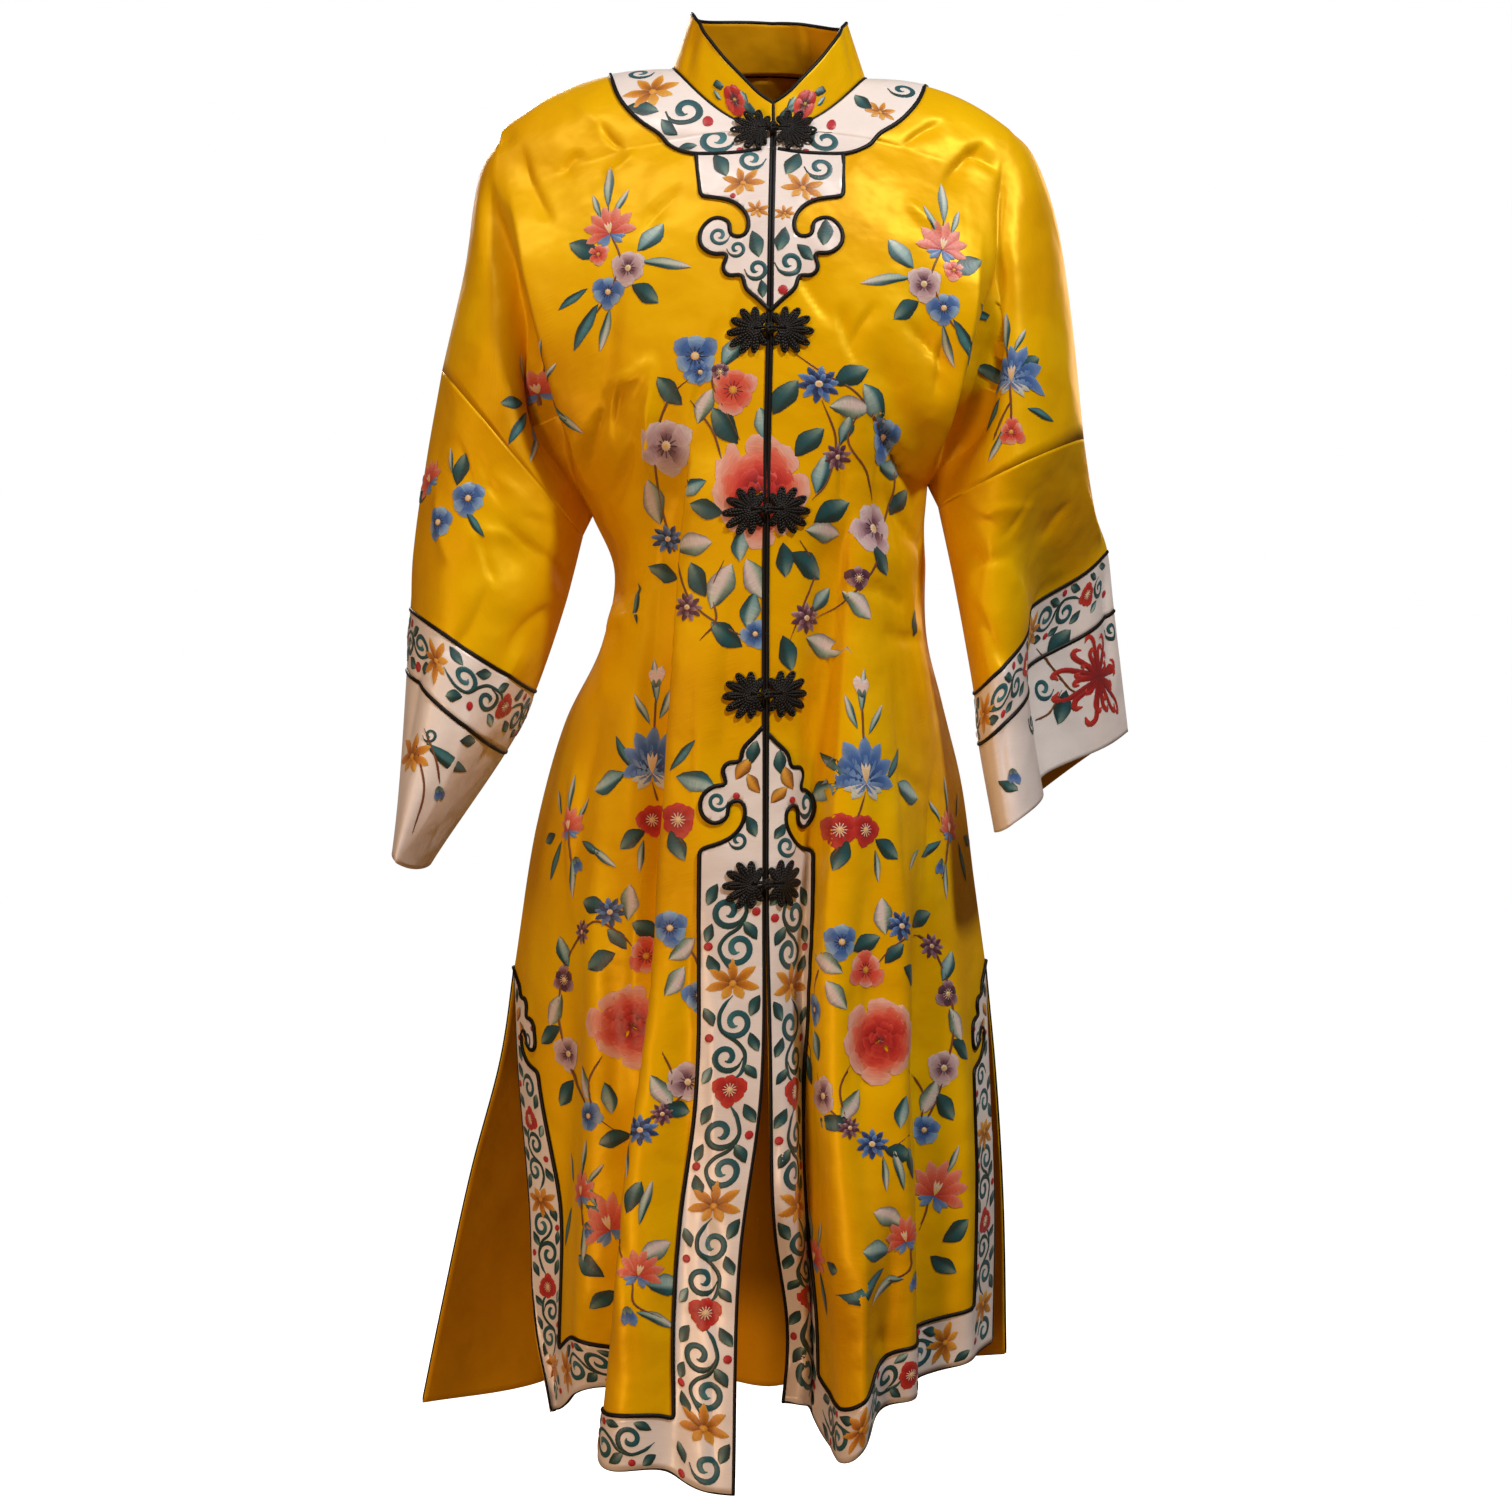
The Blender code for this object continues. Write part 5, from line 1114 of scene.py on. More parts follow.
def slit_lines(panel, top, width, scale):
    """The slit's edge from the hem up to its top, and the inner line round the cloud head and down to the
    hem."""
    last = panel.last_row
    rows = np.linspace(last, panel.row_at(top, panel.width), 60)
    edge = pairs(panel.from_side(EDGE, rows), rows)
    out, down = cloud_head()
    rows = panel.row_at(top - down * scale, panel.width)
    head = pairs(panel.from_side(np.minimum(out * scale, width) + EDGE, rows), rows)
    corner = panel.above_hem(HEM_WIDTH, panel.from_side(width, last))[0]
    straight = panel.row_at(top - HEAD_LENGTH * scale - HEAD_FOOT, panel.width)
    rows = between(straight, corner, 50)
    return edge, np.concatenate([head, pairs(panel.from_side(width + EDGE, rows), rows)])


def front_border(panel, head_top, slit_top):
    """The border of one front as two lines: its outer edge down the opening, along the hem and up the slit,
    and its inner line back from the slit's cloud head, over the hem and up to the cloud head at the
    opening."""
    last = panel.last_row
    rows = between(panel.row_at(head_top, 0), last, OPENING_STEPS)
    opening = pairs(panel.from_middle(EDGE, rows), rows)
    columns = between(panel.from_middle(EDGE, last)[0], panel.from_side(EDGE, last)[0], panel.width)
    hem = pairs(columns, panel.above_hem(EDGE, columns))
    slit, inner = slit_lines(panel, slit_top, SLIT_STRIP_WIDTH, SLIT_HEAD_SCALE)
    near_row = panel.above_hem(HEM_WIDTH, panel.from_middle(STRIP_WIDTH, last))[0]
    far_row = panel.above_hem(HEM_WIDTH, panel.from_side(SLIT_STRIP_WIDTH, last))[0]
    far = panel.from_side(SLIT_STRIP_WIDTH + EDGE, far_row)[0]
    near = panel.from_middle(STRIP_WIDTH + EDGE, near_row)[0]
    columns = between(far, near, 60)
    over_hem = pairs(columns, panel.above_hem(HEM_WIDTH, columns))
    rows = between(near_row, panel.row_at(head_top - HEAD_LENGTH - HEAD_FOOT, 0), 80)
    strip = pairs(panel.from_middle(STRIP_WIDTH + EDGE, rows), rows)
    out, down = (values[:0:-1] for values in cloud_head())
    rows = panel.row_at(head_top - down, 0)
    head = pairs(panel.from_middle(out + EDGE, rows), rows)
    return np.concatenate([opening, hem, slit]), np.concatenate([inner, over_hem, strip, head])


def back_border(back, slit_tops):
    """The border of the back's slits and hem: its outer edge and its inner line, from the left to the
    right."""
    edges, inners = [], []
    for side in ("left", "right"):
        half = back.halves[side]
        slit, inner = slit_lines(half, slit_tops[side], SLIT_STRIP_WIDTH, SLIT_HEAD_SCALE)
        far_row = half.above_hem(HEM_WIDTH, half.from_side(SLIT_STRIP_WIDTH, half.last_row))[0]
        columns = between(half.from_side(SLIT_STRIP_WIDTH + EDGE, far_row)[0], 0, 60)
        inner = np.concatenate([inner, pairs(columns, half.above_hem(HEM_WIDTH, columns))])
        columns = between(0, half.from_side(EDGE, half.last_row)[0], half.width)
        edge = np.concatenate([pairs(columns, half.above_hem(EDGE, columns)), slit])
        for lines, line in ((edges, edge), (inners, inner)):
            lines.append(pairs(back.counted(side, line[:, 0]), line[:, 1]))
    outer = np.concatenate([edges[1][::-1], edges[0][1:]])
    return outer, np.concatenate([inners[0], inners[1][::-1]])


def on_yoke_edge(panel, at):
    """The column and row of a point of the neck border's outer line."""
    return panel.find(float(read(YOKE_EDGE, "out", at)), float(read(YOKE_EDGE, "z", at)))


def neck_tab(panel, tip):
    """The tab below the neck border: its inner line, a cloud head upside down stretched to the tab's
    length, and its edge along the neck border and down the opening."""
    out, down = cloud_head()
    rows = panel.row_at(tip + down * TAB_LENGTH / HEAD_LENGTH, 0)
    inner = pairs(panel.from_middle(out * TAB_WIDTH / STRIP_WIDTH + EDGE, rows), rows)
    last = YOKE_EDGE["point"][-1]
    top = np.array([on_yoke_edge(panel, at) for at in np.linspace(last - TAB_REACH, last, 10)])
    rows = between(top[-1, 1], inner[0, 1], 40)[1:]
    return inner, np.concatenate([top, pairs(panel.from_middle(EDGE, rows), rows)])


def front_yoke(panel):
    """The front half of the neck border: its edge round the neckline to the opening, and its curved outer
    line."""
    middle_row = panel.row_at(YOKE_EDGE["z"][-1], 0)
    rows = np.concatenate([between(EDGE_STEP, NECK_ROWS, 60), np.linspace(NECK_ROWS, middle_row, 9)])
    edge = pairs(panel.from_middle(EDGE, rows), rows)
    line = []
    for at in np.linspace(YOKE_EDGE["point"][-1], 0, 33)[1:]:
        column, row = on_yoke_edge(panel, at)
        line.append((column, max(row, EDGE_STEP)))
    return edge, np.array(line)


def back_yoke(back):
    """The back of the neck border, as wide all round as it is at the shoulder: its edge and its outer
    line."""
    edges, outers = [], []
    for side in ("left", "right"):
        half = back.halves[side]
        rows = between(EDGE_STEP, NECK_ROWS, 40)
        edge = np.concatenate([pairs(half.from_middle(EDGE, rows), rows), [[0, NECK_ROWS]]])
        outer = pairs(half.from_middle(YOKE_WIDTH, rows), rows)
        lengths = half.down[NECK_ROWS:, 0] - half.down[NECK_ROWS, 0]
        low_row = NECK_ROWS + float(np.interp(YOKE_WIDTH, lengths, range(len(lengths))))
        angles = np.linspace(0, math.pi / 2, 30)
        rows = NECK_ROWS + (low_row - NECK_ROWS) * np.sin(angles)
        outer = np.concatenate([outer, pairs(half.from_middle(YOKE_WIDTH * np.cos(angles), rows), rows)])
        edges.append(pairs(back.counted(side, edge[:, 0]), edge[:, 1]))
        outers.append(pairs(back.counted(side, outer[:, 0]), outer[:, 1]))
    edge = np.concatenate([edges[0], edges[1][::-1][1:]])
    return edge, np.concatenate([outers[1], outers[0][::-1][1:]])


def inside(outline, points):
    """Which points lie inside a closed outline: those from which a ray crosses it an odd number of
    times."""
    x, y = points[:, :1], points[:, 1:]
    x1, y1 = outline.T
    x2, y2 = np.roll(outline, -1, axis=0).T
    spans = (y1 > y) != (y2 > y)
    with np.errstate(divide="ignore", invalid="ignore"):
        crossing = x1 + (y - y1) * (x2 - x1) / (y2 - y1)
    return (spans & (x < crossing)).sum(axis=1) % 2 == 1


def fill(outline):
    """Triangles over a closed outline with the grid's own points inside it: its points and faces, still
    flat."""
    low = np.floor(outline.min(axis=0))
    high = np.ceil(outline.max(axis=0))
    column, row = np.meshgrid(np.arange(low[0], high[0] + 1), np.arange(low[1], high[1] + 1))
    grid = np.stack([column.ravel(), row.ravel()], axis=1)
    grid = grid[inside(outline, grid)]
    clear = np.min(((grid[:, None] - outline[None]) ** 2).sum(axis=2), axis=1) > 0.06
    grid = grid[clear]
    points = np.concatenate([outline, grid])
    found, _, faces, *_ = delaunay_2d_cdt(points.tolist(), [], [list(range(len(outline)))], 1, 1e-5)
    return np.array([tuple(point) for point in found]), [list(face) for face in faces]


def laid(ground, line, height):
    """Points at a height over the cloth along columns and rows, and the same places one probe higher."""
    height = np.broadcast_to(height, (len(line),))
    return [ground.lay(np.column_stack([line, over])) for over in (height, height + PROBE)]


# Grids and paths into Blender objects


def add_mesh(name, points, faces, finish, colours=None, uv=None, normals=None, uv_faces=None):
    """A smooth mesh object at the origin, without unused points. Faces are turned to agree with the
    normals."""
    points = np.asarray(points, float)
    loops = np.concatenate([np.ravel(face) for face in faces]).astype(int)
    uv_loops = loops
    if uv_faces is not None:
        uv_loops = np.concatenate([np.ravel(face) for face in uv_faces]).astype(int)
    ends = np.cumsum([0] + [len(face) for face in faces])
    if normals is not None:
        sample = np.array([face[:3] for face in faces[:: max(1, len(faces) // 400)]])
        first, second, third = (points[sample[:, corner]] for corner in range(3))
        turned = np.cross(second - first, third - first)
        if (turned * np.asarray(normals)[sample[:, 0]]).sum() < 0:
            back = np.repeat(ends[:-1] + ends[1:], np.diff(ends)) - 1 - np.arange(len(loops))
            loops, uv_loops = loops[back], uv_loops[back]
    used, corner = np.unique(loops, return_inverse=True)
    mesh = bpy.data.meshes.new(name)
    mesh.vertices.add(len(used))
    mesh.vertices.foreach_set("co", points[used].ravel())
    mesh.loops.add(len(corner))
    mesh.loops.foreach_set("vertex_index", corner.astype(np.int32))
    mesh.polygons.add(len(ends) - 1)
    mesh.polygons.foreach_set("loop_start", ends[:-1].astype(np.int32))
    mesh.update(calc_edges=True)
    if uv is not None:
        layer = mesh.uv_layers.new(name="cloth")
        layer.data.foreach_set("uv", np.asarray(uv, float)[uv_loops].ravel())
    if colours is not None:
        layer = mesh.color_attributes.new("thread", "FLOAT_COLOR", "POINT")
        layer.data.foreach_set("color", np.asarray(colours, float)[used].ravel())
    mesh.validate()
    mesh.shade_smooth()
    made = bpy.data.objects.new(name, mesh)
    bpy.context.scene.collection.objects.link(made)
    for each in [finish] if isinstance(finish, str) else finish:
        mesh.materials.append(material(each))
    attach(made, "root")
    return made


def grid_faces(corners, cells=None):
    """The four-cornered faces of a grid's cells."""
    a, b = corners[:-1, :-1], corners[:-1, 1:]
    d, c = corners[1:, :-1], corners[1:, 1:]
    faces = np.stack([a, b, c, d], axis=-1)
    return faces.reshape(-1, 4) if cells is None else faces[cells]


def thicken(piece, thickness, inner=0):
    """Gives a sheet its thickness, inwards from its outer face; inner is the step to the inner face's
    material."""
    wall = piece.modifiers.new("thickness", "SOLIDIFY")
    wall.thickness = thickness
    wall.offset = -1
    wall.material_offset = inner


def resampled(points, step, *others):
    """Even steps along a path of points, and the same for what goes with it."""
    lengths = np.concatenate([[0], np.cumsum(np.linalg.norm(np.diff(points, axis=0), axis=1))])
    wanted = np.linspace(0, lengths[-1], max(3, int(round(lengths[-1] / step)) + 1))
    return [
        np.stack([np.interp(wanted, lengths, values[:, axis]) for axis in range(values.shape[1])], axis=1)
        for values in (points, *others)
    ]


def tube(points, normals, radius, flat=1.0, sides=8, closed=False):
    """A round or flattened tube carried along a path: a ring square to the path at each point, its height
    along the normal. Gives points, faces and uv, with u along the path."""
    points, normals = np.asarray(points, float), np.asarray(normals, float)
    if closed:
        ahead = unit(np.roll(points, -1, axis=0) - np.roll(points, 1, axis=0))
    else:
        ahead = unit(np.gradient(points, axis=0))
    aside = unit(np.cross(ahead, normals))
    up = np.cross(aside, ahead)
    angle = np.linspace(0, 2 * math.pi, sides, endpoint=False)[None, :, None]
    radii = np.broadcast_to(np.asarray(radius, float), (len(points),))[:, None, None]
    rings = points[:, None] + radii * (np.cos(angle) * aside[:, None] + flat * np.sin(angle) * up[:, None])
    corners = np.arange(len(points) * sides).reshape(len(points), sides)
    corners = np.concatenate([corners, corners[:, :1]], axis=1)
    if closed:
        corners = np.concatenate([corners, corners[:1]])
    faces = grid_faces(corners)[:, ::-1].tolist()
    if not closed:
        faces += [corners[0, :-1].tolist(), corners[-1, :-1][::-1].tolist()]
    along = np.concatenate([[0], np.cumsum(np.linalg.norm(np.diff(points, axis=0), axis=1))])
    uv = np.stack(np.broadcast_arrays(along[:, None], np.arange(sides)[None] / sides), axis=-1).reshape(-1, 2)
    return rings.reshape(-1, 3), faces, uv


def joined(parts):
    """Several meshes, each points, faces and uv, as one."""
    points, faces, uvs, start = [], [], [], 0
    for part, its_faces, uv in parts:
        points.append(part)
        uvs.append(uv)
        faces += [[index + start for index in face] for face in its_faces]
        start += len(part)
    return np.concatenate(points), faces, np.concatenate(uvs)


def piping_on(ground, line, radius, height):
    """A strip of piping along a line of columns and rows, at a height over the cloth: evenly stepped,
    smoothed twice by the mean of its neighbours, and a fifth flatter than it is wide."""
    low, high = laid(ground, line, height)
    points, high = resampled(low, PIPING_STEP, high)
    for _ in range(2):
        points[1:-1] = (points[:-2] + 2 * points[1:-1] + points[2:]) / 4
    return tube(points, unit(high - points), radius, 0.8)


# Materials


BLACK = "#0A0808"


def linear(colour):
    """An sRGB hex colour as linear red, green, blue and alpha."""
    parts = [int(colour[i : i + 2], 16) / 255 for i in (1, 3, 5)]
    curved = [part / 12.92 if part <= 0.04045 else ((part + 0.055) / 1.055) ** 2.4 for part in parts]
    return (*curved, 1)


def node(tree, kind, settings=(), inputs=(), links=()):
    """Adds a node: settings are attributes, inputs are values of its sockets, and links are socket and
    source."""
    made = tree.nodes.new(kind)
    for key, value in dict(settings).items():
        setattr(made, key, value)
    for key, value in dict(inputs).items():
        made.inputs[key].default_value = value
    for key, source in dict(links).items():
        tree.links.new(source, made.inputs[key])
    return made


def colour_ramp(tree, source, stops):
    """The colour that the stops, each a place and a hex colour, give for the source's value."""
    made = node(tree, "ShaderNodeValToRGB", links={"Fac": source})
    ramp = made.color_ramp
    while len(ramp.elements) < len(stops):
        ramp.elements.new(0.5)
    for element, (place, colour) in zip(ramp.elements, stops):
        element.position = place
        element.color = linear(colour)
    return made.outputs["Color"]


def weave(tree, pitch, stretch):
    """Uneven threads along the cloth's own UV, in metres: noise drawn out along the thread."""
    place = node(tree, "ShaderNodeUVMap", {"uv_map": "cloth"}).outputs["UV"]
    scale = {"Scale": (1 / (pitch * stretch), 1 / pitch, 1), "Location": (0, 0, 0)}
    mapping = node(tree, "ShaderNodeMapping", inputs=scale, links={"Vector": place})
    along = {"Vector": mapping.outputs["Vector"]}
    return node(tree, "ShaderNodeTexNoise", inputs={"Scale": 1.0, "Detail": 2.0}, links=along).outputs["Fac"]


def crumple(tree, size):
    """Soft unevenness of cloth that has been worn, in object space; size in metres."""
    place = node(tree, "ShaderNodeTexCoord").outputs["Object"]
    shape = {"Scale": 1 / size, "Detail": 2.0, "Roughness": 0.45}
    return node(tree, "ShaderNodeTexNoise", inputs=shape, links={"Vector": place}).outputs["Fac"]


def puckers(tree, size):
    """Small sharp creases of thin satin with smooth cloth between them, in object space; size in metres."""
    place = node(tree, "ShaderNodeTexCoord").outputs["Object"]
    kind = {"noise_type": "RIDGED_MULTIFRACTAL", "normalize": True}
    shape = {"Scale": 1 / size, "Detail": 1.0, "Roughness": 0.5, "Distortion": 0.4}
    return node(tree, "ShaderNodeTexNoise", kind, shape, {"Vector": place}).outputs["Fac"]


def bumped(tree, heights):
    """A chain of bumps: each height map with its strength and its depth in metres."""
    normal = None
    for height, strength, depth in heights:
        sizes = {"Strength": strength, "Distance": depth}
        bump = node(tree, "ShaderNodeBump", inputs=sizes, links={"Height": height})
        if normal:
            tree.links.new(normal, bump.inputs["Normal"])
        normal = bump.outputs["Normal"]
    return normal


def base_material(name, values):
    """A material whose principled shader has the given values: the material, its tree and the shader."""
    made = bpy.data.materials.new(name)
    made.use_nodes = True
    tree = made.node_tree
    shader = tree.nodes["Principled BSDF"]
    for key, value in values.items():
        shader.inputs[key].default_value = value
    return made, tree, shader


def satin(name, stops, roughness, anisotropic, sheen, sheen_tint, metallic=0.0, gloss="#FFFFFF"):
    """Silk satin: warp threads float on the face, so light draws out along them into long soft bands, the
    colour wanders softly at random between the deeper and the brighter stops, and worn cloth is softly
    uneven. Threads are drawn at 0.5 mm to show, and the colour is a little lighter where they stand
    higher: painted shade between the threads."""
    made, tree, shader = base_material(
        name,
        {
            "Roughness": roughness,
            "IOR": 1.54,
            "Anisotropic": anisotropic,
            "Sheen Weight": sheen,
            "Sheen Roughness": 0.35,
            "Sheen Tint": linear(sheen_tint),
            "Specular IOR Level": 0.75,
            "Metallic": metallic,
            "Specular Tint": linear(gloss),
        },
    )
    tangent = node(tree, "ShaderNodeTangent", {"direction_type": "UV_MAP", "uv_map": "cloth"})
    tree.links.new(tangent.outputs["Tangent"], shader.inputs["Tangent"])
    threads = weave(tree, 0.0005, 30)
    mottle = crumple(tree, 0.12)
    both = {0: threads, 2: mottle}
    # random mottle, plus a quarter of the weave noise that also raises the threads: painted shade between
    # them
    mottle_and_painted_weave_shade = node(tree, "ShaderNodeMath", {"operation": "MULTIPLY_ADD"}, {1: 0.25}, both).outputs["Value"]
    tree.links.new(colour_ramp(tree, mottle_and_painted_weave_shade, stops), shader.inputs["Base Color"])
    heights = [
        (crumple(tree, 0.07), 0.7, 0.010),
        (puckers(tree, 0.11), 0.6, 0.004),
        (crumple(tree, 0.022), 0.5, 0.0024),
        (puckers(tree, 0.045), 0.35, 0.0016),
        (threads, 0.12, 0.0002),
    ]
    tree.links.new(bumped(tree, heights), shader.inputs["Normal"])
    return made


def make_yellow_satin():
    """The robe's satin: heavy, glossy along its floats, and mottled softly at random between a deeper and a
    brighter gold.
    """
    settings = bpy.context.scene.robe_sizes
    stops = ((0.35, "#D09200"), (0.55, settings.satin_colour), (0.8, "#EFBE00"))
    return satin("yellow silk satin", stops, 0.44, 0.55, 0.06, "#FFE048", 0.05, "#FFE450")


def make_lining():
    """Plain-woven silk lining: less gloss than the satin and a browner gold."""
    stops = ((0.35, "#C98904"), (0.55, "#DA9906"), (0.8, "#E3A409"))
    return satin("gold silk lining", stops, 0.6, 0.2, 0.05, "#FFC830", 0.0, "#FFCE38")


def make_white_satin():
    """The borders' satin: softer than the yellow, off white."""
    stops = ((0.35, "#DCCFC8"), (0.55, "#E8DEDA"), (0.8, "#F1EAE6"))
    return satin("white silk satin", stops, 0.36, 0.35, 0.2, "#FFFFFF")


def make_piping():
    """Black satin cut on the bias and folded over cord: a soft gloss along the roll, with fine threads."""
    gloss = {"Roughness": 0.5, "Specular IOR Level": 0.25, "Sheen Weight": 0.02}
    made, tree, shader = base_material("black satin piping", {"Base Color": linear(BLACK), **gloss})
    threads = weave(tree, 0.05, 0.01)
    tree.links.new(bumped(tree, [(threads, 0.3, 0.0002)]), shader.inputs["Normal"])
    return made


def make_cord():
    """Black silk cord: thin strands laid round each other, so the light breaks into slanting glints: a sine
    of the way along and round, with a strand every 2 mm."""
    gloss = {"Roughness": 0.5, "Specular IOR Level": 0.3, "Sheen Weight": 0.03}
    made, tree, shader = base_material("black silk cord", {"Base Color": linear(BLACK), **gloss})
    place = node(tree, "ShaderNodeUVMap", {"uv_map": "cloth"}).outputs["UV"]
    slant = {1: (1000.0, 2.0, 0)}
    strand = node(tree, "ShaderNodeVectorMath", {"operation": "DOT_PRODUCT"}, slant, {0: place})
    half_turns = {0: strand.outputs["Value"]}
    angle = node(tree, "ShaderNodeMath", {"operation": "MULTIPLY"}, {1: math.pi}, half_turns)
    wave = node(tree, "ShaderNodeMath", {"operation": "SINE"}, {}, {0: angle.outputs["Value"]})
    tree.links.new(bumped(tree, [(wave.outputs["Value"], 0.6, 0.0004)]), shader.inputs["Normal"])
    return made


def make_thread():
    """Untwisted embroidery silk in satin stitch: the colour of each stitch comes with the piece, and the
    threads lie side by side across it, about 0.25 mm each, drawn at 0.5 mm to show. The noise that raises
    each thread also scales its colour, so low threads are darker and high ones lighter: painted shade and
    highlight of the stitches."""
    gloss = {"Roughness": 0.42, "IOR": 1.5, "Anisotropic": 0.3, "Sheen Weight": 0.1}
    made, tree, shader = base_material("embroidery silk", gloss)
    colour = node(tree, "ShaderNodeAttribute", {"attribute_name": "thread"}).outputs["Color"]
    place = node(tree, "ShaderNodeUVMap", {"uv_map": "cloth"}).outputs["UV"]
    mapping = node(tree, "ShaderNodeMapping", inputs={"Scale": (2000.0, 120.0, 1)}, links={"Vector": place})
    along = {"Vector": mapping.outputs["Vector"]}
    noise = node(tree, "ShaderNodeTexNoise", inputs={"Scale": 1.0, "Detail": 1.0}, links=along)
    threads = noise.outputs["Fac"]
    # painted shade and highlight: the noise that raises each thread scales its colour from 0.58 to 1.08
    painted_stitch_shade = node(tree, "ShaderNodeMapRange", inputs={3: 0.58, 4: 1.08}, links={0: threads}).outputs["Result"]
    stitch_colour_with_painted_shade = node(tree, "ShaderNodeMix", {"data_type": "RGBA", "blend_type": "MULTIPLY"}, {"Factor": 1.0})
    tree.links.new(colour, stitch_colour_with_painted_shade.inputs[6])
    tree.links.new(painted_stitch_shade, stitch_colour_with_painted_shade.inputs[7])
    tree.links.new(stitch_colour_with_painted_shade.outputs[2], shader.inputs["Base Color"])
    tree.links.new(bumped(tree, [(threads, 0.5, 0.0003)]), shader.inputs["Normal"])
    return made


FINISHES = {
    "yellow": make_yellow_satin,
    "lining": make_lining,
    "white": make_white_satin,
    "piping": make_piping,
    "cord": make_cord,
    "thread": make_thread,
}


@functools.cache
def material(finish):
    """The material of a finish, made once."""
    return FINISHES[finish]()


# The pieces


def add_body():
    """Both fronts and the back, each one sheet with the upper sleeve cut in one with it."""
    grids = cloth()
    made = {}
    for side in SIDES:
        front = grids[side, "front"]
        corners = np.arange(front.points[..., 0].size).reshape(front.shape)
        uv = np.stack([front.across, front.down], axis=-1).reshape(-1, 2)
        name = "front_" + side
        made[name] = sheet_of(name, front.points, front.normals, corners, front.cells(), uv)
    back = grids["back"]
    right, left = back.halves["right"], back.halves["left"]
    points = np.concatenate([right.points[:, ::-1], left.points], axis=1)
    normals = np.concatenate([right.normals[:, ::-1], left.normals], axis=1)
    gap = np.zeros((len(points) - 1, 1), bool)
    cells = np.concatenate([right.cells()[:, ::-1], gap, left.cells()], axis=1)
    corners = np.arange(points[..., 0].size).reshape(points.shape[:2])
    corners[NECK_ROWS:, back.middle + 1] = corners[NECK_ROWS:, back.middle]
    across = np.concatenate([-right.across[:, ::-1], left.across], axis=1)
    down = np.concatenate([right.down[:, ::-1], left.down], axis=1)
    uv = np.stack([across, down], axis=-1).reshape(-1, 2)
    made["back"] = sheet_of("back", points, normals, corners, cells, uv)
    return made


def sheet_of(name, points, normals, corners, cells, uv):
    """A panel's outer face, thickened inwards, with the lining's colour on its inner face."""
    faces = grid_faces(corners, cells).tolist()
    flat = points.reshape(-1, 3)
    finish = ("yellow", "lining")
    piece = add_mesh(name + "_satin", flat, faces, finish, uv=uv, normals=normals.reshape(-1, 3))
    thicken(piece, CLOTH, 1)
    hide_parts(name)
    return piece


def add_sleeves():
    """Lower sleeve, band and cuff: one tube cut at its rings, each part its own sheet."""
    made = {}
    for side in SIDES:
        sleeve = cloth()[side, "sleeve"]
        for name, finish in (("sleeve", "yellow"), ("band", "white"), ("cuff", "white")):
            rows = sleeve.rows_of(name)
            points, normals = sleeve.points[rows], sleeve.normals[rows]
            flat = np.arange(points[..., 0].size).reshape(points.shape[:2])
            corners = flat.copy()
            corners[:, -1] = corners[:, 0]
            uv = np.stack([sleeve.across[rows], sleeve.down[rows]], axis=-1).reshape(-1, 2)
            piece = add_mesh(
                f"{name}_{side}_satin", points.reshape(-1, 3), grid_faces(corners).tolist(),
                (finish, "lining"), uv=uv, normals=normals.reshape(-1, 3), uv_faces=grid_faces(flat).tolist(),
            )
            thicken(piece, CLOTH, 1)
            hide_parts(f"{name}_{side}")
            made[name, side] = piece
    return made


@functools.cache
def collar_grid():
    """The stand collar's outer face: it rises from the neckline and leans in, lowest at the opening, with
    soft upright creases, each a bell round the collar that fades above the seam. Rows run from the top
    down."""
    grids = cloth()
    front = {side: grids[side, "front"].points[: NECK_ROWS + 1, 0] for side in SIDES}
    back = {side: grids[side, "back"].points[: NECK_ROWS + 1, 0] for side in SIDES}
    halves = [front["right"][::-1], back["right"][1:], back["left"][::-1][1:], front["left"][1:]]
    base = np.concatenate(halves)
    inward = unit(-base * [1, 1, 0])
    degrees = np.degrees(np.arctan2(np.abs(base[:, 0] - base[0, 0]), -base[:, 1]))
    height = read(COLLAR, "height", degrees)[:, None]
    lean = read(COLLAR, "lean", degrees)[:, None]
    base = base + inward * COLLAR_SET_IN + [0, 0, COLLAR_SET_UP]
    top = base + inward * lean + height * [0, 0, 1]
    part = np.linspace(1, 0, 13)[:, None, None]
    points = base + (top - base) * part
    normals = unit(points * [1, 1, 0])
    turn = np.degrees(np.arctan2(points[..., 0], -points[..., 1]))
    dent = sum(depth * np.exp(-(((turn - at) / wide) ** 2)) for at, wide, depth in COLLAR_CREASES)
    points = points + normals * (dent * np.sin(part[..., 0] * math.pi * 0.8))[..., None]
    across = np.cross(np.gradient(points, axis=1), np.gradient(points, axis=0))
    normals = unit(across * np.sign((across * normals).sum(axis=-1, keepdims=True)))
    return points, normals


def add_collar():
    """The stand collar: one strip from opening to opening, thickened inwards."""
    points, normals = collar_grid()
    corners = np.arange(points[..., 0].size).reshape(points.shape[:2])
    uv = np.stack([running(points, 1), running(points, 0)], axis=-1).reshape(-1, 2)
    piece = add_mesh(
        "collar_satin", points.reshape(-1, 3), grid_faces(corners).tolist(), ("yellow", "lining"),
        uv=uv, normals=normals.reshape(-1, 3),
    )
    thicken(piece, COLLAR_THICKNESS, 1)
    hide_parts("collar")
    return piece


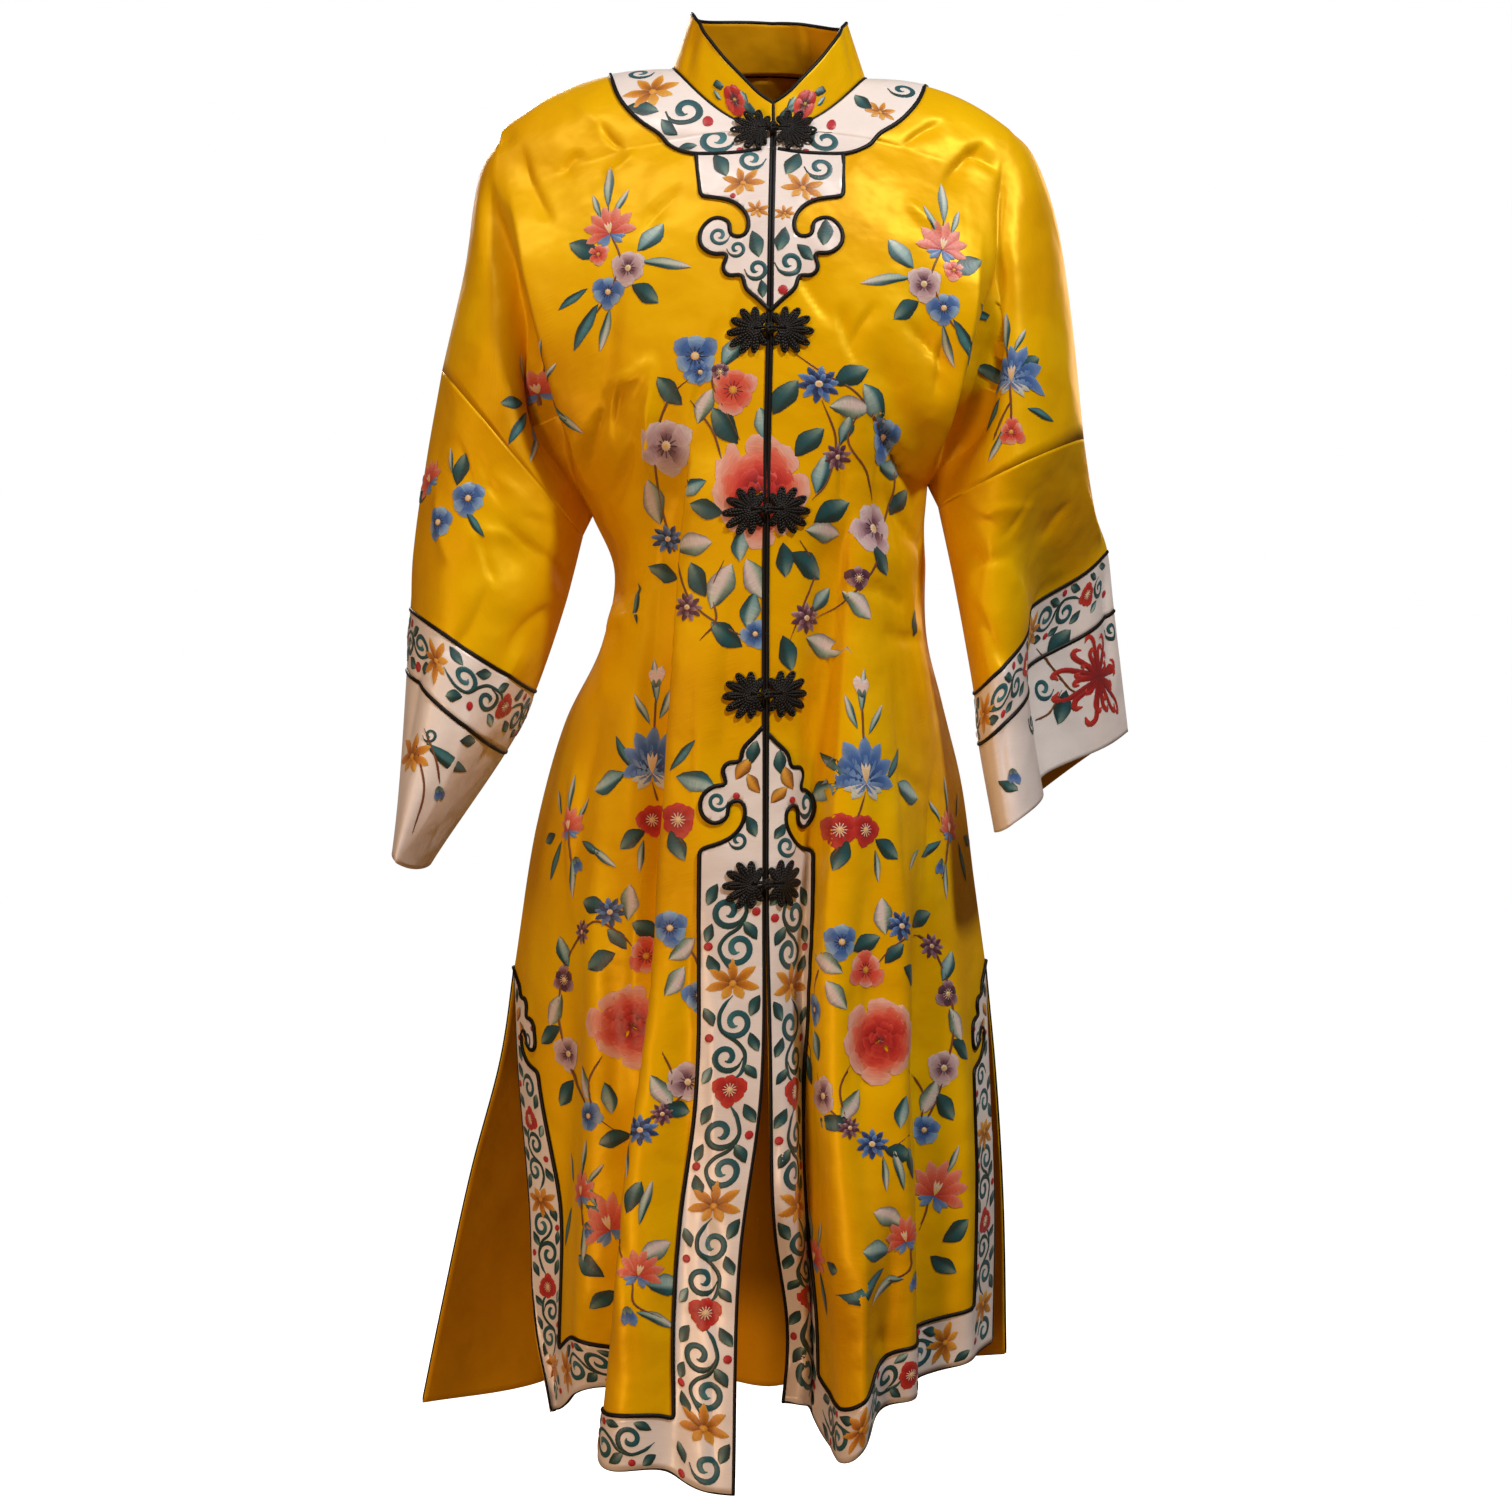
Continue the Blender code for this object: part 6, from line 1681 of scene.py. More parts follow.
@functools.cache
def border_lines():
    """Every white border piece: the node it stands for, its ground, its edge and its inner line."""
    grids = cloth()
    lines = {}
    for side in SIDES:
        front = grids[side, "front"]
        lines["border_" + side] = (front, *front_border(front, HEAD_TOPS[side], SLIT_TOPS[side]))
        lines["yoke_" + side] = (front, *front_yoke(front))
        inner, edge = neck_tab(front, TAB_TIP)
        lines["tab_" + side] = (front, edge, inner)
    lines["border_back"] = (grids["back"], *back_border(grids["back"], SLIT_TOPS))
    lines["yoke_back"] = (grids["back"], *back_yoke(grids["back"]))
    return lines


def outline_of(name):
    """The closed outline of a border piece, without points that repeat."""
    ground, edge, inner = border_lines()[name]
    if name.startswith("tab"):
        loop = np.concatenate([inner, edge])
    elif name == "border_back":
        loop = np.concatenate([edge[::-1], inner[::-1]])
    else:
        loop = np.concatenate([edge, inner])
    apart = np.linalg.norm(loop - np.roll(loop, 1, axis=0), axis=1) > 1e-4
    return ground, loop[apart]


def add_borders():
    """The white pieces: each outline filled with triangles and laid a little over the cloth, so that it
    takes on every fold below it."""
    for name in border_lines():
        ground, loop = outline_of(name)
        found, faces = fill(loop)
        points, above = laid(ground, found, BORDER_LIFT)
        uv = found * GRID_STEP
        piece = add_mesh(name + "_satin", points, faces, "white", uv=uv, normals=above - points)
        thicken(piece, BORDER_THICKNESS)
        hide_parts(name)


def add_piping():
    """Black piping, each a round or flattened tube: along the opening, round every white piece, along the
    hem and slits, at the sleeve bands and round the collar."""
    grids = cloth()
    sizes = bpy.context.scene.robe_sizes
    thick, thin = sizes.piping / 2, sizes.piping / 3.4
    made = {}
    for side in SIDES:
        front = grids[side, "front"]
        parts = []
        rows = np.linspace(NECK_ROWS, front.last_row, 400)
        opening = pairs(front.from_middle(thick * 0.8, rows), rows)
        parts.append(piping_on(front, opening, thick * 0.85, BORDER_LIFT * 0.6))
        for name in WHITE_PIECES:
            _, edge, inner = border_lines()[f"{name}_{side}"]
            if name == "tab":
                inner = np.concatenate([inner, edge[:1]])
            parts.append(piping_on(front, inner, thick, BORDER_LIFT))
        edge = border_lines()["border_" + side][1]
        parts.append(piping_on(front, edge[OPENING_STEPS:], thin, BORDER_LIFT * 0.4))
        made["front_" + side] = joined(parts)
    back = grids["back"]
    inners = [border_lines()[name][2] for name in ("border_back", "yoke_back")]
    parts = [piping_on(back, inner, thick, BORDER_LIFT) for inner in inners]
    parts.append(piping_on(back, border_lines()["border_back"][1], thin, BORDER_LIFT * 0.4))
    made["back"] = joined(parts)
    for side in SIDES:
        sleeve = grids[side, "sleeve"]
        parts = []
        for ring in (2, 3):
            columns = np.arange(0, 2 * ROWS_ABOVE)
            line = pairs(columns, np.full(len(columns), sleeve.row_at(ring)))
            low, high = laid(sleeve, line, 0.0)
            parts.append(tube(low, unit(high - low), thick * 0.95, 0.7, closed=True))
        made["sleeve_" + side] = joined(parts)
    points, normals = collar_grid()
    top = np.concatenate([points[::-1, 0], points[0, 1:-1], points[:, -1]])
    out = np.concatenate([normals[::-1, 0], normals[0, 1:-1], normals[:, -1]])
    rim, out = resampled(top - out * 0.0006, PIPING_STEP, out)
    foot, foot_out = resampled(points[-1] + normals[-1] * 0.0004, PIPING_STEP, normals[-1])
    rim_tube = tube(rim, unit(out), thick * 0.85)
    made["collar"] = joined([rim_tube, tube(foot, unit(foot_out), thick * 0.9, 0.8)])
    for name, (points, faces, uv) in made.items():
        piece = add_mesh("piping_" + name, points, faces, "piping", uv=uv)


class NeckPatch:
    """The ground of the top frog on one side: a grid over the collar's foot and the top of the neck border,
    with the neck seam as its middle row. Columns count outwards from the opening."""

    width, columns, rows, step, lean = 0.033, 6, 3, 0.0065, 0.08

    def __init__(self, panel):
        start = panel.points[NECK_ROWS, 0]
        line = panel.points[NECK_ROWS::-1, 0]
        outs = np.linspace(0, self.width, self.columns + 1)
        away = np.abs(line[:, 0] - start[0])
        seam = np.stack([np.interp(outs, away, line[:, axis]) for axis in range(3)], -1)
        inward = unit(-seam * [1, 1, 0])
        grid = []
        for step in range(self.rows, -self.rows - 1, -1):
            up = step * self.step
            if step > 0:
                grid.append(seam + inward * up * self.lean + [0, 0, up])
                continue
            places = [(*panel.find(abs(point[0]), point[2] + up), BORDER_LIFT) for point in seam]
            grid.append(panel.lay(np.array(places)))
        self.seam_height = seam[:, 2]
        self.points = np.array(grid)
        self.normals = grid_normals(self.points) * -panel.sign

    def place(self, out, height):
        """The column and row at the distance out from the opening and at the height z."""
        column = out / self.width * self.columns
        seam = np.interp(column, range(self.columns + 1), self.seam_height)
        return column, self.rows + (seam - height) / self.step

    def lay(self, flat):
        """Points on the patch for places given as column, row and height over it."""
        return lay_on(self.points, self.normals, flat)


# A frog's flower: where its loops start, then each loop's turn in degrees, its length and its half width.
FROG_FOOT = 0.0088
FROG_PETALS = (
    (0, 0.0205, 0.0026),
    (27, 0.0198, 0.0026),
    (54, 0.0180, 0.0025),
    (84, 0.0152, 0.0024),
    (118, 0.0118, 0.0022),
    (-27, 0.0198, 0.0026),
    (-54, 0.0180, 0.0025),
    (-84, 0.0152, 0.0024),
    (-118, 0.0118, 0.0022),
)


def frog_loops():
    """Nine narrow loops of cord fanned from beside the knot, each with a smaller one in it, as distances
    out from the opening and up from the knot's middle, with their height: ellipses from the fan's foot to
    its tip, wider outwards."""
    loops = []
    turn = np.linspace(0, 2 * math.pi, 30, endpoint=False)
    for degrees, length, width in FROG_PETALS:
        angle = math.radians(degrees)
        for scale, rise in ((1.0, 0.0), (0.5, 0.0006)):
            ahead = length * (0.12 + (0.88 if scale == 1 else 0.72) * (1 - np.cos(turn)) / 2)
            aside = width * scale * np.sin(turn) * (0.45 + 0.55 * (1 - np.cos(turn)) / 2)
            out = FROG_FOOT + ahead * math.cos(angle) - aside * math.sin(angle)
            up = ahead * math.sin(angle) + aside * math.cos(angle)
            loops.append((out, up, 0.0012 + rise + 0.0020 * np.exp(-((ahead / 0.008) ** 2))))
    return loops


def frog_side(ground, middle, base, radius):
    """The looped flower on one side of the opening, level with the height z of its middle, and the cord's
    two strands from its foot to the knot."""
    parts = []
    for out, up, height in frog_loops():
        low, high = laid(ground, pairs(*ground.place(out, middle + up)), base + height)
        parts.append(tube(low, unit(high - low), radius, sides=6, closed=True))
    for up in (-0.0012, 0.0012):
        out = np.linspace(0.0016, FROG_FOOT + 0.004, 10)
        height = base + 0.0028 + 0.0008 * np.sin(np.linspace(0, math.pi, 10))
        low, high = laid(ground, pairs(*ground.place(out, middle + np.full(10, up))), height)
        parts.append(tube(low, unit(high - low), radius * 1.1, sides=6))
    return parts


def wound_knot(middle, radius, cord):
    """A ball button of cord: one closed path that climbs and falls over a ball five times while it goes
    round it four times, so that its strands cross."""
    turn = np.linspace(0, 2 * math.pi, 220, endpoint=False)
    lift = 1.05 * np.sin(5 * turn)
    ball = np.stack([np.cos(lift) * np.cos(4 * turn), np.cos(lift) * np.sin(4 * turn), np.sin(lift)], axis=1)
    ball = ball[:, [0, 2, 1]]
    swell = radius * (1 + 0.12 * np.cos(10 * turn))[:, None]
    return tube(middle + ball * swell * [1, 0.8, 1], ball, cord, sides=6, closed=True)


def add_frogs():
    """Five cord frogs, fastened: the top one bridges the neck seam, the others lie on the fronts."""
    cord = bpy.context.scene.robe_sizes.cord / 2
    for number in (1, *FROG_HEIGHTS):
        height = FROG_HEIGHTS.get(number, NECK_FROG_HEIGHT)
        base = FROG_LIFT_ON_WHITE if number in (1, 5) else FROG_LIFT
        seats = []
        made = {}
        for side in SIDES:
            panel = cloth()[side, "front"]
            ground = NeckPatch(panel) if number == 1 else panel
            made[side] = joined(frog_side(ground, height, base, cord))
            column, row = ground.place(np.zeros(1), height + np.zeros(1))
            seats.append(ground.lay(np.column_stack([column, row, [base + KNOT_HEIGHT]]))[0])
        made["knot"] = wound_knot((seats[0] + seats[1]) / 2, KNOT_RADIUS, cord * 0.95)
        for name, (points, faces, uv) in made.items():
            piece = add_mesh(f"frog_{number}_{name}_cord", points, faces, "cord", uv=uv)
            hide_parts(f"frog_{number}_{name}")


# Embroidery. A motif is a list of patches of satin stitch: grids of points in millimetres, x to the right
# and y up, with a height share, a colour at each point and the stitch direction as uv. Motifs are laid out
# with anchors, and every shape is a plain flower, leaf or scroll of the needleworker's stock.

SILKS = dict(
    red="#BE2420", scarlet="#DA4234", coral="#E8694E", peach="#EFA892", blush="#F4CFC2", wine="#861A24",
    mauve="#7C4C5E", lilac="#CDAEB4", pale="#E9D9D6", plum="#4E2C40", blue="#3C68AE", sky="#8AAEDC",
    navy="#1E2A52", teal="#1F5C66", sea="#4C8E96", mist="#A4C6C6", moss="#1E3C34", sage="#8AA492",
    celadon="#C6D6C4", brown="#6E3A1A", bark="#8A5428", orange="#D8861A", gold="#F2BC4A", cream="#F0E2CC",
    berry="#C62A3C", ink="#22303A",
)

# How long a leaf is sewn, as a share of its size in the tables.
LEAF_FULLNESS = 1.15
# How uneven the outline of a petal or leaf is, as a share of its width.
UNEVEN = 0.11
# Stitches longer than this would stretch across a fold.
TORN = 0.012
# Where the stitches' foot lies over the cloth, and over the panel where a white piece is between.
STITCH_FOOT = 0.0003
WHITE_FOOT = BORDER_LIFT + 0.0002
# How high the stitches stand on the collar.
COLLAR_STITCH = 0.0006
# Millimetres of cloth in a pixel of the photograph.
PIXEL = 0.68
# A motif more pixels than this off the cloth is left out; layers this close in the view lie on each other.
FAR_OFF = 14
LAYERS = 3
# How squarely panels and sleeves must face the view to carry a motif, as the normal's part along y.
FACING = 0.25
SLEEVE_FACING = 0.06
TOWARDS = {"front": -1, "back": 1}
# A patch with more than this share under a white piece is left out, and any other is sewn this much lower.
MOST_UNDER = 0.4
LOWERED = 0.35
# Stems on the satin and in the vine, in pixels and millimetres wide.
STEM_WIDTH = 1.5
VINE_STEM_WIDTH = 2.8


@functools.cache
def silk(name):
    """A silk's colour in linear parts."""
    return np.array(linear(SILKS[name])[:3])


def shaded(names, share):
    """A colour that passes through the named silks as share goes from 0 to 1."""
    stops = np.array([silk(name) for name in names.split()])
    at = np.clip(share, 0, 1) * (len(stops) - 1)
    return np.stack([np.interp(at, range(len(stops)), stops[:, channel]) for channel in range(3)], axis=-1)


def patch(x, y, height, colour, uv):
    """One patch of satin stitch, as grids."""
    return dict(flat=np.stack([x, y], axis=-1), height=height, colour=colour, uv=uv)


def turned(flat, degrees):
    """Flat places turned clockwise about their origin."""
    x, y = flat[..., 0], flat[..., 1]
    cosine, sine = math.cos(math.radians(degrees)), math.sin(math.radians(degrees))
    return np.stack([x * cosine + y * sine, -x * sine + y * cosine], axis=-1)


def blade(
    length, width, degrees=0.0, silks="teal sea", start=(0.0, 0.0), bend=0.0, fullness=0.5, split=False,
    notch=0.0, lift=0.0, count=(8, 5),
):
    """A petal or leaf from its foot to its tip. The half width is a sine of the way along, bent towards the
    tip by fullness (0.5 is even, less is fuller at the tip), and the middle line is an arc that bends to
    one side. Split gives the two halves different silks; notch cuts the tip in."""
    along, aside = np.meshgrid(np.linspace(0, 1, count[0]), np.linspace(-1, 1, count[1]), indexing="ij")
    wide = width / 2 * np.sin(math.pi * along ** (1 / (2 * fullness + 1e-3))) ** 0.75
    wide = wide * (1 + UNEVEN * np.sin(9 * along + 2 * aside + 0.37 * degrees + start[0]))
    x = aside * wide
    y = along * length * (1 - notch * (1 - np.abs(aside)) * along**4)
    turn = math.radians(degrees)
    curl = math.radians(bend) * along
    x, y = x * np.cos(curl) + y * np.sin(curl) * 0.5, y - np.abs(np.sin(curl)) * y * 0.15 - x * np.sin(curl)
    px = start[0] + x * math.cos(turn) + y * math.sin(turn)
    py = start[1] - x * math.sin(turn) + y * math.cos(turn)
    if split:
        halves = silks.split("|")
        colour = np.where((aside > 0)[..., None], shaded(halves[0], along), shaded(halves[-1], along))
        rim = (np.abs(aside) ** 6 * 0.75)[..., None]
        colour = colour * (1 - rim) + silk("moss") * rim
        height = (1 - np.abs(aside) ** 3) * (0.55 + 0.45 * np.clip(np.abs(aside) * 4, 0, 1))
    else:
        colour = shaded(silks, along * 0.85 + 0.3 * np.abs(aside) ** 3 * np.sin(math.pi * along))
        height = 1 - np.abs(aside) ** 3
    height = height * np.clip(np.sin(math.pi * along) * 3, 0, 1) * 0.85 + 0.15 + lift
    return patch(px, py, height, colour, np.stack([y / 1000, x / 1000], axis=-1))


def stroke(points, width, silks="brown", taper=True, lift=-0.25, count=None):
    """A stem or scroll: a strip of stitches along a smooth line through the given points, in
    millimetres."""
    points = np.array(points, float)
    last = len(points) - 1
    at = np.linspace(0, last, count or 5 * len(points))
    slopes = np.gradient(points, axis=0)
    low = np.clip(at.astype(int), 0, last - 1)
    line = hermite((at - low)[:, None], points[low], points[low + 1], slopes[low], slopes[low + 1])
    share = at / last
    ahead = unit(np.gradient(line, axis=0))
    aside = np.stack([-ahead[:, 1], ahead[:, 0]], axis=1)
    side = np.array([-1, -0.4, 0.4, 1])
    wide = width / 2 * (np.clip(np.sin(math.pi * share) * 2.2, 0.25, 1) if taper else np.ones(len(share)))
    spread = line[:, None] + aside[:, None] * (wide[:, None] * side)[..., None]
    colour = np.repeat(shaded(silks, share)[:, None], len(side), axis=1)
    height = np.broadcast_to(1 - side**2, wide.shape + side.shape) * 0.8 + 0.2 + lift
    run = np.concatenate([[0], np.cumsum(np.linalg.norm(np.diff(line, axis=0), axis=1))])
    uv = np.stack(np.broadcast_arrays(run[:, None] / 1000, side * width / 2000), axis=-1)
    return patch(spread[..., 0], spread[..., 1], height, colour, uv)


def spiral(radius, turns=1.4, width=2.2, silks="teal sea", start=(0.0, 0.0), degrees=0.0, tail=(), hand=1):
    """A scroll that winds in from its tail to its eye while its radius shrinks to a quarter."""
    angle = np.linspace(0, turns * 2 * math.pi, int(9 * turns) + 3)
    size = radius * (1 - 0.78 * (angle / angle[-1]) ** 0.8)
    curl = np.stack([hand * size * np.cos(angle), size * np.sin(angle)], axis=1)
    line = np.concatenate([np.array(tail, float).reshape(-1, 2), curl])
    return stroke(turned(line, degrees) + start, width, silks, count=2 * len(line))


def knot(radius, silks="berry red", start=(0.0, 0.0), lift=0.3):
    """A berry or a round of French knots: a dome."""
    ring, turn = np.meshgrid(np.linspace(0, 1, 4), np.linspace(0, 2 * math.pi, 11), indexing="ij")
    x = start[0] + radius * ring * np.cos(turn)
    y = start[1] + radius * ring * np.sin(turn)
    height = np.sqrt(np.clip(1 - ring**2, 0, 1)) * 1.3 + 0.1 + lift
    return patch(x, y, height, shaded(silks, ring), np.stack([y / 1000, x / 1000], axis=-1))


def blossom(size, silks="mauve lilac pale", petals=5, eye="gold cream", ring=None, degrees=0.0, full=0.86):
    """A round blossom of broad petals, shaded from its heart to the rim, with a knotted eye and short
    stamens."""
    parts = []
    tones = silks.split("|")
    for number in range(petals):
        turn = degrees + 360 * number / petals + 7 * math.sin(2.3 * number + size)
        width = full * size * math.sin(math.pi / petals) * (1.05 + 0.12 * math.sin(1.9 * number + size))
        length = size / 2 * (0.97 + 0.11 * math.sin(3.1 * number + 0.7 * size))
        parts.append(blade(length, width, turn, tones[number % len(tones)], fullness=0.33, notch=0.18))
    for number in range(petals * 2):
        turn = math.radians(degrees + 180 * number / petals)
        foot = np.array([math.sin(turn), math.cos(turn)]) * size * 0.06
        parts.append(stroke([foot, foot * 2.2, foot * 3.4], size * 0.030, ring or eye, lift=0.5, count=5))
    parts.append(knot(size * 0.09, eye, lift=0.8))
    return parts


def daisy(size, silks="navy blue sky", petals=11, eye="gold cream", tilt=1.0):
    """A many-petalled daisy: narrow petals in two rounds, seen a little from the side when tilt is under
    1."""
    parts = []
    tones = silks.split("|")
    for reach, start, lift in ((1.0, 0.0, 0.0), (0.62, 0.5, 0.4)):
        length = size / 2 * reach
        for number in range(petals):
            turn = 360 * (number + start) / petals
            tone = tones[number % len(tones)]
            parts.append(blade(length, size * 0.17, turn, tone, fullness=0.34, lift=lift, count=(7, 5)))
    parts.append(knot(size * 0.10, eye, lift=0.9))
    for part in parts:
        part["flat"] = part["flat"] * [1.0, tilt]
    return parts


def peony(size):
    """A full peony: rounds of broad scalloped petals that stand on each other, pale outside and deep red
    inside."""
    rounds = (
        (8, 0.17, 0.33, 0.36, 0, "scarlet coral peach blush", 0.0),
        (7, 0.13, 0.27, 0.32, 20, "red scarlet coral peach", 0.3),
        (6, 0.10, 0.24, 0.29, 5, "wine red scarlet coral", 0.6),
        (5, 0.05, 0.20, 0.25, 30, "wine wine red scarlet coral", 0.9),
        (4, 0.01, 0.15, 0.20, 12, "wine red scarlet", 1.2),
        (3, 0.00, 0.09, 0.13, 50, "wine wine red coral", 1.5),
    )
    parts = []
    for count, foot, reach, wide, start, silks, lift in rounds:
        for number in range(count):
            turn = start + 360 * number / count + 6 * math.sin(5.1 * number + start)
            angle = math.radians(turn)
            place = (size * foot * math.sin(angle), size * foot * math.cos(angle))
            length = size * reach * (1 + 0.12 * math.sin(3.7 * number + start))
            bend = 14 * (-1) ** number
            parts.append(blade(length, size * wide, turn, silks, place, bend, 0.28, notch=0.16, lift=lift))
    return parts


def lotus(size, silks="red coral peach", calyx="blue sky"):
    """A flower seen from the side: pointed petals fanned upwards, curling outwards, over a small calyx."""
    parts = []
    petals = (
        (-78, 0.52, 0.20, -30), (78, 0.52, 0.20, 30), (-50, 0.58, 0.22, -14), (50, 0.58, 0.22, 14),
        (-24, 0.60, 0.22, -6), (24, 0.60, 0.22, 6), (0, 0.62, 0.22, 0),
    )
    for turn, length, wide, bend in petals:
        lift = abs(turn) / 200
        parts.append(blade(size * length, size * wide, turn, silks, bend=bend, fullness=0.42, lift=lift))
    for degrees in (-112, -140, 140, 112):
        parts.append(blade(size * 0.30, size * 0.13, degrees, calyx, fullness=0.45))
    for degrees in (-14, 0, 14):
        stamen = blade(size * 0.26, size * 0.05, degrees, "gold cream", fullness=0.4, lift=1.0, count=(5, 3))
        parts.append(stamen)
    return parts


def lily(size, silks="brown orange gold"):
    """An orange lily of the borders: pointed petals spread like a hand, the lower ones golden."""
    parts = []
    petals = (
        (-95, 0.50, silks), (95, 0.50, silks), (-52, 0.52, silks), (52, 0.52, silks), (0, 0.46, silks),
        (-138, 0.34, "orange gold"), (138, 0.34, "orange gold"),
    )
    for turn, length, tone in petals:
        parts.append(blade(size * length, size * 0.17, turn, tone, bend=turn / 9, fullness=0.46))
    parts.append(knot(size * 0.07, "gold orange", lift=0.6))
    return parts


def spider(size, silks="wine red scarlet"):
    """A chrysanthemum with long thin petals that curl at their ends."""
    parts = []
    for number in range(24):
        turn = 15 * number + 7 * math.sin(2.3 * number)
        reach = size * (0.36 + 0.14 * math.sin(1.7 * number))
        aside = (-1) ** number * reach
        straight = [(0, 0), (0, reach * 0.5), (0, reach * 0.85)]
        line = np.array([*straight, (aside * 0.14, reach), (aside * 0.24, reach * 0.86)])
        parts.append(stroke(turned(line, turn), size * 0.055, silks, lift=0.2, count=14))
    return parts


def bud(size, silks="blush pale", calyx="moss sage"):
    """A closed bud: two petals and two small calyx leaves."""
    return [
        blade(size, size * 0.5, -10, silks, fullness=0.40, bend=-8),
        blade(size * 0.9, size * 0.42, 12, silks, fullness=0.40, bend=8, lift=0.2),
        blade(size * 0.45, size * 0.24, -22, calyx, lift=0.4),
        blade(size * 0.45, size * 0.24, 22, calyx, lift=0.4),
    ]


def leaf(size, silks="moss teal|sea sage", bend=18.0, slim=0.5):
    """A leaf about its middle, with a darker and a lighter half."""
    long = size * LEAF_FULLNESS
    return [blade(long, long * slim, 0, silks, bend=bend, split=True, start=(0, -long / 2), fullness=0.48)]


def moved(parts, place=(0.0, 0.0), degrees=0.0, mirror=False):
    """A motif turned clockwise, mirrored if asked, and moved."""
    way = [-1 if mirror else 1, 1]
    return [{**part, "flat": turned(part["flat"] * way, degrees) + place} for part in parts]


def stitched(placed):
    """One mesh from patches whose points are already in space: points, faces, colours and uv. Faces that
    would stretch from one layer of a fold to the next are left out."""
    points, faces, colours, uvs, start = [], [], [], [], 0
    for part in placed:
        rows, columns = part["height"].shape
        corners = np.arange(rows * columns).reshape(rows, columns) + start
        points.append(part["points"].reshape(-1, 3))
        colours.append(part["colour"].reshape(-1, 3))
        uvs.append(part["uv"].reshape(-1, 2))
        cells = grid_faces(corners)
        ends = part["points"].reshape(-1, 3)[cells - start]
        across = np.cross(ends[:, 2] - ends[:, 0], ends[:, 3] - ends[:, 1])
        size = np.linalg.norm(across, axis=1)
        longest = np.linalg.norm(ends - np.roll(ends, 1, axis=1), axis=-1).max(axis=1)
        cells = cells[(size > 1e-9) & (longest < TORN)]
        downwards = (across * part["out"]).sum() < 0
        faces.append(cells[:, ::-1] if downwards else cells)
        start += rows * columns
    colours = np.concatenate(colours)
    colours = np.concatenate([colours, np.ones((len(colours), 1))], axis=1)
    return np.concatenate(points), np.concatenate(faces).tolist(), colours, np.concatenate(uvs)


class View:
    """Finds the place on a ground that the photograph's view shows at a pixel, and lays motifs round it,
    flat on the cloth there: right stays right and up stays up in the view."""

    def __init__(self, ground, face, sleeve=False):
        self.ground = ground
        self.face = face
        points = ground.points
        facing = ground.normals[..., 1] * TOWARDS[face] > (SLEEVE_FACING if sleeve else FACING)
        if not sleeve:
            facing[:, ground.width + 1 :] &= (ground.places <= ARMPIT)[:, None]
        self.rows, self.columns = np.nonzero(facing)
        self.places = seen(points[facing], face)
        self.depths = points[facing][:, 1] * TOWARDS[face]
        self.tree = kdtree.KDTree(len(self.places))
        for index, place in enumerate(self.places.tolist()):
            self.tree.insert((place[0], place[1], 0), index)
        self.tree.balance()
        self.along_columns = np.gradient(points, axis=1)
        self.along_rows = np.gradient(points, axis=0)

    def anchor(self, across, down):
        """The nearest column and row to a pixel, taking the frontmost layer where the cloth overlaps
        itself, and how many pixels off it is."""
        near = self.tree.find_n((across, down, 0), 12)
        closest = near[0][2]
        pool = [index for _, index, apart in near if apart < closest + LAYERS]
        best = max(pool, key=lambda index: self.depths[index])
        return int(self.columns[best]), int(self.rows[best]), closest

    def off(self, across, down, column, row):
        """How far a pixel lies from a place of the grid, in millimetres right and up."""
        return (np.array([across, down]) - seen(self.ground.points[row, column], self.face)) * [PIXEL, -PIXEL]

    def steps(self, column, row):
        """The 2 by 2 matrix that turns millimetres right and up on the cloth into columns and rows."""
        across = self.along_columns[row, column] * 1000
        down = self.along_rows[row, column] * 1000
        normal = self.ground.normals[row, column]
        right = np.array([1.0, 0.0, 0.0])
        right = unit(right - normal * (right @ normal))
        up = np.cross(right, normal)
        up = up * np.sign(up[2] + 1e-9)
        return np.linalg.inv([[across @ right, down @ right], [across @ up, down @ up]])


def lay_patches(ground, parts, columns_rows, height, base=0.0):
    """Lays patches whose flat places are already columns and rows on the cloth."""
    placed = []
    for part, flat in zip(parts, columns_rows):
        flat = flat.reshape(-1, 2)
        over = base + part["height"].ravel() * height
        low = ground.lay(np.column_stack([flat, over]))
        foot, high = laid(ground, flat[:1], over[:1])
        out = unit(high - foot)[0]
        placed.append({**part, "points": low.reshape(part["height"].shape + (3,)), "out": out})
    return placed


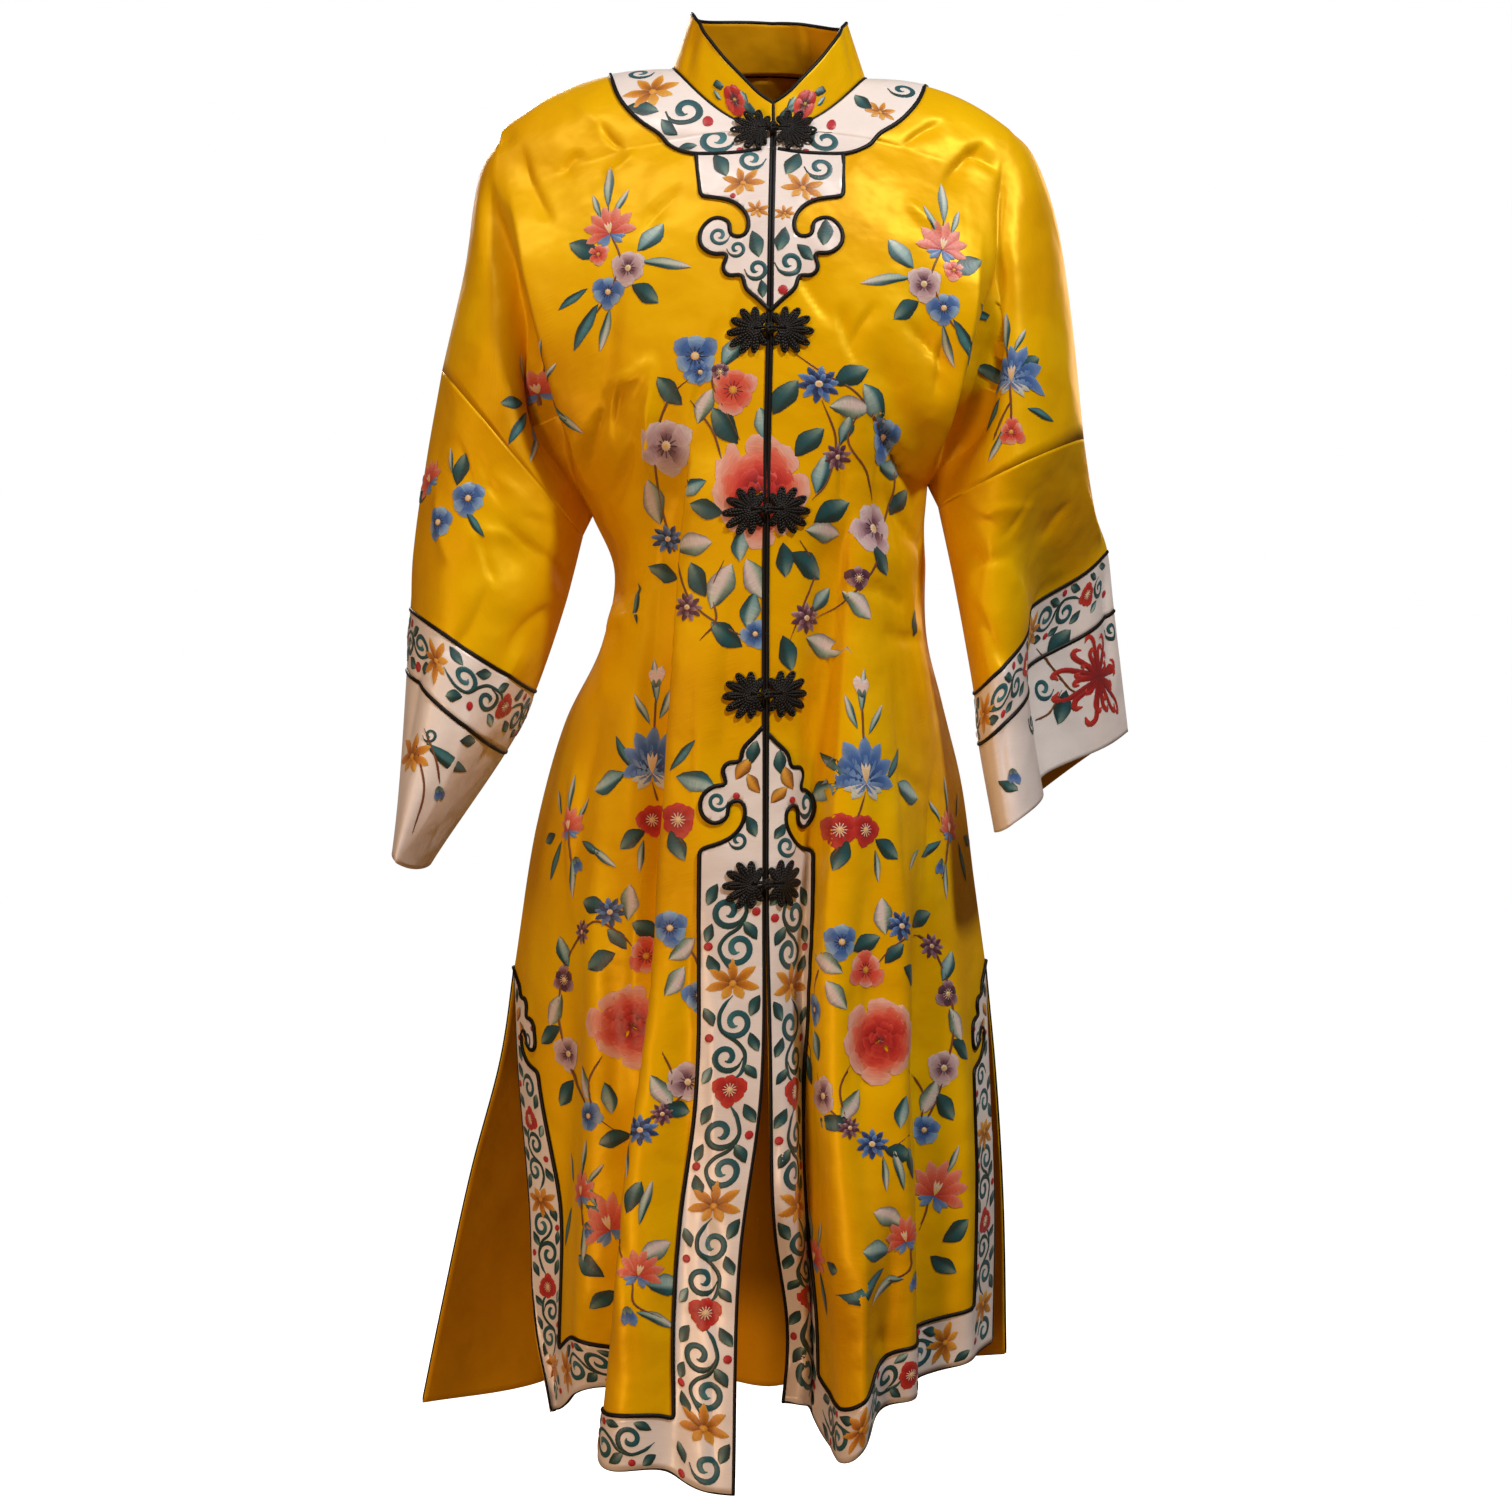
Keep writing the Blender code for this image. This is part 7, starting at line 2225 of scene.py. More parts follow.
# Each kind of motif, made at a size in millimetres.
MOTIFS = {
    "peony": peony,
    "mauve": lambda size: blossom(size, "plum mauve lilac pale|mauve lilac pale", 6, "gold cream", "plum"),
    "plum": lambda size: blossom(size, "plum mauve lilac|plum plum mauve", 6, "gold cream"),
    "blue": lambda size: blossom(size, "navy blue sky mist|blue blue sky", 6, "cream gold", "navy"),
    "red": lambda size: blossom(size, "wine red scarlet", 6, "cream gold", "cream"),
    "ruby": lambda size: blossom(size, "ink red scarlet|wine scarlet coral", 5, "gold ink", "ink"),
    "fan": lambda size: blossom(
        size, "red scarlet coral peach|scarlet coral blush", 6, "gold orange", "wine"
    ),
    "daisy": lambda size: daisy(size, "navy blue sky|navy navy blue", 10, tilt=0.85),
    "plum_daisy": lambda size: daisy(size, "plum mauve lilac|wine plum mauve", 10, tilt=0.85),
    "lotus": lotus,
    "aster": lambda size: [
        *lotus(size, "navy blue sky", "pale celadon"), *moved(lotus(size * 0.7, "sky blue"), (0, -1)),
    ],
    "spider": spider,
    "lily": lily,
    "bud": bud,
    "blue_bud": lambda size: bud(size, "navy blue sky"),
    "dark": lambda size: leaf(size, "ink moss teal|moss teal sage", 12),
    "pale": lambda size: leaf(size, "moss sage celadon|celadon pale pale", 10),
    "sea": lambda size: leaf(size, "moss teal sea|sea mist celadon", -12),
    "reed": lambda size: leaf(size, "moss teal mist|sea celadon pale", 8, 0.2),
    "dark_reed": lambda size: leaf(size, "ink moss teal|teal sea teal", -8, 0.22),
    "berry": lambda size: [knot(size / 2)],
    "gold_leaf": lambda size: leaf(size, "bark orange|orange gold", 14),
    "scroll": lambda size: [spiral(size / 2, 1.3, size * 0.17, "moss teal teal", degrees=180)],
    "scroll_back": lambda size: [spiral(size / 2, 1.3, size * 0.17, "teal teal sea", degrees=180, hand=-1)],
}

# How much larger motifs are sewn than the tables say, on the satin and on white.
FULLNESS = 1.25
WHITE_FULLNESS = 1.28

# Where the motifs lie: kind, pixel across, pixel down, size in millimetres and turn in degrees clockwise.
# Both chests carry one sprig, the middle a wreath round a peony, and so on down; the back repeats them.
WREATH = (
    ("peony", 762, 491, 73, 0), ("blue", 695, 356, 27, 0), ("blue", 883, 438, 27, 20),
    ("fan", 733, 390, 27, 10), ("daisy", 819, 384, 25, 10), ("mauve", 666, 446, 33, 0),
    ("mauve", 874, 528, 32, 15), ("plum_daisy", 838, 457, 19, 0), ("plum_daisy", 807, 618, 21, 0),
    ("plum_daisy", 687, 607, 19, 20), ("daisy", 668, 539, 20, -10), ("blue", 755, 634, 17, 30),
    ("plum", 859, 578, 14, 0), ("blue", 700, 372, 16, 0), ("pale", 652, 502, 23, -20),
    ("dark", 784, 395, 21, 30), ("dark", 832, 510, 22, 60), ("dark", 809, 564, 22, 120),
    ("pale", 720, 585, 24, 20), ("pale", 754, 580, 22, -30), ("dark", 723, 426, 22, -40),
    ("dark", 808, 440, 20, 40), ("sea", 876, 402, 22, -20), ("dark", 900, 502, 20, 60),
    ("pale", 692, 543, 22, 80), ("dark", 725, 636, 20, -60), ("pale", 822, 645, 21, 110),
    ("dark", 789, 653, 18, 160), ("sea", 749, 610, 18, 200), ("dark", 668, 392, 19, -50),
    ("sea", 733, 351, 18, 40), ("sea", 891, 472, 18, 120), ("pale", 824, 531, 20, 100),
    ("sea", 822, 475, 18, 20), ("dark", 884, 559, 18, 140), ("sea", 822, 601, 17, 60),
    ("pale", 860, 604, 19, 130), ("dark", 696, 580, 19, -30), ("dark", 851, 374, 20, 60),
    ("pale", 851, 406, 21, 90), ("sea", 763, 422, 16, 0), ("dark", 706, 510, 18, -80),
    ("sea", 690, 486, 17, -100), ("dark", 786, 560, 17, 170), ("sea", 846, 430, 15, 30),
    ("pale", 703, 405, 18, 20), ("sea", 739, 545, 16, 190), ("plum", 720, 372, 11, 0),
    ("dark", 664, 574, 17, -70), ("dark_reed", 636, 602, 22, 6), ("dark", 916, 622, 14, 0),
)
WREATH_STEMS = (
    ((700, 370), (668, 400), (655, 450), (660, 500), (672, 545), (690, 600), (730, 630), (760, 640)),
    ((736, 350), (712, 378), (726, 412), (740, 440)),
    (
        (790, 350), (822, 372), (858, 394), (884, 436), (896, 480), (884, 525), (876, 566), (846, 600),
        (810, 622),
    ),
    ((822, 400), (836, 440), (828, 480), (812, 500)), ((724, 560), (712, 590), (716, 620), (700, 640)),
    ((800, 540), (816, 570), (806, 600), (790, 640)), ((690, 400), (712, 430), (722, 460)),
    ((860, 410), (848, 440), (866, 470), (874, 500)),
)

SPRIG = (
    ("lotus", -6, -26, 30, -12), ("mauve", 12, 8, 21, 0), ("blue", -8, 32, 19, 10),
    ("reed", -8, -74, 24, -2), ("reed", 4, -58, 17, 24), ("reed", -20, -54, 15, -22),
    ("dark", -32, -10, 19, -70), ("sea", 36, -22, 19, 50), ("reed", 50, 2, 26, 96),
    ("dark_reed", -32, 66, 26, 212), ("reed", -10, 70, 22, 190), ("dark", 30, 32, 17, 120),
    ("dark_reed", -44, 38, 18, 240), ("fan", -18, -6, 13, 0),
)
SPRIG_STEMS = (((-8, -62), (-6, -30), (4, 0), (-8, 34), (-26, 62)),)

ASTER_SPRIG = (
    ("aster", 0, 0, 42, 0), ("reed", -4, -92, 22, 0), ("reed", -16, -70, 18, -24),
    ("reed", 10, -64, 18, 26), ("bud", -4, -84, 13, 0), ("red", -26, 48, 21, 0), ("red", 0, 48, 19, 20),
    ("dark", -24, 74, 17, 200), ("dark", 22, 66, 16, 120), ("sea", 44, 10, 22, 100),
    ("sea", -44, 8, 20, -100), ("dark_reed", 30, -18, 22, 40), ("dark_reed", -30, -18, 20, -40),
    ("reed", 12, 84, 16, 170),
)
ASTER_STEMS = (((-4, -80), (-2, -40), (0, -6)), ((0, 10), (-8, 34), (-24, 60), (-34, 76)))

SMALL_SPRIG = (
    ("lotus", 0, 0, 23, -8), ("reed", 2, -38, 19, 8), ("reed", -10, -28, 15, -20),
    ("reed", 14, -22, 14, 36), ("dark_reed", 20, 18, 20, 120), ("dark_reed", -14, 30, 22, 215),
    ("reed", 4, 48, 20, 178), ("blue_bud", 6, 26, 11, 160), ("reed", 34, 26, 20, 118),
    ("dark", -20, 8, 12, 260),
)
SMALL_STEMS = (((2, -34), (0, 0), (2, 26), (6, 46)),)

ROUND = (
    ("peony", 0, 0, 60, 0), ("blue", -38, -98, 21, 0), ("fan", -14, -70, 23, 0),
    ("daisy", 22, -114, 20, 10), ("plum_daisy", 52, -94, 17, 20), ("blue", -66, -30, 19, 10),
    ("mauve", -56, 56, 22, 0), ("daisy", -8, 104, 20, 0), ("blue", 44, 90, 18, 20),
    ("mauve", 64, 28, 21, 0), ("plum", 68, -46, 16, 0), ("plum_daisy", -30, 88, 15, 0),
    ("dark", -14, -98, 17, 60), ("pale", 2, -124, 18, -10), ("dark", 40, -122, 17, 70),
    ("pale", -52, -76, 17, -60), ("dark", 34, -66, 18, 110), ("sea", 70, -74, 17, 30),
    ("pale", 78, -16, 18, 150), ("dark", 84, 8, 16, 120), ("pale", 50, 58, 18, 200),
    ("dark", 66, 66, 17, 140), ("sea", 22, 72, 16, 200), ("dark", 20, 112, 16, 100),
    ("pale", -28, 66, 18, 210), ("dark", -46, 84, 16, 250), ("dark", -74, 30, 16, -30),
    ("sea", -66, 6, 15, -10), ("pale", -44, -44, 17, -40), ("dark", -78, -56, 15, -60),
    ("reed", 6, 134, 17, 170), ("dark", 14, -88, 14, 40),
)
ROUND_STEMS = (
    ((-30, -100), (-62, -70), (-72, -20), (-68, 30), (-50, 70), (-10, 98)),
    ((-14, -60), (10, -90), (40, -104), (64, -70), (74, -20), (66, 30), (46, 80), (10, 110)),
    ((30, 30), (44, 56), (40, 84)),
    ((-30, 26), (-40, 50), (-34, 80)),
)

LOW_SPRIG = (
    ("lotus", -14, -26, 34, -20), ("lotus", 14, 20, 25, 14), ("pale", 30, -6, 19, 60),
    ("dark", -38, 10, 18, -60), ("dark", 8, -60, 17, 20), ("reed", 20, -54, 22, 12),
    ("sea", 42, 30, 20, 100), ("blue_bud", 2, 50, 12, 170), ("dark_reed", 50, 72, 32, 128),
    ("reed", 34, 62, 24, 110), ("dark", -22, 44, 16, 230), ("reed", -34, -62, 16, -30),
)
LOW_STEMS = (((-12, -50), (-6, -10), (8, 24), (10, 48), (38, 62)),)

SLEEVE_SPRIG = (
    ("lotus", -20, -18, 24, -30), ("blue", 18, -2, 21, 0), ("blue", -12, 22, 21, 20),
    ("dark", 10, -32, 17, 10), ("dark", -30, -4, 14, -70), ("dark_reed", 24, 24, 17, 150),
    ("reed", 0, -40, 14, -10),
)
OVERARM_SPRIG = (
    ("aster", 0, 0, 34, 0), ("reed", -6, -48, 20, -4), ("reed", 8, -40, 14, 24), ("fan", 0, 52, 16, 0),
    ("dark_reed", 30, 34, 18, 110), ("dark_reed", -20, 34, 18, 215), ("dark", 18, -18, 14, 50),
    ("reed", -14, 66, 18, 200), ("dark", -24, -8, 14, -80),
)
OVERARM_STEMS = (((-5, -42), (-2, -6), (0, 26), (0, 50)), ((0, 20), (-10, 40), (-18, 60)))

# Each group: its rows, its stems, and where it lies, as pixel across, pixel down and mirrored or not.
GROUPS = (
    (WREATH, WREATH_STEMS, (0, 0, False)),
    (SPRIG, SPRIG_STEMS, (616, 260, False)),
    (SPRIG, SPRIG_STEMS, (936, 276, True)),
    (ASTER_SPRIG, ASTER_STEMS, (652, 772, True)),
    (ASTER_SPRIG, ASTER_STEMS, (866, 782, False)),
    (SMALL_SPRIG, SMALL_STEMS, (568, 830, False)),
    (SMALL_SPRIG, SMALL_STEMS, (950, 832, True)),
    (ROUND, ROUND_STEMS, (632, 1026, True)),
    (ROUND, ROUND_STEMS, (880, 1040, False)),
    (LOW_SPRIG, LOW_STEMS, (624, 1256, False)),
    (LOW_SPRIG, LOW_STEMS, (920, 1222, True)),
    (SMALL_SPRIG, SMALL_STEMS, (812, 1262, True)),
    (SMALL_SPRIG, SMALL_STEMS, (580, 1196, False)),
    (OVERARM_SPRIG, OVERARM_STEMS, (1011, 380, False)),
    (SMALL_SPRIG, SMALL_STEMS, (533, 395, False)),
    (SLEEVE_SPRIG, (), (450, 500, False)),
)

# Motifs on the white pieces of the front, placed in the same way and lifted by the white cloth.
ON_WHITE = (
    ("lily", 653, 92, 34, -40), ("scroll", 686, 111, 23, 0), ("scroll_back", 716, 139, 22, 0),
    ("berry", 708, 122, 8, 0), ("dark", 688, 147, 17, 80), ("dark", 643, 108, 17, 100),
    ("scroll_back", 640, 74, 16, 0), ("dark", 668, 130, 12, -50), ("berry", 740, 150, 5, 0),
    ("scroll", 826, 141, 20, 90), ("scroll_back", 854, 133, 23, 0), ("berry", 831, 126, 7, 0),
    ("lily", 880, 113, 33, 20), ("scroll", 903, 90, 17, 0), ("dark", 862, 103, 14, -40),
    ("dark", 844, 154, 14, 80), ("dark", 922, 88, 14, 20), ("berry", 806, 152, 5, 0),
    ("dark", 700, 156, 11, 80), ("dark", 872, 142, 12, 60), ("dark", 722, 165, 15, 150),
    ("scroll_back", 751, 159, 16, 0), ("lily", 743, 184, 24, -14), ("lily", 757, 211, 14, 12),
    ("berry", 733, 196, 4, 0), ("scroll", 737, 249, 13, 0), ("dark", 757, 244, 14, 160),
    ("scroll_back", 719, 236, 12, 0), ("scroll", 757, 269, 14, 0), ("dark", 763, 289, 9, 170),
    ("dark", 794, 164, 15, 200), ("scroll", 820, 168, 17, 0), ("lily", 803, 189, 24, 14),
    ("lily", 785, 214, 14, -12), ("dark", 826, 233, 14, 180), ("scroll", 790, 263, 16, 0),
    ("dark", 806, 252, 11, 130), ("berry", 783, 290, 7, 0), ("dark", 783, 240, 13, 190),
    ("berry", 812, 200, 4, 0), ("gold_leaf", 742, 768, 16, 30), ("gold_leaf", 752, 784, 14, -40),
    ("dark", 752, 752, 12, 10), ("gold_leaf", 786, 778, 16, -30), ("gold_leaf", 778, 794, 14, 40),
    ("dark", 779, 762, 12, -10), ("scroll_back", 717, 801, 17, 0), ("scroll", 806, 804, 17, 0),
    ("berry", 736, 796, 5, 0), ("berry", 792, 800, 5, 0), ("dark", 752, 826, 13, 150),
    ("dark", 780, 832, 13, -150), ("scroll", 738, 840, 13, 0), ("scroll_back", 786, 846, 13, 0),
)
# The same for the neck border's back, in pixels of the view from behind.
ON_BACK_YOKE = (
    ("lily", 769, 66, 28, 0), ("scroll", 742, 62, 15, 0), ("scroll_back", 796, 62, 15, 0),
    ("dark", 752, 80, 13, 50), ("dark", 786, 80, 13, -50), ("red", 712, 66, 20, 0), ("red", 826, 66, 20, 0),
    ("dark", 725, 52, 12, 20), ("dark", 813, 52, 12, -20), ("scroll_back", 688, 74, 15, 0),
    ("scroll", 850, 74, 15, 0), ("lily", 664, 62, 22, -20), ("lily", 874, 62, 22, 20),
    ("dark", 645, 76, 12, 40), ("dark", 893, 76, 12, -40), ("berry", 700, 88, 5, 0),
    ("berry", 838, 88, 5, 0), ("scroll", 640, 56, 13, 0), ("scroll_back", 899, 56, 13, 0),
)
# The cloud head at the slit's top: kind, millimetres from the slit's edge and down, size and turn.
SLIT_HEAD = (
    ("gold_leaf", 9, 33, 12, 30), ("dark", 7, 20, 10, 0), ("gold_leaf", 14, 44, 11, -40),
    ("scroll", 24, 50, 13, 0), ("berry", 9, 50, 4, 0), ("dark", 10, 61, 11, 150), ("berry", 33, 42, 4, 0),
)
# Each half of the collar: kind, degrees round from the front, millimetres over the seam, size and turn.
COLLAR_MOTIFS = (
    ("ruby", 24, 14.0, 22, 0), ("dark", 12, 12.0, 12, -70), ("sea", 15, 19.5, 9, -40),
    ("dark", 34, 17.5, 11, 60), ("sea", 35, 9.5, 8, 110),
)
# How far round its sleeve band each vine starts.
BAND_PHASE = {"right": 0.02, "left": 0.04}
# The motifs and stems of the cuffs, placed like those of the front.
CUFF_MOTIFS = {
    "right": (("lily", 411, 756, 30, 20), ("dark_reed", 446, 761, 30, 130), ("blue_bud", 438, 786, 10, 170),
              ("scroll", 430, 735, 9, 0), ("dark", 470, 742, 12, 110)),
    "left": (("spider", 1099, 677, 56, 0), ("dark", 1058, 640, 20, 40), ("dark", 1064, 708, 19, 190),
             ("scroll_back", 1043, 688, 15, 0), ("scroll", 1112, 630, 13, 0), ("scroll", 1033, 722, 14, 0),
             ("blue_bud", 1012, 768, 10, 170), ("dark", 1008, 786, 10, 120)),
}
CUFF_STEMS = {
    "right": (((424, 728), (436, 760), (440, 784)), ((416, 745), (424, 790), (413, 834))),
    "left": (((1037, 648), (1056, 672), (1075, 692), (1092, 684)), ((1062, 690), (1050, 712), (1036, 720))),
}

# One length of the borders' vine in millimetres: kind, distance along it, share of its width from the edge,
# size and turn. It repeats every VINE_LENGTH, so that a red blossom and a lily take turns.
VINE_LENGTH = 150.0
VINE_WIDTH = 45.0
VINE = (
    ("red", 0, 0.50, 24, 0), ("dark", 17, 0.82, 14, 150), ("dark", 16, 0.18, 14, 210),
    ("scroll", 29, 0.58, 25, 0), ("berry", 30, 0.14, 6, 0), ("dark", 42, 0.22, 14, 30),
    ("dark", 43, 0.86, 12, 160), ("scroll_back", 54, 0.42, 25, 0), ("berry", 52, 0.86, 6, 0),
    ("dark", 65, 0.80, 14, 200), ("lily", 78, 0.50, 38, 0), ("dark", 93, 0.18, 14, 150),
    ("scroll_back", 104, 0.44, 24, 0), ("dark", 100, 0.84, 13, 20), ("berry", 115, 0.84, 6, 0),
    ("dark", 118, 0.18, 13, 200), ("scroll", 128, 0.58, 23, 0), ("dark", 137, 0.20, 12, 40),
    ("sea", 141, 0.84, 12, 160),
)
VINE_STEMS = (
    (
        (9, 0.5), (15, 0.40), (20, 0.34), (30, 0.29), (40, 0.40), (46, 0.60), (54, 0.70), (64, 0.60),
        (70, 0.52),
    ),
    ((86, 0.5), (92, 0.62), (100, 0.70), (110, 0.66), (118, 0.42), (126, 0.30), (138, 0.34), (144, 0.5)),
)


class Needlework:
    """Collects the patches that lie on each ground, to make one piece of each."""

    def __init__(self):
        grids = cloth()
        self.grounds = {key: grids[key] for key in grids if key != "back"}
        self.placed = {key: [] for key in self.grounds}
        self.height = bpy.context.scene.robe_sizes.stitch_height
        self.views = {}
        self.whites = {}
        for name in border_lines():
            ground, loop = outline_of(name)
            if name.endswith("_back"):
                for side in SIDES:
                    mirrored = (loop - [ground.middle, 0]) * [SIDES[side], 1]
                    self.whites.setdefault((side, "back"), []).append(mirrored)
            else:
                side = name.split("_")[1]
                self.whites.setdefault((side, "front"), []).append(loop)
        for key, ground in self.grounds.items():
            for face in FACES:
                if key[1] in (face, "sleeve"):
                    self.views[key, face] = View(ground, face, key[1] == "sleeve")

    def white_over(self, key, flat):
        """Which places lie under a white border piece."""
        found = np.zeros(len(flat), bool)
        for outline in self.whites.get(key, ()):
            found |= inside(outline, flat)
        return found

    def fits(self, key, flat, base):
        """Whether a motif whose foot lies at base may lie there: on a white piece it has to be all on
        white."""
        return base < BORDER_LIFT or not self.whites.get(key) or self.white_over(key, flat).all()

    def add(self, key, parts, places, base):
        """Lays patches on a ground. Points past its edges are brought to the edge, where their faces
        vanish, and patches that would lie under a white piece are left out."""
        ground = self.grounds[key]
        kept, kept_places = [], []
        for part, flat in zip(parts, places):
            flat = flat.reshape(-1, 2).copy()
            if key[1] == "sleeve":
                flat[:, 1] = np.clip(flat[:, 1], 0, len(ground.rings) - 1)
            else:
                most = np.where(flat[:, 1] > ROWS_ABOVE, ground.width, ground.shape[1] - 1)
                flat = np.clip(flat, 0, np.stack([most, np.full(len(flat), ground.last_row)], axis=1))
            if base < BORDER_LIFT:
                under = self.white_over(key, flat).mean()
                if under > MOST_UNDER:
                    continue
                if under:
                    part = {**part, "height": part["height"] * LOWERED}
            kept.append(part)
            kept_places.append(flat)
        self.placed[key] += lay_patches(ground, kept, kept_places, self.height, base)

    def nearest(self, face, across, down, only=None):
        """The ground that the view shows at a pixel, its column and row there, and how many pixels off."""
        found = []
        for (key, its_face), view in self.views.items():
            if its_face == face and (only is None or key == only):
                column, row, apart = view.anchor(across, down)
                depth = view.ground.points[row, column, 1] * TOWARDS[face]
                found.append((apart, depth, key, column, row))
        least = min(found)[0]
        return max((item for item in found if item[0] < least + LAYERS), key=lambda item: item[1])

    def line(self, face, points, width, silks, base, only=None):
        """Lays a stem through the given pixels, each point of it at its own place in the view."""
        whole = stroke(points, width / PIXEL, silks)
        middle = whole["flat"][len(whole["flat"]) // 2, 2]
        apart, _, key, _, _ = self.nearest(face, *middle, only)
        if apart > FAR_OFF:
            return
        view = self.views[key, face]
        places = []
        for across, down in whole["flat"].reshape(-1, 2):
            column, row, _ = view.anchor(across, down)
            off = view.off(across, down, column, row)
            places.append(np.array([column, row]) + view.steps(column, row) @ off)
        self.add(key, [whole], [np.array(places)], base)

    def at_pixel(self, face, parts, across, down, base=STITCH_FOOT, only=None):
        """Lays a motif round the place that the view shows at a pixel, and on the other front or half too
        where it reaches across the middle. A motif on a white piece shrinks until it fits."""
        apart, _, key, column, row = self.nearest(face, across, down, only)
        if apart > FAR_OFF:
            return
        view = self.views[key, face]
        off = view.off(across, down, column, row)
        steps = view.steps(column, row)
        for shrink in (1.0, 0.85, 0.7, 0.55):
            places = [np.array([column, row]) + (part["flat"] * shrink + off) @ steps.T for part in parts]
            flat = np.concatenate([place.reshape(-1, 2) for place in places])
            if self.fits(key, flat, base):
                break
        else:
            return
        self.add(key, parts, places, base)
        if key[1] == "sleeve" or row < NECK_ROWS or base > BORDER_LIFT:
            return
        out = view.ground.across[row, column] * 1000
        reach = max(np.linalg.norm(part["flat"], axis=-1).max() for part in parts)
        if out < reach:
            other = ("left" if key[0] == "right" else "right", key[1])
            ground = self.grounds[other]
            height = view.ground.points[row, 0, 2]
            its_row = int(round(float(ground.row_at(height, 0)))) if row > NECK_ROWS else row
            steps = self.views[other, face].steps(0, its_row)
            edge = seen(view.ground.points[row, column], face)[0] - seen(ground.points[its_row, 0], face)[0]
            shift = np.array([edge * PIXEL, 0]) + off
            places = [np.array([0, its_row]) + (part["flat"] + shift) @ steps.T for part in parts]
            self.add(other, parts, places, base)

    def group(self, face, rows, stems, place, base=STITCH_FOOT, only=None):
        """Lays a group of motifs over its stems, about a pixel and mirrored or not."""
        left, top, mirror = place
        way = -1 if mirror else 1
        for line in stems:
            pixels = np.array(line, float) * [way, 1] + [left, top]
            self.line(face, pixels, STEM_WIDTH, "brown bark brown", base, only)
        for kind, across, down, size, turn in rows:
            full = FULLNESS if kind != "peony" and base < BORDER_LIFT else 1
            if base > BORDER_LIFT and kind.startswith(("scroll", "lily", "dark")):
                full = WHITE_FULLNESS
            parts = moved(MOTIFS[kind](size * full), degrees=turn)
            if mirror:
                parts = moved(parts, mirror=True)
            self.at_pixel(face, parts, left + way * across, top + down, base, only)

    def vine(self, key, length, width, chart, phase=0.0, skip=0.0, base=WHITE_FOOT):
        """Lays the borders' vine along a strip: chart turns distance along and distance in from the edge,
        both in metres, into columns and rows."""
        scale = width / (VINE_WIDTH / 1000)
        step = VINE_LENGTH / 1000 * scale
        start = -step + phase
        motifs = []
        while start < length:
            moves = (0, -start / scale * 1000)
            for line in VINE_STEMS:
                flat = np.array([(share * VINE_WIDTH, -along) for along, share in line])
                motifs.append(moved([stroke(flat, VINE_STEM_WIDTH, "teal moss teal")], moves))
            for kind, along, share, size, turn in VINE:
                spot = (share * VINE_WIDTH, -along - start / scale * 1000)
                motifs.append(moved(moved(MOTIFS[kind](size), degrees=turn), spot))
            start += step
        for parts in motifs:
            flats = [part["flat"].reshape(-1, 2) * scale / 1000 for part in parts]
            flat = np.concatenate(flats)
            inner = (flat[:, 0].min() > 0.0005) & (flat[:, 0].max() < width - 0.0005)
            if inner and -flat[:, 1].max() > skip and -flat[:, 1].min() < length:
                self.add(key, parts, [chart(-flat[:, 1], flat[:, 0]) for flat in flats], base)

    def strips(self, side, face):
        """The vines of one front or half of the back: down the opening, along the hem and up the slit."""
        ground = self.grounds[side, face]
        down_edge = ground.down[:, 0]
        hem_edge = ground.across[-1, : ground.width + 1]
        side_edge = ground.down[:, ground.width]
        slit_row = float(ground.row_at(SLIT_TOPS[side], ground.width))
        side_length = side_edge[-1] - np.interp(slit_row, range(len(side_edge)), side_edge)
        head_row = float(ground.row_at(HEAD_TOPS[side], 0))
        head = np.interp(head_row, range(len(down_edge)), down_edge)

        def opening(along, out):
            """Along the opening from the cloud head down, and out from its edge."""
            rows = np.interp(head + along, down_edge, range(len(down_edge)))
            return np.stack([ground.from_middle(out, rows), rows], axis=1)

        def hem(along, up):
            """Along the hem from the middle edge, and up from it."""
            columns = np.interp(along, hem_edge, range(len(hem_edge)))
            return np.stack([columns, ground.above_hem(up, columns)], axis=1)

        def slit(along, out):
            """Up the slit from the hem, and in from its edge."""
            rows = np.interp(side_edge[-1] - along, side_edge, range(len(side_edge)))
            return np.stack([ground.from_side(out, rows), rows], axis=1)

        start = 0.0
        if face == "front":
            self.vine((side, face), down_edge[-1] - head, STRIP_WIDTH, opening, phase=0.096, skip=0.088)
            start = STRIP_WIDTH
        self.vine((side, face), hem_edge[-1] - SLIT_STRIP_WIDTH, HEM_WIDTH, hem, phase=0.05, skip=start)
        self.vine((side, face), side_length - 0.068, SLIT_STRIP_WIDTH, slit, phase=0.09)
        for kind, out, down, size, turn in SLIT_HEAD:
            for part in moved(MOTIFS[kind](size), degrees=turn):
                flat = part["flat"].reshape(-1, 2)
                places = slit(side_length - (down - flat[:, 1]) / 1000, (out + flat[:, 0]) / 1000)
                self.add((side, face), [part], [places], WHITE_FOOT)

    def band(self, side):
        """The vine round a sleeve band."""
        sleeve = self.grounds[side, "sleeve"]
        top, low = int(sleeve.row_at(2)), int(sleeve.row_at(3))
        middle = (top + low) // 2
        round_edge = sleeve.across[middle]
        drop = float((sleeve.down[low] - sleeve.down[top]).min())

        def around(along, out):
            """Round the band, and down from its upper seam."""
            columns = np.interp(along, round_edge, range(len(round_edge)))
            at = np.clip(columns.astype(int), 0, sleeve.down.shape[1] - 1)
            share = out / (sleeve.down[low, at] - sleeve.down[top, at])
            return np.stack([columns, top + share * (low - top)], axis=1)

        self.vine((side, "sleeve"), round_edge[-1], drop, around, BAND_PHASE[side], base=STITCH_FOOT)


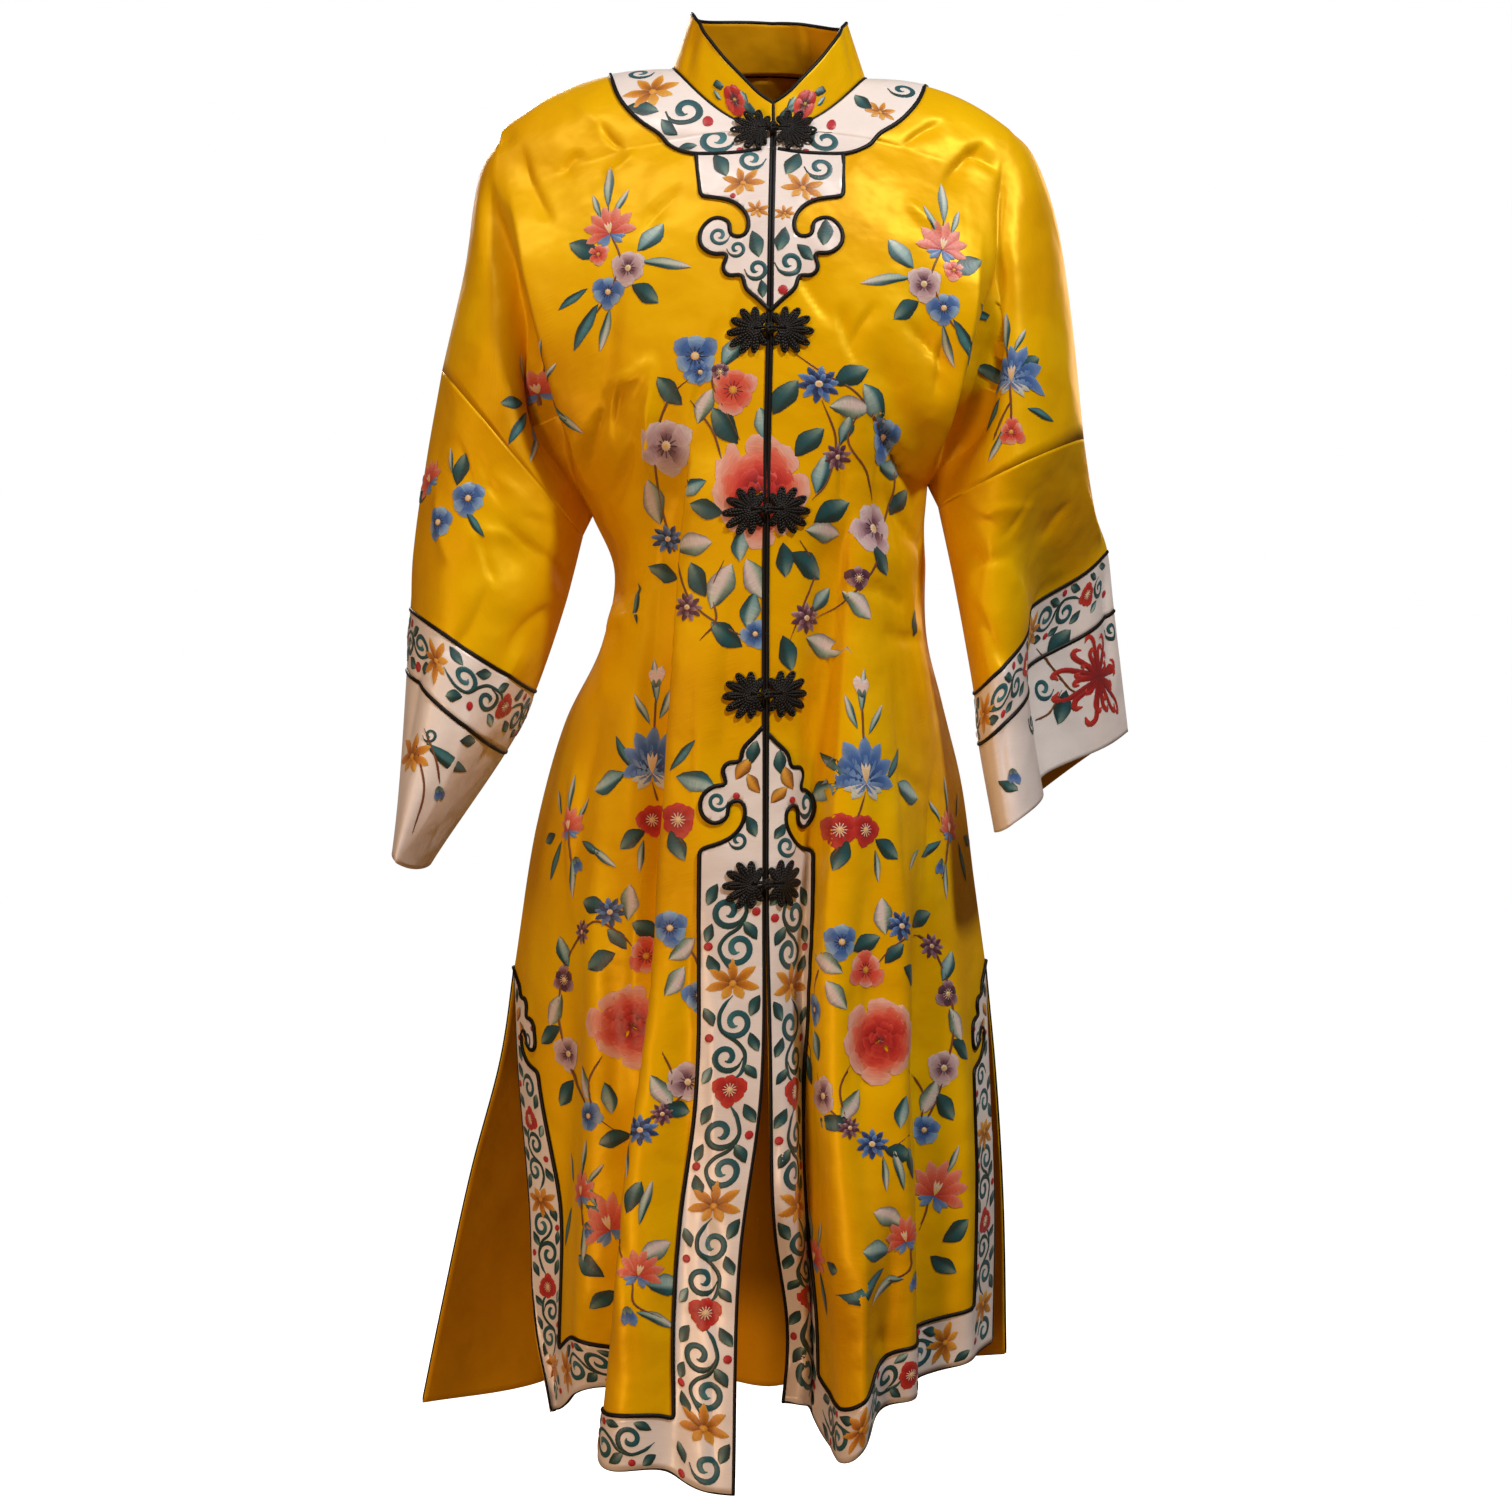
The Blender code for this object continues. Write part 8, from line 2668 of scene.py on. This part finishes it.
def add_collar_motifs():
    """A red blossom between leaves on each side of the collar, laid by degrees round it and height."""
    points, normals = collar_grid()
    lengths = running(points, 1)[-1]
    turn = np.degrees(np.arctan2(points[-1, :, 0], -points[-1, :, 1]))
    placed = []
    for sign in SIDES.values():
        for kind, degrees, up, size, angle in COLLAR_MOTIFS:
            parts = moved(MOTIFS[kind](size), degrees=angle)
            if sign < 0:
                parts = moved(parts, mirror=True)
            start = lengths[np.abs(turn - sign * degrees).argmin()]
            for part in parts:
                flat = part["flat"].reshape(-1, 2) / 1000
                columns = np.interp(start + flat[:, 0], lengths, range(len(lengths)))
                at = columns.astype(int)
                tall = np.linalg.norm(points[0, at] - points[-1, at], axis=1)
                rows = (1 - np.clip((up / 1000 + flat[:, 1]) / tall, 0, 1)) * (len(points) - 1)
                over = STITCH_FOOT + part["height"].ravel() * COLLAR_STITCH
                low = lay_on(points, normals, np.column_stack([columns, rows, over]))
                out = normals[len(points) // 2, at[0]]
                placed.append({**part, "points": low.reshape(part["height"].shape + (3,)), "out": out})
    points, faces, colours, uv = stitched(placed)
    add_mesh("flowers_collar", points, faces, "thread", colours=colours, uv=uv)


def add_flowers():
    """All the embroidery: on the satin, on the white pieces, on the cuffs and on the collar."""
    work = Needlework()
    for face in FACES:
        for rows, stems, place in GROUPS:
            work.group(face, rows, stems, place)
    as_drawn = (0, 0, False)
    work.group("front", ON_WHITE, (), as_drawn, WHITE_FOOT)
    work.group("back", ON_BACK_YOKE, (), as_drawn, WHITE_FOOT)
    for side in SIDES:
        for face in FACES:
            work.strips(side, face)
            work.group(face, CUFF_MOTIFS[side], CUFF_STEMS[side], as_drawn, only=(side, "sleeve"))
        work.band(side)
    add_collar_motifs()
    for key, placed in work.placed.items():
        points, faces, colours, uv = stitched(placed)
        add_mesh("flowers_" + "_".join(key), points, faces, "thread", colours=colours, uv=uv)


# The stage


# The floor's height and glow, the world's light and the warm tint of some lamps.
FLOOR = -1.32
FLOOR_GLOW = 0.97
WORLD_LIGHT = 0.11
WARM = (1.0, 0.62, 0.36)
# Each lamp: name, place, aim, size in metres, power in watts and tint.
LIGHTS = (
    ("key", (1.2, -1.3, 1.65), (0, 0, -0.5), 0.3, 47),
    ("top", (-0.7, -1.0, 1.7), (0, 0, -0.2), 0.3, 13),
    ("fill", (-2.2, -1.7, 0.1), (0, 0, -0.6), 0.8, 8, WARM),
    ("low", (-1.1, -2.2, -1.1), (-0.15, 0, -0.95), 0.5, 20, WARM),
    ("back_left", (-0.9, 2.4, 1.0), (0, 0, -0.5), 0.8, 27),
    ("back_right", (1.3, 2.3, 0.4), (0, 0, -0.5), 1.0, 11, WARM),
)


def soft_light(name, place, aim, size, power, colour=(1, 1, 1)):
    """A round lamp that the camera doesn't see."""
    lamp = bpy.data.lights.new(name, "AREA")
    lamp.shape = "DISK"
    lamp.size = size
    lamp.energy = power
    lamp.color = colour
    made = bpy.data.objects.new(name, lamp)
    bpy.context.scene.collection.objects.link(made)
    made.location = place
    made.rotation_euler = (Vector(aim) - Vector(place)).to_track_quat("-Z", "Y").to_euler()
    made.visible_camera = False


def add_stage():
    """A wide pale floor, soft lights all round and the camera of the photograph."""
    scene = bpy.context.scene
    bpy.ops.mesh.primitive_circle_add(vertices=96, radius=14, fill_type="NGON", location=(0, 0, FLOOR))
    floor = bpy.context.object
    floor.name = "floor"
    glow = {"Emission Color": linear("#FFFFFF"), "Emission Strength": FLOOR_GLOW}
    paper, _, _ = base_material("pale paper", {"Base Color": linear("#F4F3F2"), "Roughness": 0.9, **glow})
    floor.data.materials.append(paper)
    floor.visible_diffuse = False
    floor.visible_glossy = False
    for lamp in LIGHTS:
        soft_light(*lamp)
    world = bpy.data.worlds.new("studio")
    world.use_nodes = True
    tree = world.node_tree
    seen_rays = node(tree, "ShaderNodeLightPath").outputs["Is Camera Ray"]
    colours = {6: (*WARM, 1), 7: (1, 1, 1, 1)}
    tint = node(tree, "ShaderNodeMix", {"data_type": "RGBA"}, colours, {0: seen_rays})
    tree.links.new(tint.outputs[2], tree.nodes["Background"].inputs["Color"])
    strength = node(tree, "ShaderNodeMapRange", inputs={3: WORLD_LIGHT, 4: 1.0}, links={0: seen_rays})
    tree.links.new(strength.outputs["Result"], tree.nodes["Background"].inputs["Strength"])
    scene.world = world
    lens = bpy.data.cameras.new("camera")
    lens.sensor_fit = "HORIZONTAL"
    lens.sensor_width = 36
    lens.lens = 36 * PHOTO_FOCUS / (2 * PHOTO_MIDDLE)
    lens.clip_start = 0.05
    camera = bpy.data.objects.new("camera", lens)
    camera.location = (CAMERA_X, -CAMERA_DISTANCE, CAMERA_Z)
    camera.rotation_euler = (math.pi / 2, 0, 0)
    scene.collection.objects.link(camera)
    scene.camera = camera
    scene.view_settings.view_transform = "Standard"


# The add-on


class RobeSizes(bpy.types.PropertyGroup):
    """Sizes and colours that a user would change."""

    piping: bpy.props.FloatProperty(
        name="Piping width", description="Width of the black satin piping", default=0.0031, unit="LENGTH"
    )
    cord: bpy.props.FloatProperty(
        name="Cord thickness", description="Thickness of the cord of the frogs", default=0.0020, unit="LENGTH"
    )
    stitch_height: bpy.props.FloatProperty(
        name="Stitch height", description="How far the satin stitch stands over the cloth", default=0.00035,
        unit="LENGTH",
    )
    satin_colour: bpy.props.StringProperty(
        name="Satin colour", description="The silk satin's colour, as sRGB hex", default="#E6AC00"
    )


class ROBE_OT_body(bpy.types.Operator):
    """Cut both fronts and the back from yellow satin"""

    bl_idname = "robe.body"
    bl_label = "Fronts and back"

    def execute(self, context):
        parts = add_body()
        return {"FINISHED"}


class ROBE_OT_sleeves(bpy.types.Operator):
    """Sew the lower sleeves with their white bands and cuffs"""

    bl_idname = "robe.sleeves"
    bl_label = "Sleeves, bands and cuffs"

    def execute(self, context):
        for (name, _), piece in add_sleeves().items():
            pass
        return {"FINISHED"}


class ROBE_OT_collar(bpy.types.Operator):
    """Set the stand collar"""

    bl_idname = "robe.collar"
    bl_label = "Collar"

    def execute(self, context):
        add_collar()
        return {"FINISHED"}


class ROBE_OT_borders(bpy.types.Operator):
    """Lay the white borders, neck border and tabs"""

    bl_idname = "robe.borders"
    bl_label = "White borders"

    def execute(self, context):
        add_borders()
        return {"FINISHED"}


class ROBE_OT_piping(bpy.types.Operator):
    """Edge every seam and border with black piping"""

    bl_idname = "robe.piping"
    bl_label = "Piping"

    def execute(self, context):
        add_piping()
        return {"FINISHED"}


class ROBE_OT_flowers(bpy.types.Operator):
    """Embroider the satin, the white borders, the cuffs and the collar"""

    bl_idname = "robe.flowers"
    bl_label = "Embroidery"

    def execute(self, context):
        add_flowers()
        return {"FINISHED"}


class ROBE_OT_frogs(bpy.types.Operator):
    """Fasten the opening with five frogs of black cord"""

    bl_idname = "robe.frogs"
    bl_label = "Cord frogs"

    def execute(self, context):
        add_frogs()
        return {"FINISHED"}


class ROBE_OT_stage(bpy.types.Operator):
    """Add the floor, the lights and the camera"""

    bl_idname = "robe.stage"
    bl_label = "Stage"

    def execute(self, context):
        add_stage()
        return {"FINISHED"}


OPERATORS = (
    ROBE_OT_borders,
    ROBE_OT_body,
    ROBE_OT_sleeves,
    ROBE_OT_collar,
    ROBE_OT_piping,
    ROBE_OT_flowers,
    ROBE_OT_frogs,
    ROBE_OT_stage,
)


class ROBE_PT_tools(bpy.types.Panel):
    """The robe's tools in the sidebar"""

    bl_idname = "ROBE_PT_tools"
    bl_label = "Satin robe"
    bl_space_type = "VIEW_3D"
    bl_region_type = "UI"
    bl_category = "Robe"

    def draw(self, context):
        for name in ("piping", "cord", "stitch_height", "satin_colour"):
            self.layout.prop(context.scene.robe_sizes, name)
        for operator in OPERATORS:
            self.layout.operator(operator.bl_idname)


CLASSES = (RobeSizes, *OPERATORS, ROBE_PT_tools)


def register():
    """Adds the tools and the sizes to Blender."""
    for each in CLASSES:
        bpy.utils.register_class(each)
    bpy.types.Scene.robe_sizes = bpy.props.PointerProperty(type=RobeSizes)


def unregister():
    """Takes them out again."""
    del bpy.types.Scene.robe_sizes
    for each in reversed(CLASSES):
        bpy.utils.unregister_class(each)


def main():
    """Makes every piece and the stage."""
    register()
    for operator in OPERATORS:
        family, name = operator.bl_idname.split(".")
        getattr(getattr(bpy.ops, family), name)()


if __name__ == "__main__":
    main()
